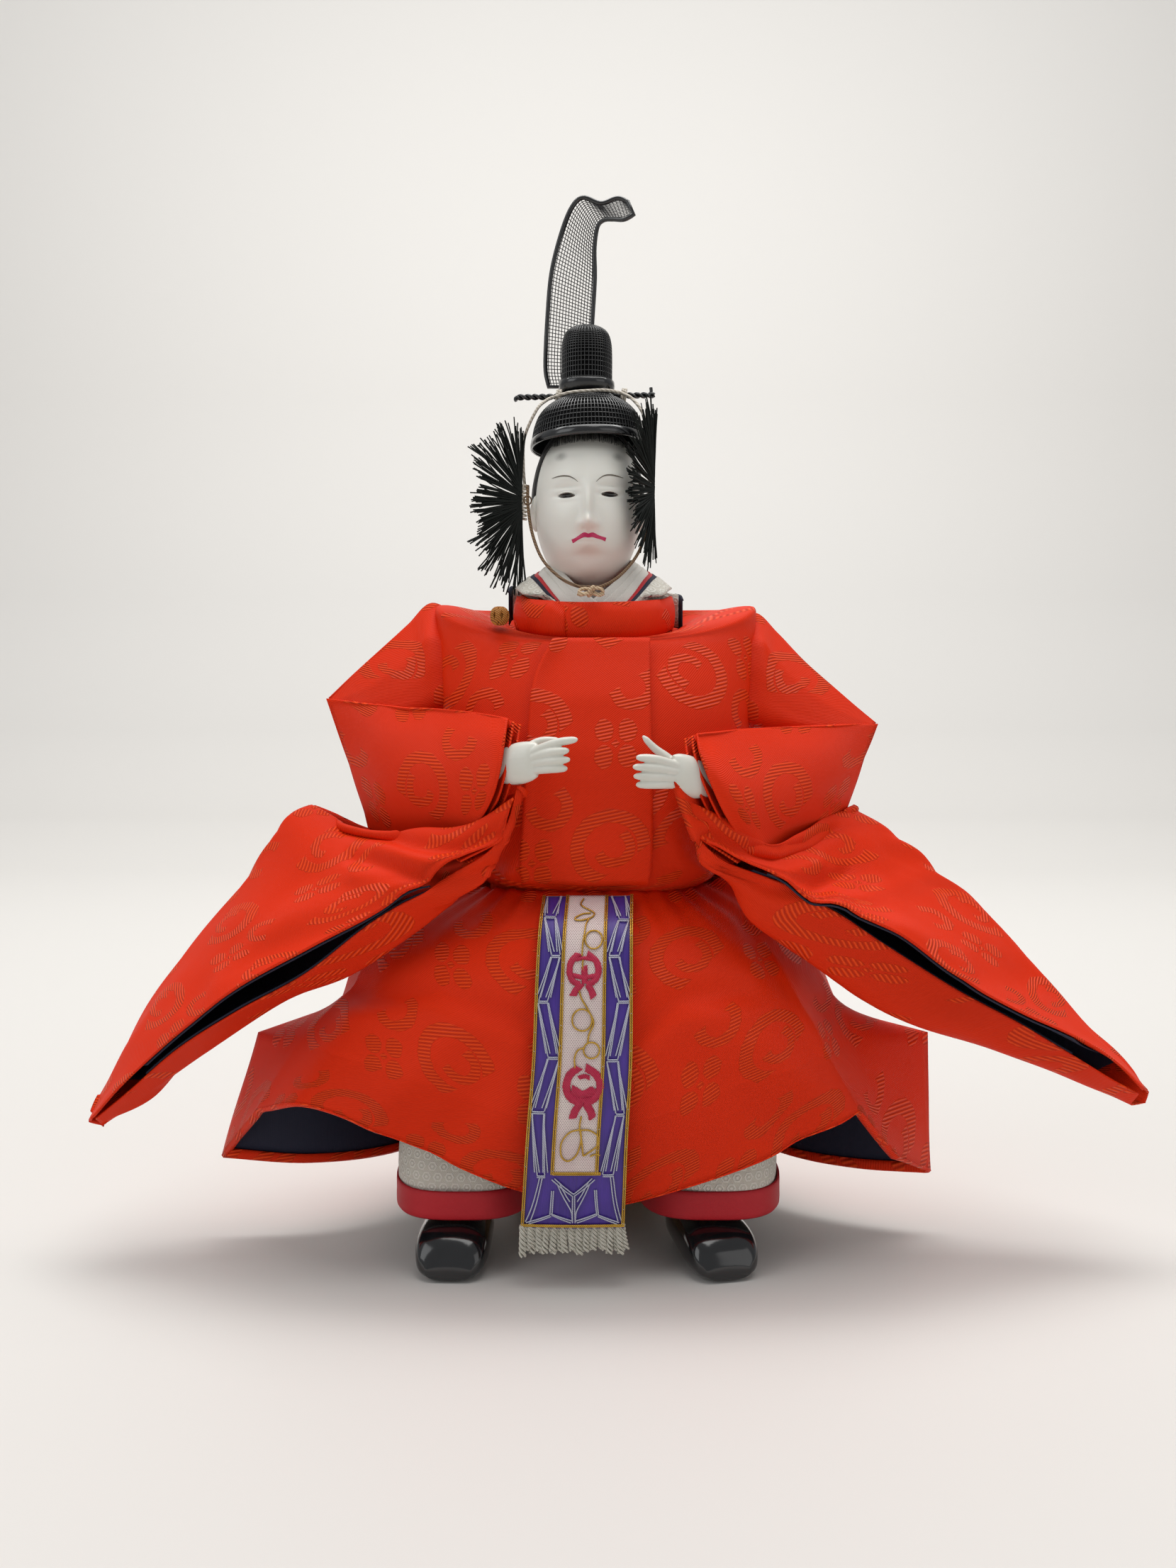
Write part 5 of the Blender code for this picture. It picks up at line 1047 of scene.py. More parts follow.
# The face's relief: x and z from the head's middle, width, height, and how far it stands out
FACE_MIDDLE = [
    (0, -1.5, 1.35, 5.2, 1.9), (0, -6.4, 1.6, 1.8, 2.4), (-1.9, -6.7, 1.0, 1.0, 0.75),
    (1.9, -6.7, 1.0, 1.0, 0.75), (-1.0, -7.9, 0.5, 0.35, -0.5), (1.0, -7.9, 0.5, 0.35, -0.5),
    (0, -10.6, 4.0, 1.1, 0.75), (0, -12.0, 2.4, 1.0, 0.55), (0, -11.0, 4.0, 0.28, -0.35),
    (0, -9.0, 0.55, 0.9, -0.25), (0, -18.6, 4.6, 2.6, 1.0), (0, -14.2, 4.2, 1.1, -0.55)]
FACE_AT_EYE = [(5.6, 0.6, 3.6, 2.6, -1.15), (5.6, 1.1, 2.6, 0.85, 0.62), (5.5, -0.9, 2.4, 0.6, 0.40),
               (5.6, 2.1, 2.9, 0.35, -0.28), (5.6, 0, 2.15, 0.42, -0.75)]
FACE_AT_SIDE = [(7.4, -6.0, 3.8, 3.6, 0.5), (6.0, 6.2, 4.0, 2.0, 0.25)]


def head_points(azimuth, height):
    """Points of the head: azimuth 0 is the face's middle line, height -1 the chin, 1 the crown."""
    lift, flat = np.sin(height * math.pi / 2), np.cos(height * math.pi / 2)
    s, c = np.sin(azimuth), np.cos(azimuth)
    jaw = 1.0 - 0.07 * np.maximum(0.0, -lift - 0.2) ** 1.2
    x = HEAD_HALF[0] * flat ** 0.82 * s * jaw
    y = -HEAD_HALF[1] * flat ** 0.80 * c
    z = HEAD_HALF[2] * lift
    front = c > 0
    y = np.where(front, y * (0.96 - 0.04 * lift) - 1.6 * np.maximum(0.0, -lift - 0.35) * c, y)
    z = z + np.where(front, 0.0, 6.0 * np.maximum(0.0, -lift) * (-c))

    bumps = list(FACE_MIDDLE)
    for side, eye_z in ((-1, 1.0), (1, 1.3)):
        bumps += [(side * px, pz + eye_z, *size) for px, pz, *size in FACE_AT_EYE]
        bumps += [(side * px, *rest) for px, *rest in FACE_AT_SIDE]
    shape = sum(out * np.exp(-((x - px) / wide) ** 2 - ((z - pz) / high) ** 2)
                for px, pz, wide, high, out in bumps)
    y = y - np.where(c > 0.2, shape * np.clip((c - 0.2) * 3, 0, 1), 0)
    return HEAD_CENTRE + np.stack([x, y, z], -1)


def lacquered_face():
    """Shell-white face: a warm blush at nose, lips and chin, and two grey marks on the brow."""
    made = Finish("shell_white_face", srgb(228, 224, 216), 0.42, Subsurface_Weight=0.12,
                  Subsurface_Radius=(1.0, 0.6, 0.4), Subsurface_Scale=0.0012, Coat_Weight=0.12,
                  Coat_Roughness=0.3)
    x, y, z = made.axes()
    z = z - float(HEAD_CENTRE[2])
    front = (y + 28.0).below(-4.0, 3.0)

    def spot(x0, z0, wide, high):
        return ((x - x0) / wide).far((z - z0) / high).below(0.75, 0.75) * front

    blush = spot(0, -8.2, 3.6, 3.0) * 0.5 + spot(0, -13.2, 4.5, 2.4) * 0.4 + spot(0, -18.5, 15.0, 8.0) * 0.55
    skin = blush.maths("MINIMUM", 1.0).mix(srgb(230, 228, 220), srgb(224, 190, 178))
    shade = spot(-7.0, 11.5, 1.5, 1.2) + spot(7.9, 11.5, 1.5, 1.2)
    cloud = made.noise(1.2, 2.0)
    skin = (shade * (cloud * 0.5 + 0.5) * 0.75).mix(skin, srgb(120, 118, 112))
    shadow_tint = z.above(13.4, 1.2) * front
    skin = (shadow_tint * 0.55).mix(skin, srgb(120, 116, 110))
    made.drive("Base Color", skin)
    made.relief(made.noise(2.2, 2.0), 0.01)
    return made.material


face_white = lacquered_face()


def head():
    """The whitened head, its inset glass eyes, painted brows and lips, and its ears."""
    azimuth = np.linspace(0, 2 * math.pi, 300, endpoint=False)
    height = np.linspace(-0.985, 0.985, 210)
    rows = head_points(*np.broadcast_arrays(azimuth[None, :], height[:, None]))
    skull = loft("head_face", rows, face_white)
    settle(skull, "head", slot="face")

    def face_y(x, z):
        hit, where = skull.ray_cast(Vector(place((x, -70, z))), Vector((0, 1, 0)))[:2]
        return where.y / MM - BACK_SHIFT if hit else MISSED_FACE_Y

    def painted(name, centre, widths, finish, crown=0.0):
        """A thin stroke of paint that lies on the face along a line of (x, z)."""
        line = evenly([(x, 0, z) for x, z in centre], 60)
        widths = np.interp(np.linspace(0, 1, 60), np.linspace(0, 1, len(widths)), widths)
        way = np.gradient(line, axis=0)
        side = unit(np.stack([-way[:, 2], 0 * way[:, 0], way[:, 0]], 1))
        rows = []
        for share in np.linspace(-1, 1, 9):
            points = line + side * (widths * share)[:, None]
            points[:, 1] = [face_y(px, pz) - 0.06 - crown * (1 - share * share) for px, _, pz in points]
            rows.append(points)
        rows = np.array(rows)
        item = mesh_piece(name, rows.reshape(-1, 3), grid_faces(9, 60), finish)
        face_away(item.data, BEHIND_FACE)
        settle(item, slot="face")

    brow_ink = Finish("brow_ink", srgb(92, 84, 74), 0.6)
    grain = brow_ink.noise(1.0, 3.0, stretch=(0.6, 1, 3))
    brow_ink.drive("Base Color", grain.mix(srgb(78, 72, 64), srgb(126, 116, 102)))
    painted("brow_right",
            [(-9.4, 202.3), (-7.9, 202.5), (-6.3, 202.5), (-4.8, 202.2), (-3.5, 201.5), (-2.6, 200.7)],
            [0.05, 0.16, 0.2, 0.17, 0.11, 0.04], brow_ink.material)
    painted("brow_left",
            [(2.1, 200.7), (3.0, 201.6), (4.3, 202.4), (5.9, 202.7), (7.6, 202.6), (9.2, 202.4)],
            [0.04, 0.11, 0.17, 0.2, 0.16, 0.05], brow_ink.material)
    lip_red = Finish("lip_red", srgb(196, 10, 80), 0.4, Coat_Weight=0.2)
    tint = lip_red.noise(1.2, 2.0)
    lip_red.drive("Base Color", tint.mix(srgb(176, 6, 66), srgb(204, 18, 92)))
    painted("lips", [(-4.1, 185.6), (-3.4, 185.9), (-2.3, 186.5), (-1.0, 187.1), (0.1, 186.9), (1.2, 187.1),
                     (2.4, 186.7), (3.6, 186.4), (4.6, 186.1)],
            [0.5, 0.42, 0.5, 0.62, 0.5, 0.62, 0.5, 0.42, 0.5], lip_red.material, crown=0.05)

    dark = Finish("dark_glass", srgb(38, 30, 22), 0.06, IOR=1.5, Coat_Weight=0.6)
    u = dark.axes()[0]
    dark.drive("Base Color", abs(abs(u) - 5.6).below(1.1, 0.5).mix(srgb(58, 46, 34), srgb(16, 12, 9)))
    for side, name, x, z in ((-1, "right", -5.5, 197.45), (1, "left", 5.6, 197.75)):
        out, lid = [], []
        for share in np.linspace(0, 1, 9):
            loop = []
            for t in np.linspace(0, 2 * math.pi, 40, endpoint=False):
                c, s = math.cos(t), math.sin(t)
                px = x + 2.15 * share * c
                pz = z + 0.74 * share * s * (1 - 0.25 * abs(c)) + 0.10 * side * c
                loop.append((px, face_y(px, pz) - 0.07 - 0.14 * (1 - share ** 2), pz))
            out.append(loop)
        eye = mesh_piece("eye_%s_glass" % name, np.array(out).reshape(-1, 3), grid_faces(9, 40, wrap=True),
                         dark.material)
        face_away(eye.data, BEHIND_FACE)
        settle(eye, "eye_" + name, slot="glass")
        for t in np.linspace(math.radians(8), math.radians(172), 30):
            px = x + 2.4 * math.cos(t)
            pz = z + 0.84 * math.sin(t) + 0.05 + 0.10 * side * math.cos(t)
            lid.append((px, face_y(px, pz) - 0.02, pz))
        thick = 0.13 + 0.07 * np.sin(np.linspace(0, math.pi, 30))
        settle(loft("eye_%s_lid" % name, rod_rows(lid, thick, 8), face_white), slot="face")

    for side, name in ((-1, "right"), (1, "left")):
        rows = []
        for t, wide, out in ((0, 0.3, 0.1), (0.12, 1.2, 0.7), (0.35, 1.9, 1.2), (0.6, 1.8, 1.2),
                             (0.85, 1.3, 1.0), (1.0, 0.4, 0.3)):
            z = 199.6 - 9.4 * t
            rows.append(ring((side * (13.9 + 0.4 * math.sin(t * 3)), -4.0 + 1.2 * t, z), (0, 1, 0),
                             (1, 0, 0), wide, out, 24))
        fine = np.stack([curve(np.array(rows)[:, k], 5) for k in range(24)], 1)
        settle(loft("ear_" + name, fine, face_white), slot="face")


head()


def hair_finish():
    made = Finish("black_hair", srgb(20, 19, 19), 0.42, Sheen_Weight=0.1)
    strands = made.noise(2.2, 3.0, stretch=(9, 9, 0.7))
    made.relief(strands, 0.12)
    made.drive("Base Color", strands.mix(srgb(14, 13, 13), srgb(38, 35, 33)))
    return made.material


black_hair = hair_finish()


def hair():
    """Black hair close to the skull, and the fine short strands along the forehead."""
    heights = 0.70 - 1.06 * np.linspace(0, 1, 60)
    rows = []
    for height in heights:
        start = math.radians(78 - 16 * min(1.0, max(0.0, (height - 0.35) / 0.3))
                             + 44 * min(1.0, max(0.0, (-0.03 - height) / 0.22)))
        azimuth = np.linspace(start, 2 * math.pi - start, 150)
        p = head_points(azimuth, np.full(150, height))
        away = unit((p - HEAD_CENTRE) * (1, 1, 0.6))
        rim = np.minimum(1, np.minimum(np.arange(150), np.arange(149, -1, -1)) / 8)
        rows.append(p + away * (0.2 + 0.8 * rim ** 0.5)[:, None])
    rows = np.array(rows)
    comb = 0.10 * np.sin(np.arange(150) * 1.9)[None, :]
    rows = pushed(rows, comb + ripple(rows, 5, 0.05, 6), HEAD_CENTRE)
    settle(cloth("hair_shell", rows, black_hair, HEAD_CENTRE, thick=0.5), "hair", slot="hair")
    chance = np.random.default_rng(12)
    lines = []
    for x in np.linspace(-12.2, 12.2, 260):
        top = 214.6
        low = 212.4 - 0.0035 * x * x * 2 + chance.uniform(-0.75, 0.25)
        lean = chance.uniform(-0.3, 0.3)
        line = []
        for t in np.linspace(0, 1, 5):
            px, pz = x + lean * t, top + (low - top) * t
            height = math.asin(np.clip((pz - HEAD_CENTRE[2]) / HEAD_HALF[2], -1, 1)) / (math.pi / 2)
            flat = math.cos(height * math.pi / 2)
            az = math.asin(np.clip(px / (HEAD_HALF[0] * flat ** 0.82), -0.98, 0.98))
            p = head_points(np.array(az), np.array(height))
            line.append((p[0], p[1] - 0.10 * (1 - t) - 0.02, p[2]))
        lines.append(line)
    settle(threads("hair_line", lines, 0.05, black_hair, sides=3), slot="hair")


hair()


def lacquer(name, colour, roughness, wear=0.08):
    made = Finish(name, colour, roughness, Coat_Weight=0.5, Coat_Roughness=0.12)
    dust = made.noise(3.0, 4.0)
    made.drive("Roughness", dust * wear + (roughness - wear / 2))
    made.drive("Base Color", dust.mix(colour, tuple(c * 1.8 + 0.004 for c in colour)))
    made.relief(made.noise(0.8, 2.0), 0.01)
    return made.material


def dull_black(name, colour, roughness):
    made = Finish(name, colour, roughness, Specular_IOR_Level=0.12)
    cloud = made.noise(1.5, 3.0)
    made.drive("Base Color", cloud.mix(dimmed(colour, 0.6), dimmed(colour, 1.5)))
    made.drive("Roughness", cloud * 0.2 + (roughness - 0.1))
    made.relief(cloud, 0.02)
    return made.material


black_lacquer = lacquer("black_lacquer", srgb(10, 10, 12), 0.2)
mesh_lacquer = lacquer("lacquered_mesh_thread", srgb(6, 6, 7), 0.2, 0.08)
under_mesh = dull_black("dark_cap_core", srgb(3, 3, 4), 0.9)
wire_black = lacquer("black_wire", srgb(10, 10, 11), 0.24)
bristle = dull_black("dark_bristle", srgb(30, 33, 31), 0.5)
CAP_TILT = math.radians(2.2)


def tilted(points):
    """The cap sits a little lower on the doll's right."""
    points = np.asarray(points, float)
    x, z = points[..., 0], points[..., 2] - 214.0
    c, s = math.cos(CAP_TILT), math.sin(CAP_TILT)
    return np.stack([x * c - z * s * 0.3, points[..., 1], 214.0 + z * c + x * s], -1)


def net_over(rows, across, along):
    """Lines over a closed surface of rings: some run round it, some run up it."""
    lines = []
    height, width = rows.shape[:2]
    for k in np.linspace(0, height - 1, along):
        low = int(min(k, height - 2))
        loop = rows[low] + (rows[low + 1] - rows[low]) * (k - low)
        lines.append(np.concatenate([loop, loop[:1]]))
    for k in np.linspace(0, width, across, endpoint=False):
        left = int(k) % width
        share = k - int(k)
        lines.append(rows[:, left] * (1 - share) + rows[:, (left + 1) % width] * share)
    return lines


def cap():
    """The court cap: mesh bowl with its lacquered rim, and the tall mesh crown with its band."""
    half = 15.0
    bowl = curve([(half * 0.16, 12.6), (half * 0.36, 12.3), (half * 0.62, 11.1), (half * 0.84, 8.4),
                  (half * 0.95, 5.0), (half, 1.2), (half, 0.0)], 6)
    rows = tilted([level_ring((0, 0, 213.6 + z), r, r * 1.12, 120) for r, z in bowl])
    core = loft("hat_bowl_core", rows, under_mesh, closed_ends=False)
    thicken(core, 0.5)
    settle(core, "hat_bowl", slot="mesh_lacquer")
    strung("hat_bowl_mesh", net_over(pushed(rows, 0.05, (0, 0, 214), wrap=True), 96, 19), 0.18,
           mesh_lacquer, "mesh_lacquer", sides=4)
    edge = half + 0.35
    rim = tilted(level_ring((0, 0, 213.5), edge, edge * 1.12, 120))
    away = unit(rim * (1, 1, 0))
    band = np.array([rim + away * out + (0, 0, rise) for rise, out in (
        (1.9, -0.35), (1.7, 0.0), (0.4, 0.25), (-0.35, 0.2), (-0.6, -0.15), (-0.45, -0.45))])
    strip = cloth("hat_rim_band", band, black_lacquer, (0, 0, 214), thick=0.35, wrap=True)
    settle(strip, "hat_rim", slot="lacquer")

    seat, top = 225.9, 247.3
    crown = curve([(0.0, 1.0), (0.35, 1.0), (0.62, 1.0), (0.78, 0.97), (0.90, 0.84), (0.97, 0.55),
                   (1.0, 0.12)], 6)
    rows = np.array([level_ring((-0.35, 6, seat + (top - seat) * up), 6.75 * s, 6.0 * s, 90, 2.3)
                     for up, s in crown])
    settle(loft("hat_crown_core", rows, under_mesh), "hat_crown", slot="mesh_lacquer")
    strung("hat_crown_mesh", net_over(pushed(rows, 0.06, (0, 6, 236), wrap=True), 54, 29), 0.17,
           mesh_lacquer, "mesh_lacquer", sides=4)
    band = np.array([level_ring((-0.35, 6, z), 6.9 + out, 6.1 + out, 90, 2.3) for z, out in (
        (228.9, 0.45), (229.0, 0.62), (230.4, 0.62), (230.6, 0.75), (231.9, 0.7), (232.1, 0.4))])
    strip = cloth("hat_crown_strap", band, black_lacquer, (0, 6, 230), thick=0.35, wrap=True)
    settle(strip, "hat_crown_band", slot="lacquer")


cap()


def hat_pin():
    """The pin through cap and crown: two wires twisted round each other, one end turned up."""
    lines = []
    x = np.linspace(-19.4, 18.0, 300)
    for start in (0.0, math.pi):
        twist = 2 * math.pi * 9.5 * (x + 19.4) / 37.4 + start
        lines.append(np.stack([x, 2.0 + 0.42 * np.cos(twist), 227.4 + 0.42 * np.sin(twist) + x * 0.016], 1))
    lines.append(curve([(16.9, 2.0, 227.7), (17.1, 2.0, 228.6), (17.05, 2.1, 229.7)], 6))
    lines.append(curve([(-19.3, 2.0, 227.2), (-19.7, 1.8, 226.6), (-19.4, 1.7, 226.0)], 6))
    strung("hat_pin_twist", lines, 0.46, wire_black, "wire", "hat_pin")


TAIL_LEFT = [(-11.0, 13.4, 233.0), (-11.9, 13.6, 239), (-11.2, 13.2, 253.7), (-10.1, 12.8, 264.6),
             (-7.5, 12, 274.5), (-4.6, 11.2, 281.4), (-1.4, 10.2, 283.8), (3.6, 9.6, 282.0),
             (8.1, 8.6, 283.0), (10.9, 7.8, 281.6)]
TAIL_RIGHT = [(0.8, 13.35, 233.0), (0.6, 13.4, 239), (1.2, 13.2, 250.8), (1.9, 12.6, 262.7),
              (1.8, 11.8, 270.5), (2.6, 10.8, 276.0), (4.4, 10.0, 277.6), (7.0, 9.0, 277.4),
              (9.9, 7.6, 276.8), (12.5, 6.8, 277.8)]


def hat_tail():
    """The upright tail: fine open net between two lacquered wires, curled over at its top."""
    left, right = evenly(TAIL_LEFT, 67), evenly(TAIL_RIGHT, 67)
    share = np.linspace(0, 1, 16)
    grid = left[:, None] * (1 - share[None, :, None]) + right[:, None] * share[None, :, None]
    grid[..., 1] -= (np.sin(share * math.pi) * 0.35)[None, :]
    lines = [grid[k] for k in range(1, 66)] + [grid[:, k] for k in range(1, 15)]
    strung("hat_tail_mesh", lines, 0.12, mesh_lacquer, "mesh_lacquer", "hat_tail_net", sides=4)
    loop = np.concatenate([evenly(TAIL_LEFT, 90), evenly(TAIL_RIGHT, 90)[::-1]])
    strung("hat_tail_wire", [loop], 0.62, wire_black, "wire", "hat_tail_frame", sides=10, closed=True)


hat_pin()
hat_tail()


def ear_fans():
    """Stiff bristles spread in half a disc from each wrapped core."""
    chance = np.random.default_rng(3)
    # angle in degrees from straight up, and the fan's reach there
    right_reach = ((0, 20.5), (25, 20.5), (45, 19.0), (70, 15.5), (90, 15.0), (110, 16.0), (135, 18.0),
                   (160, 21.0), (180, 22.5))
    left_reach = ((0, 21.0), (25, 20.0), (50, 15.5), (75, 12.5), (95, 12.5), (115, 12.5), (140, 15.0),
                  (165, 19.0), (180, 21.0))
    for name, foot, low, high, way, reach, seed, core in (
            ("right", (-17.6, -5.4), 194.8, 200.6, (-1.0, -0.06), right_reach, 5, (-17.3, -4.3)),
            ("left", (17.5, -8.4), 197.5, 203.5, (-0.62, -0.78), left_reach, 9, (16.7, -6.6))):
        lines = []
        for clump in np.linspace(1, 179, 40):
            lean = clump + chance.uniform(-2.2, 2.2)
            far = chance.uniform(0.74, 1.02)
            for _ in range(7):
                angle = math.radians(np.clip(lean + chance.normal(0, 1.5), -1.0, 181.0))
                length = np.interp(math.degrees(angle), *zip(*reach)) * far * chance.uniform(0.86, 1.02)
                start = (low + high) / 2 + (high - low) / 2 * math.cos(angle)
                bend = chance.normal(0, 0.055)
                depth = chance.normal(0, 0.035)
                line = []
                for t in np.linspace(0, 1, 6):
                    turn = angle + bend * t * t
                    out, up = math.sin(turn) * length * t, math.cos(turn) * length * t
                    line.append((foot[0] + way[0] * out - way[1] * depth * length * t,
                                 foot[1] + way[1] * out + way[0] * depth * length * t, start + up))
                lines.append(line)
        strung("ear_fan_%s_bristles" % name, lines, 0.18, bristle, "bristle", "ear_fan_" + name, sides=4,
               waver=0.35, waver_size=5.0, seed=seed)
        wrap, turns = [], 9
        for t in np.linspace(0, 1, turns * 16):
            a = 2 * math.pi * turns * t
            wrap.append((core[0] + 0.75 * math.cos(a), core[1] + 0.75 * math.sin(a),
                         low - 1.6 + (high - low + 3.2) * t))
        strung("ear_fan_core_%s_thread" % name, [wrap], 0.36, white_cord, "white_cloth",
               "ear_fan_core_" + name, sides=6)


def cord_finish(name, colour, dark, pitch=1.1):
    made = Finish(name, colour, 0.7)
    x, y, z = made.axes()
    twist = (x * 0.7 + z + y * 0.3).wave(pitch) * 0.5 + 0.5
    made.relief(twist, 0.08)
    # painted shade: the twist's grooves take the darker copy of the cord's colour
    made.drive("Base Color", twist.mix(dark, colour))
    return made.material


# each cord's second colour is its own colour in shade, painted into the twist's grooves
white_cord = cord_finish("white_cord", srgb(222, 214, 202), srgb(176, 166, 150))
brown_cord = cord_finish("brown_chin_cord", srgb(134, 104, 72), srgb(84, 62, 42), 0.8)
amber_cord = cord_finish("amber_braid", srgb(196, 128, 42), srgb(112, 62, 14), 0.55)
beige_cord = cord_finish("beige_silk_knot", srgb(214, 190, 158), srgb(168, 138, 104), 0.7)
ear_fans()


def cords():
    """White cord over the pin, chin cord with its knot, ear ring, and the collar's braided button."""
    white = curve([(-16.9, -2, 201.5), (-17.3, -3, 208), (-16.9, -4, 215), (-13.6, -6.3, 221.6),
                   (-11.1, -3.3, 224.9), (-8.8, -1.8, 226.3), (-4.6, -4.2, 226.8), (0, -5.3, 226.9),
                   (4.8, -4.3, 227.3), (9.0, -1.8, 227.2), (11.7, -3.2, 225.4), (14.4, -6.0, 221.0),
                   (16.9, -4, 214), (17.2, -3, 208)], 10)
    wraps = []
    for x0 in (-8.3, 9.3):
        a = np.linspace(0, 2 * math.pi, 40)
        for shift in (0.0, 0.75):
            wraps.append(np.stack([x0 + shift + 0.2 * np.sin(a), 1.7 + 1.55 * np.cos(a),
                                   227.4 + 0.016 * x0 + 1.5 * np.sin(a)], 1))
    tied = strung("hat_cord_wraps", wraps, 0.42, white_cord, "white_cloth")
    cord = strung("hat_cord_white", [white], 0.42, white_cord, "white_cloth", "hat_cord")
    chin = curve([(-16.0, -5.2, 202), (-15.9, -6.4, 196.4), (-14.7, -9.2, 188.8), (-11.9, -13.6, 181.4),
                  (-7.4, -18.0, 176.2), (-3.0, -20.9, 173.6), (0.6, -21.4, 173.2), (3.8, -20.7, 173.6),
                  (8.2, -17.6, 176.6), (12.6, -12.9, 182.2), (15.2, -8.4, 188.8), (16.2, -5.4, 196),
                  (16.3, -4.6, 202)], 10)
    chin_cord = strung("chin_cord_brown", [chin], 0.42, brown_cord, "cord", "chin_cord")
    a = np.linspace(0, 2 * math.pi, 60)
    loops = [np.stack([0.8 - 1.5 + 1.5 * np.cos(a), -23.3 + 0.5 * np.sin(a), 171.9 + 0.75 * np.sin(a)], 1),
             np.stack([0.8 + 1.5 + 1.5 * np.cos(a), -23.3 - 0.5 * np.sin(a), 171.9 + 0.75 * np.sin(a)], 1),
             np.stack([0.8 + 0.75 * np.cos(a), -23.4 + 0.9 * np.sin(a), 171.9 + 1.1 * np.cos(a + 0.6)], 1),
             curve([(-0.2, -23.2, 171.6), (-1.6, -23.4, 171.0), (-2.6, -23.0, 171.3)], 8),
             curve([(1.6, -23.2, 171.6), (2.8, -23.4, 170.9), (4.0, -23.0, 171.4)], 8)]
    bow = strung("chin_knot_loops", loops, 0.42, beige_cord, "white_cloth", "chin_knot")
    wire = Finish("brown_wire", srgb(96, 74, 52), 0.4, Metallic=0.3)
    wire.drive("Base Color", wire.noise(1.5).mix(srgb(70, 52, 36), srgb(120, 94, 66)))
    ring_line = np.stack([-15.9 + 0.95 * np.cos(a), -8.8 + 0.3 * np.cos(a), 197.4 + 1.15 * np.sin(a)], 1)
    strung("ear_ring_wire", [ring_line], 0.2, wire.material, "wire", "ear_ring")

    centre = np.array([-22.55, -20.15, 166.0])
    loops = []
    a = np.linspace(0, 2 * math.pi, 260)
    for phase in (0.0, 0.16):
        turn, lift = 4 * a + phase, 1.2 * np.sin(7 * a)
        weave = (1.0 + 0.12 * np.cos(14 * a))[:, None]
        over = np.stack([np.cos(lift) * np.cos(turn), np.cos(lift) * np.sin(turn), np.sin(lift)], 1)
        loops.append(centre + over * (1.9, 1.6, 2.45) * weave)
    ball = [level_ring(centre + (0, 0, 2.3 * math.sin(t)), 1.75 * math.cos(t), 1.45 * math.cos(t), 40)
            for t in np.linspace(-1.45, 1.45, 24)]
    core = settle(loft("collar_knot_core", ball, amber_cord), "collar_knot", slot="cord")
    braid = strung("collar_knot_braid", loops, 0.4, amber_cord, "cord")
    braid.parent = core


cords()


def shell_white():
    made = Finish("shell_white_hands", srgb(216, 215, 205), 0.36, Subsurface_Weight=0.08,
                  Subsurface_Radius=(1.0, 0.8, 0.6), Subsurface_Scale=0.001, Coat_Weight=0.2,
                  Coat_Roughness=0.25)
    cloud = made.noise(5.0, 3.0)
    made.drive("Base Color", cloud.mix(srgb(208, 206, 194), srgb(222, 221, 213)))
    made.relief(made.noise(1.6, 2.0), 0.012)
    return made.material


hand_white = shell_white()


def hand(name, wrist, palm, fingers, thumb):
    """A small carved hand: wrist, palm, four fingers and thumb, melted into one smooth form."""
    wrist, palm = np.array(wrist, float), np.array(palm, float)
    flow = (palm - wrist) / np.linalg.norm(palm - wrist)
    back = np.array([math.copysign(0.81, flow[0]), -0.58, 0.0])
    up = np.array([0.0, 0.0, 1.0])
    aside = np.cross(flow, up)
    aside /= np.linalg.norm(aside)
    shape = curve([(-8.0, 1.9, 2.5), (-3.0, 2.2, 3.0), (0.0, 2.5, 3.9), (4.5, 2.7, 5.0), (8.5, 2.2, 4.8),
                   (10.8, 1.2, 4.0)], 5)
    rows = np.array([ring(wrist + (flow if run > 0 else back) * run, aside, up, thick, tall, 30, 2.2)
                     for run, thick, tall in shape])
    parts = [loft("palm", rows)]
    digits = [(finger[::-1], [0, 0.75, 0.93, 1.0], [1.12, 0.98, 0.8, 0.35]) for finger in fingers]
    for points, places, sizes in digits + [(thumb, [0, 0.5, 0.9, 1.0], [1.6, 1.05, 0.75, 0.3])]:
        line = curve(points, 10)
        parts.append(loft("digit", rod_rows(line, np.interp(np.linspace(0, 1, len(line)), places, sizes),
                                            16)))
    item = joined("hand_%s_carved" % name, parts)
    melt = item.modifiers.new("Melt", "REMESH")
    melt.mode = "VOXEL"
    melt.voxel_size = 0.2 * MM
    melt.use_smooth_shade = True
    soft = item.modifiers.new("Soften", "SMOOTH")
    soft.factor = 0.5
    soft.iterations = 3
    mesh = applied(item)
    mesh.materials.clear()
    mesh.materials.append(hand_white)
    settle(item, "hand_" + name, slot="white_lacquer")


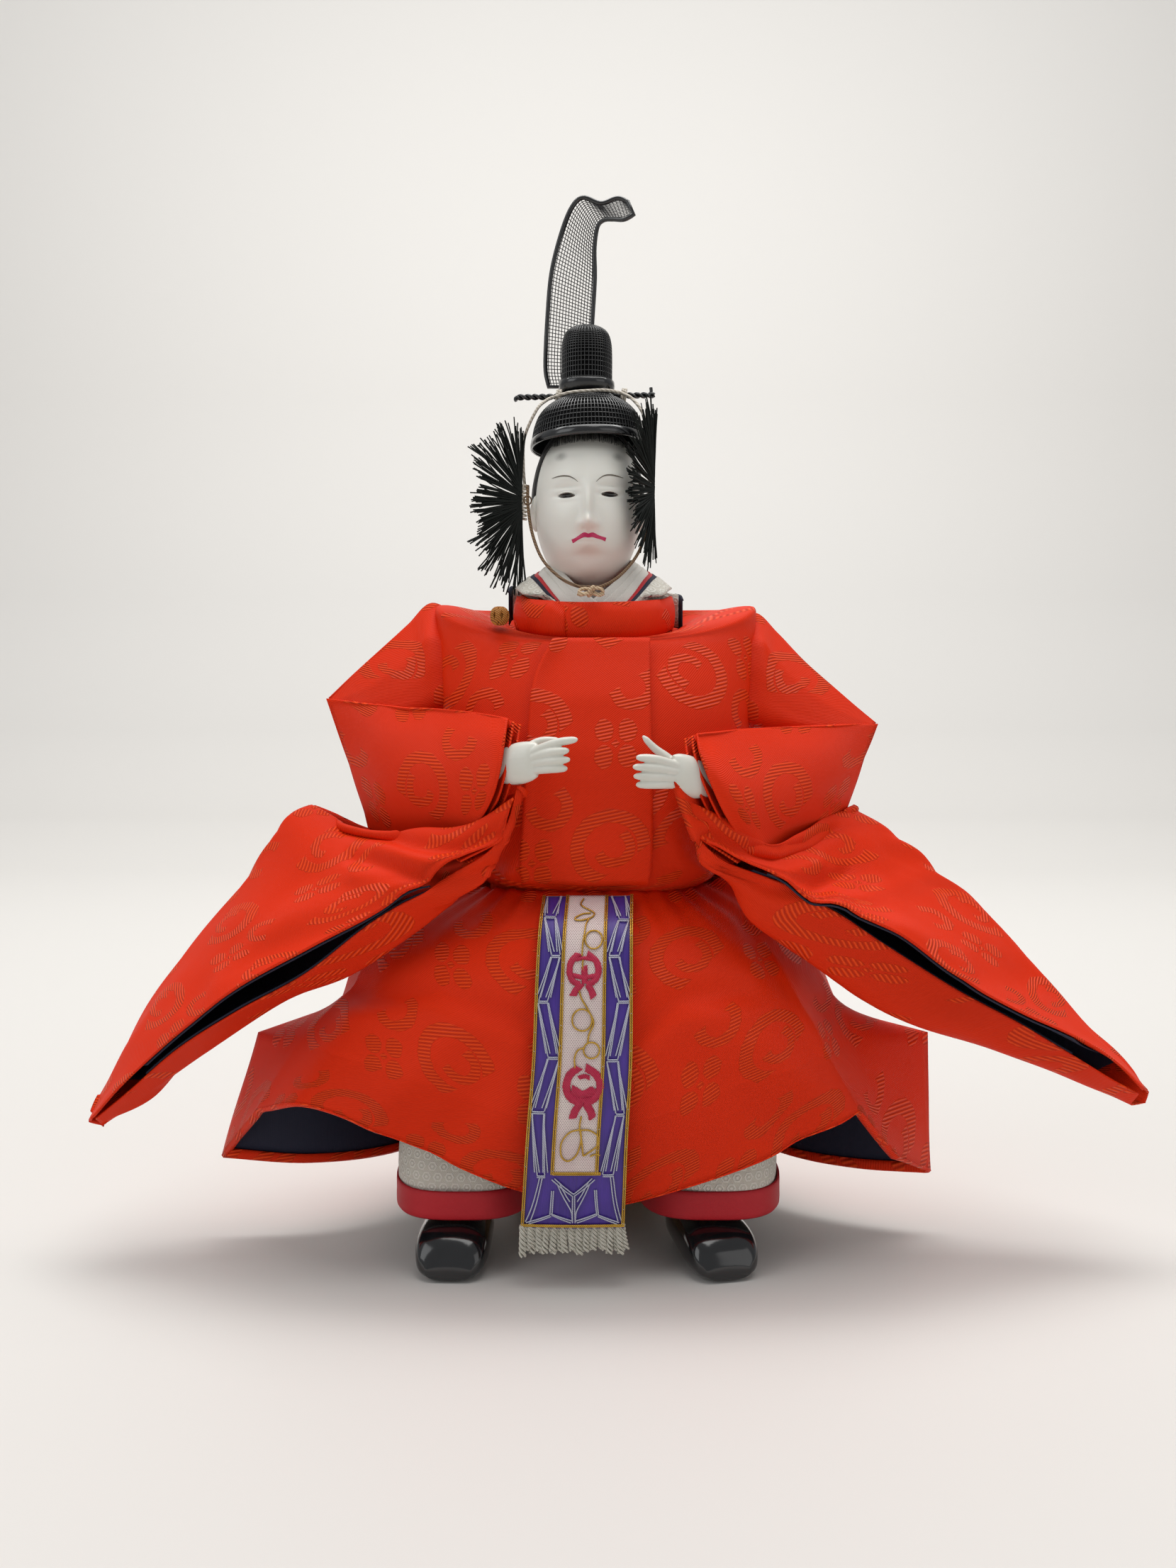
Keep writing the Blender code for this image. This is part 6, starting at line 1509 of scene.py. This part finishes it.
hand("right", (-21.0, -40.6, 128.0), (-10, -47.5, 130.0),
     [((-2.4, -50.6, 134.6), (-8.0, -48.8, 133.6), (-14.0, -45.6, 131.2)),
      ((-4.4, -50.8, 132.0), (-9.0, -49.0, 131.5), (-14.0, -45.6, 130.0)),
      ((-4.2, -50.7, 129.9), (-9.2, -48.9, 129.5), (-14.0, -45.4, 128.6)),
      ((-4.8, -50.2, 127.8), (-9.4, -48.6, 127.6), (-14.0, -45.0, 127.2))],
     [(-16.0, -43.0, 131.0), (-11.5, -43.6, 134.0), (-6.6, -44.8, 134.4)])
hand("left", (28.4, -39.9, 124.4), (18.5, -47.5, 127.4),
     [((11.2, -50.8, 130.4), (16.0, -49.1, 129.9), (21.5, -45.8, 128.2)),
      ((10.4, -51.0, 128.2), (15.8, -49.3, 127.9), (21.5, -45.8, 126.9)),
      ((10.6, -50.7, 126.0), (15.9, -49.1, 125.9), (21.5, -45.4, 125.4)),
      ((11.2, -50.1, 124.0), (16.2, -48.7, 124.0), (21.5, -45.0, 124.0))],
     [(22.6, -43.4, 126.6), (18.6, -44.4, 130.2), (15.6, -45.0, 132.6), (12.9, -45.6, 135.4)])


# The shoe's length, width and height, and how far behind its middle the mouth lies
SHOE = (33.0, 18.6, 12.6)
SHOE_MOUTH = 6


def shoes():
    """Black lacquered court shoes, hollow, with a thick rounded lip and a dark inside."""
    inside_finish = Finish("shoe_inside", srgb(74, 24, 30), 0.9)
    inside_finish.drive("Base Color", inside_finish.noise(1.5).mix(srgb(58, 18, 24), srgb(88, 32, 38)))
    gloss = lacquer("shoe_lacquer", srgb(15, 15, 17), 0.14)
    for name, x, toe_out in (("right", -34.0, -2), ("left", 31.5, 12)):
        foot = np.array([x, -20.0, 0])
        turn = math.radians(toe_out)
        forward = np.array([math.sin(turn), -math.cos(turn), 0])
        aside = np.array([math.cos(turn), math.sin(turn), 0])
        shape = curve([(-0.50, 0.30, 0.45), (-0.46, 0.40, 0.80), (-0.30, 0.46, 1.0), (0.0, 0.49, 1.0),
                       (0.22, 0.50, 0.98), (0.36, 0.48, 0.86), (0.45, 0.42, 0.62), (0.50, 0.30, 0.34)], 6)
        rows = []
        for share, half, high in shape:
            height = SHOE[2] * high
            low = 0.05 + 0.8 * max(0, (abs(share + 0.01) - 0.42) / 0.09)
            middle = foot + forward * (share * SHOE[0]) + (0, 0, (height + low) / 2)
            rows.append(ring(middle, aside, (0, 0, 1), SHOE[1] * half, (height - low) / 2, 64, 2.7))
        shoe = loft("shoe_%s_shell" % name, np.array(rows), gloss)
        foot = foot - forward * SHOE_MOUTH
        mouth = np.array([ring(foot + (0, 0, z), aside, forward, SHOE[1] * 0.36, 9.0, 60, 2.4, 9.5)
                          for z in (4.4, 9.0, 15.0)])
        cutter = loft("mouth", mouth, inside_finish.material)
        cut = shoe.modifiers.new("Mouth", "BOOLEAN")
        cut.object = cutter
        cut.operation = "DIFFERENCE"
        cut.solver = "EXACT"
        applied(shoe).set_sharp_from_angle(angle=math.radians(55))
        bpy.data.objects.remove(cutter, do_unlink=True)
        settle(shoe, "shoe_" + name, slot="lacquer")
        lip = ring(foot + (0, 0, 12.35), aside, forward, SHOE[1] * 0.375, 9.3, 80, 2.4, 9.8)
        strung("shoe_%s_lip" % name, [lip], 0.55, gloss, "lacquer", closed=True)


shoes()


SASH_LINE = curve([(0.0, -30.5, 95.6), (-0.6, -41.6, 87.5), (-1.0, -45.6, 74), (-1.4, -46.0, 58),
                   (-2.6, -44.8, 40), (-3.4, -42.0, 24), (-3.8, -40.6, 15.8)], 20)
# The sash's pattern drawing: how far down, its left and right edges there, and the share of the sash
SASH_DRAWING = np.array([
    (60, 75, 430, 0.0), (200, 68, 430, 0.123), (300, 62, 432, 0.209), (400, 56, 434, 0.280),
    (600, 50, 430, 0.411), (800, 44, 421, 0.532), (1000, 38, 412, 0.646), (1200, 24, 408, 0.772),
    (1395, 8, 405, 0.99)], float)


def sash_point(s, t, lift=0.0):
    """A place on the sash: s across from -1 to 1, t down from 0 to 1, lifted off the cloth."""
    at = np.clip(t, 0, 1) * (len(SASH_LINE) - 1)
    k = np.clip(at.astype(int), 0, len(SASH_LINE) - 2)
    p = SASH_LINE[k] + (SASH_LINE[k + 1] - SASH_LINE[k]) * (at - k)[..., None]
    run = unit(SASH_LINE[k + 1] - SASH_LINE[k])
    off = np.stack([0 * s, run[..., 2], -run[..., 1]], -1)
    half = 11.3 * (1.0 + 0.12 * (95 - p[..., 2]) / 80)
    edge = 0.22 * np.sin(t * 31 + s * 1.7) * np.abs(s) ** 3
    return p + np.stack([half * s, 0.55 * s * s - 0.55, 0 * s], -1) + off * (lift + edge)[..., None]


def drawn(points, lift=0.3):
    """Places on the sash, read across and down in the units of its pattern drawing."""
    points = np.asarray(points, float)
    left, right, t = (np.interp(points[:, 1], SASH_DRAWING[:, 0], SASH_DRAWING[:, k]) for k in (1, 2, 3))
    return sash_point(2 * (points[:, 0] - left) / (right - left) - 1, t, np.broadcast_to(lift, len(points)))


def loop_line(x, y, wide, tall, turn=0.0):
    a = np.linspace(turn, turn + 2 * math.pi * 1.04, 40)
    return np.stack([x + wide * np.cos(a), y + tall * np.sin(a)], 1)


def soft_line(points):
    return curve([(x, y, 0) for x, y in points], 8)[:, :2]


def floss(name, colour, dark):
    """Silk floss laid side by side down the sash: a satin of fine straight fibres."""
    made = Finish(name, colour, 0.4, Sheen_Weight=0.35, Sheen_Roughness=0.3)
    fibre = made.noise(1.0, 3.0, 0.6, (3.2, 0.10, 1), uv=True)
    patch_ = made.noise(7.0, 2.0, 0.5, (1.0, 0.5, 1), uv=True)
    made.relief(fibre, 0.12)
    made.drive("Base Color", (fibre * 0.6 + patch_ * 0.7 - 0.15).mix(dark, colour))
    made.drive("Roughness", fibre * 0.25 + 0.28)
    return made.material


def thread_finish(name, colour, dark, roughness, metal=0.0):
    made = Finish(name, colour, roughness, Metallic=metal)
    x, _, z = made.axes()
    twist = (x + z * 0.8).wave(0.5) * 0.5 + 0.5
    made.relief(twist, 0.05)
    # partly painted shade: the twist's grooves take the darker copy of the colour; the noise adds random tone
    made.drive("Base Color", (twist * 0.6 + made.noise(3.0) * 0.4).mix(dark, colour))
    return made.material


def net_ground():
    """The pinkish white gauze of the sash's middle, with its rows of small holes."""
    colour = srgb(226, 212, 208)
    made = Finish("pinkish_white_gauze", colour, 0.5, Sheen_Weight=0.2)
    u, v, _ = made.axes(uv=True)
    row = v.index(0.42)
    holes = (u + row * 0.29).cell(0.58).far(v.cell(0.42)).below(0.13, 0.06)
    cloud = made.noise(8.0, 2.0, uv=True)
    made.relief(1.0 - holes, 0.1)
    base = cloud.mix(srgb(214, 188, 192), srgb(232, 224, 214))
    made.drive("Base Color", holes.mix(base, srgb(176, 150, 150)))
    return made.material


def sash():
    """The embroidered sash: floss bands, gauze middle, gold cords, silver and magenta stitches."""
    violet = floss("violet_floss", srgb(82, 48, 168), srgb(34, 18, 92))
    # each thread's second colour is its own colour in shade, painted into its twist's grooves
    gold = thread_finish("gold_thread", srgb(226, 186, 84), srgb(150, 108, 30), 0.34, 0.75)
    silver = thread_finish("silver_white_thread", srgb(206, 208, 220), srgb(148, 150, 172), 0.36, 0.15)
    magenta = thread_finish("magenta_floss", srgb(214, 40, 84), srgb(150, 14, 52), 0.45)
    s, t = np.meshgrid(np.linspace(-1, 1, 41), np.linspace(0, 1, 120))
    rows = sash_point(s, t)
    inside = (0, 0, 55)
    piece = settle(cloth("sash_cloth", rows, violet, inside, thick=0.5), "sash", slot="embroidery")
    s, t = np.meshgrid(np.linspace(-0.46, 0.44, 21), np.linspace(0, 0.765, 90))
    middle = sash_point(s, t, np.full(s.shape, 0.22))
    gauze = cloth("sash_gauze", middle, net_ground(), inside, thick=0.18)
    on_it = [settle(gauze, slot="embroidery")]

    # the gold cords lie in pairs: along both sides and the foot, and round the gauze
    edges = []
    y, inner_y = np.linspace(62, 1392, 90), np.linspace(62, 1186, 70)
    left, right = (np.interp(y, SASH_DRAWING[:, 0], SASH_DRAWING[:, k]) for k in (1, 2))
    wide = np.interp(inner_y, SASH_DRAWING[:, 0], SASH_DRAWING[:, 2] - SASH_DRAWING[:, 1])
    start = np.interp(inner_y, SASH_DRAWING[:, 0], SASH_DRAWING[:, 1])
    for off in (0, 7):
        bottom = 1392 - off
        edges += [np.stack(pair, 1) for pair in (
            (left + 3 + off, np.minimum(y, bottom)), (right - 3 - off, np.minimum(y, bottom)),
            (np.linspace(10, 403, 30), np.full(30, bottom)), (start + wide * 0.268 + off, inner_y),
            (start + wide * 0.718 - off, inner_y), (np.linspace(132, 312, 20), np.full(20, 1186 - off)))]
    curls = [
        soft_line([(237, 80), (226, 108), (240, 126), (268, 145), (280, 160), (268, 178), (236, 190),
                   (210, 190), (208, 178), (236, 160), (266, 156)]),
        soft_line([(262, 180), (250, 205), (245, 240), (238, 285), (236, 330)]),
        loop_line(280, 268, 33, 33), loop_line(236, 580, 38, 42), loop_line(270, 700, 30, 32),
        soft_line([(225, 465), (236, 500), (262, 545), (280, 590), (262, 635), (256, 668)]),
        soft_line([(242, 690), (218, 700), (206, 730), (208, 768)]),
        soft_line([(237, 955), (232, 1000), (240, 1050), (246, 1108)]),
        soft_line([(234, 1008), (195, 1020), (166, 1060), (166, 1110), (190, 1130), (222, 1105),
                   (238, 1050), (236, 1010)]),
        soft_line([(236, 1010), (270, 1012), (300, 1035), (298, 1070), (262, 1100), (246, 1110)]),
        soft_line([(272, 1112), (290, 1104), (308, 1108)]), soft_line([(240, 345), (238, 370), (246, 392)])]
    lines = [drawn(line, 0.42) for line in edges] + [drawn(line, 0.5) for line in curls]
    on_it.append(strung("sash_gold_cord", lines, 0.21, gold, "embroidery", sides=6))
    tacks = []
    for k, line in enumerate(edges[:2] + edges[3:5]):
        sign = 1 if k in (0, 2) else -1
        for x0, y0 in line[3::5]:
            tacks.append(drawn([(x0 - 3 * sign, y0 - 2), (x0 + 3.5 * sign, y0), (x0 + 10 * sign, y0 + 2)],
                               np.array([0.35, 0.66, 0.35])))
    on_it.append(strung("sash_tack_stitches", tacks, 0.07, silver, "embroidery", sides=4))

    chance = np.random.default_rng(12)
    stitches = []
    bars_left = [(96, 148, 62), (90, 130, 175), (118, 150, 330), (68, 105, 510), (105, 145, 730),
                 (55, 100, 942), (75, 105, 1195)]
    bars_right = [(345, 400, 62), (375, 415, 185), (340, 380, 330), (375, 420, 510), (330, 370, 740),
                  (365, 395, 950), (320, 360, 1190)]
    for bars in (bars_left, bars_right):
        for a, b, y0 in bars[1:]:
            stitches += [[(a, y0 - 2), (b, y0 - 2)], [(a, y0 + 5), (b, y0 + 5)]]
        for (a, b, y0), (c, d, y1) in zip(bars, bars[1:]):
            for first, second in ((a, c), (b, d)):
                for k in range(3):
                    stitches.append([(first + chance.uniform(-3, 3), y0 + 4),
                                     (second + (k - 1) * 9 + chance.uniform(-2, 2),
                                      y1 - 5 - abs(k - 1) * 12)])
    stitches += [
        [(85, 1200), (28, 1368)], [(94, 1202), (44, 1372)], [(358, 1194), (392, 1362)],
        [(348, 1196), (380, 1366)], [(130, 1205), (208, 1250)], [(290, 1205), (214, 1250)],
        [(140, 1202), (212, 1244)], [(280, 1202), (212, 1244)], [(208, 1250), (207, 1372)],
        [(216, 1250), (217, 1372)], [(130, 1235), (122, 1330)], [(137, 1235), (130, 1330)],
        [(122, 1330), (30, 1374)], [(126, 1337), (40, 1381)], [(130, 1330), (200, 1372)],
        [(126, 1322), (208, 1362)], [(290, 1232), (300, 1330)], [(297, 1232), (306, 1330)],
        [(300, 1330), (224, 1372)], [(297, 1323), (218, 1362)], [(306, 1330), (384, 1374)],
        [(303, 1337), (376, 1382)], [(150, 1215), (200, 1300), (206, 1360)],
        [(272, 1215), (226, 1300), (218, 1360)], [(158, 1212), (198, 1268)], [(266, 1212), (226, 1268)]]
    lines = []
    for points in stitches:
        line = drawn(evenly([(x, y0, 0) for x, y0 in points], 12)[:, :2], 0.3)
        hump = np.sin(np.linspace(0, math.pi, 12)) * 0.2
        lines.append(line + np.stack([0 * hump, -hump, 0 * hump], 1))
    on_it.append(strung("sash_silver_stitches", lines, 0.17, silver, "embroidery", sides=5))

    flowers = [
        ([(222, 322), (195, 352), (188, 392), (202, 428), (228, 440)], 25),
        ([(258, 322), (290, 350), (300, 390), (284, 425), (258, 440)], 25),
        ([(212, 345), (245, 338), (280, 345)], 13), ([(205, 405), (245, 412), (290, 405)], 18),
        ([(245, 372), (247, 434)], 24), ([(232, 440), (214, 462), (202, 484)], 26),
        ([(258, 440), (272, 465), (280, 490)], 26),
        ([(222, 768), (190, 795), (178, 838), (192, 880), (228, 905)], 30),
        ([(250, 768), (288, 795), (304, 835), (290, 880), (255, 905)], 30),
        ([(225, 806), (245, 800), (262, 806)], 16), ([(200, 852), (240, 872), (285, 852)], 36),
        ([(212, 888), (245, 897), (272, 888)], 30), ([(232, 905), (214, 935), (206, 962)], 30),
        ([(252, 905), (270, 935), (278, 962)], 30)]
    lines = []
    for points, broad in flowers:
        points = [(x, y0, 0) for x, y0 in points]
        length = np.sum(np.linalg.norm(np.diff(evenly(points, 60), axis=0), axis=1))
        line = evenly(points, max(4, int(length / 4.2)))[:, :2]
        run = unit(np.gradient(line, axis=0))
        for (x0, y0), (dx, dy) in zip(line, run):
            across = np.array([-dy * 0.92 + dx * 0.4,
                               dx * 0.92 + dy * 0.4]) * broad / 2 * chance.uniform(0.88, 1.06)
            stitch = [(x0 + across[0] * k, y0 + across[1] * k) for k in (-1, -0.6, 0, 0.6, 1)]
            lines.append(drawn(stitch, np.array([0.3, 0.52, 0.62, 0.52, 0.3])))
    on_it.append(strung("sash_magenta_flowers", lines, 0.17, magenta, "embroidery", sides=5))
    as_sheet(piece, rows)

    # the second colour is the thread's own colour in shade, painted into its twist's grooves
    fringe = thread_finish("white_fringe_thread", srgb(222, 219, 208), srgb(150, 146, 132), 0.7)
    lines = []
    foot = SASH_LINE[-1]
    for k in range(26):
        x0 = foot[0] + 12.2 * (k - 12.5) / 12.5
        lean = chance.uniform(-0.9, 0.9)
        fall = 7.6 + chance.uniform(-1.2, 0.6) - 0.9 * abs(math.sin(k * 0.9))
        a = np.linspace(0, 1, 26)
        for phase in (0.0, 2.1, 4.2):
            twist = a * 13 + phase + k
            swell = 0.42 + 0.25 * a
            lines.append(np.stack([x0 + lean * a ** 1.5 + swell * np.cos(twist),
                                   foot[1] - 0.1 + 0.75 * a + swell * 0.8 * np.sin(twist) + 0.5 * (k % 2),
                                   foot[2] + 0.6 - fall * a], 1))
    strung("sash_fringe_tassels", lines, 0.34, fringe, "white_thread", "sash_fringe", sides=6)


sash()


def wood(name, light, dark):
    """Plain sawn wood: long grain along z, with a few darker rings."""
    made = Finish(name, light, 0.7)
    x, y, _ = made.axes()
    bend = made.noise(30.0, 2.0)
    rings = (x + y * 0.4 + bend * 9.0).wave(3.4) * 0.5 + 0.5
    grain = made.noise(1.2, 4.0, stretch=(2.5, 2.5, 0.12))
    made.relief(grain + rings * 0.4, 0.08)
    made.drive("Base Color", (rings * 0.45 + grain * 0.5).mix(dark, light))
    made.drive("Roughness", grain * 0.2 + 0.6)
    return made.material


def straw():
    """Bundled straw wound with thread."""
    made = Finish("bundled_straw", srgb(206, 178, 116), 0.75)
    z = made.axes()[2]
    stalk = made.noise(1.4, 3.0, stretch=(1.6, 1.6, 0.08))
    wound = abs(z.cell(7.0)).below(0.5, 0.2)
    made.relief(stalk + wound * 0.8, 0.5)
    made.drive("Base Color", wound.mix(stalk.mix(srgb(160, 128, 72), srgb(216, 190, 130)),
                                       srgb(226, 220, 204)))
    return made.material


def finish_inside():
    """Materials for the carried pieces, which are hidden or half hidden under the robe."""
    steel = Finish("arm_wire_steel", srgb(150, 150, 150), 0.35, Metallic=1.0)
    steel.drive("Roughness", steel.noise(2.0) * 0.25 + 0.28)
    seat = wood("seat_wood", srgb(200, 168, 122), srgb(158, 122, 78))
    carried = {"seat_block": seat, "leg_right": seat, "leg_left": seat, "torso_core": straw(),
               "arm_wire": steel.material, "waist_belt": silk, "neck_peg": face_white}
    for node, finish in carried.items():
        item = NODES[node]
        if not item.material_slots:
            item.data.materials.append(finish)
        for slot in item.material_slots:
            slot.material = finish


finish_inside()


# The camera, as the doll's reflection on the table gives it: metres, degrees and pixels
CAMERA_PLACE = (0.0, -0.373, 0.135)
CAMERA_TILT = 2.1
FOCAL_PIXELS = 1788
PICTURE_HEIGHT = 2212


def stage():
    """A pale floor that runs up into a pale wall, soft lamps, and the camera."""
    profile = [(-2.2, 0.0), (0.9, 0.0), (1.25, 0.03), (1.5, 0.14), (1.68, 0.36), (1.75, 0.7), (1.78, 2.6)]
    count = len(profile)
    mesh = bpy.data.meshes.new("floor_and_wall")
    mesh.from_pydata([(x, y, z) for x in (-3.2, 3.2) for y, z in profile], [],
                     [(k, count + k, count + k + 1, k + 1) for k in range(count - 1)])
    mesh.shade_smooth()
    mesh.materials.append(Finish("pale_floor", srgb(217, 214, 210), 0.55).material)
    linked("floor_and_wall", mesh)

    world = bpy.data.worlds.new("soft_room")
    bpy.context.scene.world = world
    world.use_nodes = True
    colour, strength = world.node_tree.nodes["Background"].inputs[:2]
    colour.default_value = (0.96, 0.98, 1.0, 1.0)
    strength.default_value = 0.36

    def lamp(name, where, at, size, power, colour):
        data = bpy.data.lights.new(name, "AREA")
        data.shape = "RECTANGLE"
        data.size, data.size_y = size
        data.energy = power
        data.color = colour
        item = linked(name, data)
        item.location = where
        item.rotation_euler = (Vector(at) - Vector(where)).to_track_quat("-Z", "Y").to_euler()

    target = (0, -0.03, 0.12)
    lamp("wall_light", (0.0, 0.25, 1.7), (0, 1.75, 0.5), (2.4, 0.6), 25.0, (1.0, 1.0, 0.99))
    lamp("ceiling_light", (0.1, -0.1, 1.5), target, (1.2, 1.2), 13.5, (1.0, 0.99, 0.97))
    lamp("window_light", (-1.2, -0.9, 0.9), target, (0.9, 1.1), 4.6, (0.97, 0.99, 1.0))
    lamp("room_light", (1.1, -1.1, 0.6), target, (1.0, 1.0), 2.2, (1.0, 0.98, 0.96))

    data = bpy.data.cameras.new("camera")
    data.sensor_fit = "VERTICAL"
    data.sensor_height = 36.0
    data.lens = data.sensor_height * FOCAL_PIXELS / PICTURE_HEIGHT
    data.clip_start = 0.01
    camera = linked("camera", data)
    camera.location = CAMERA_PLACE
    camera.rotation_euler = (math.radians(90 - CAMERA_TILT), 0.0, 0.0)
    bpy.context.scene.camera = camera
    bpy.context.scene.view_settings.view_transform = "Standard"


stage()
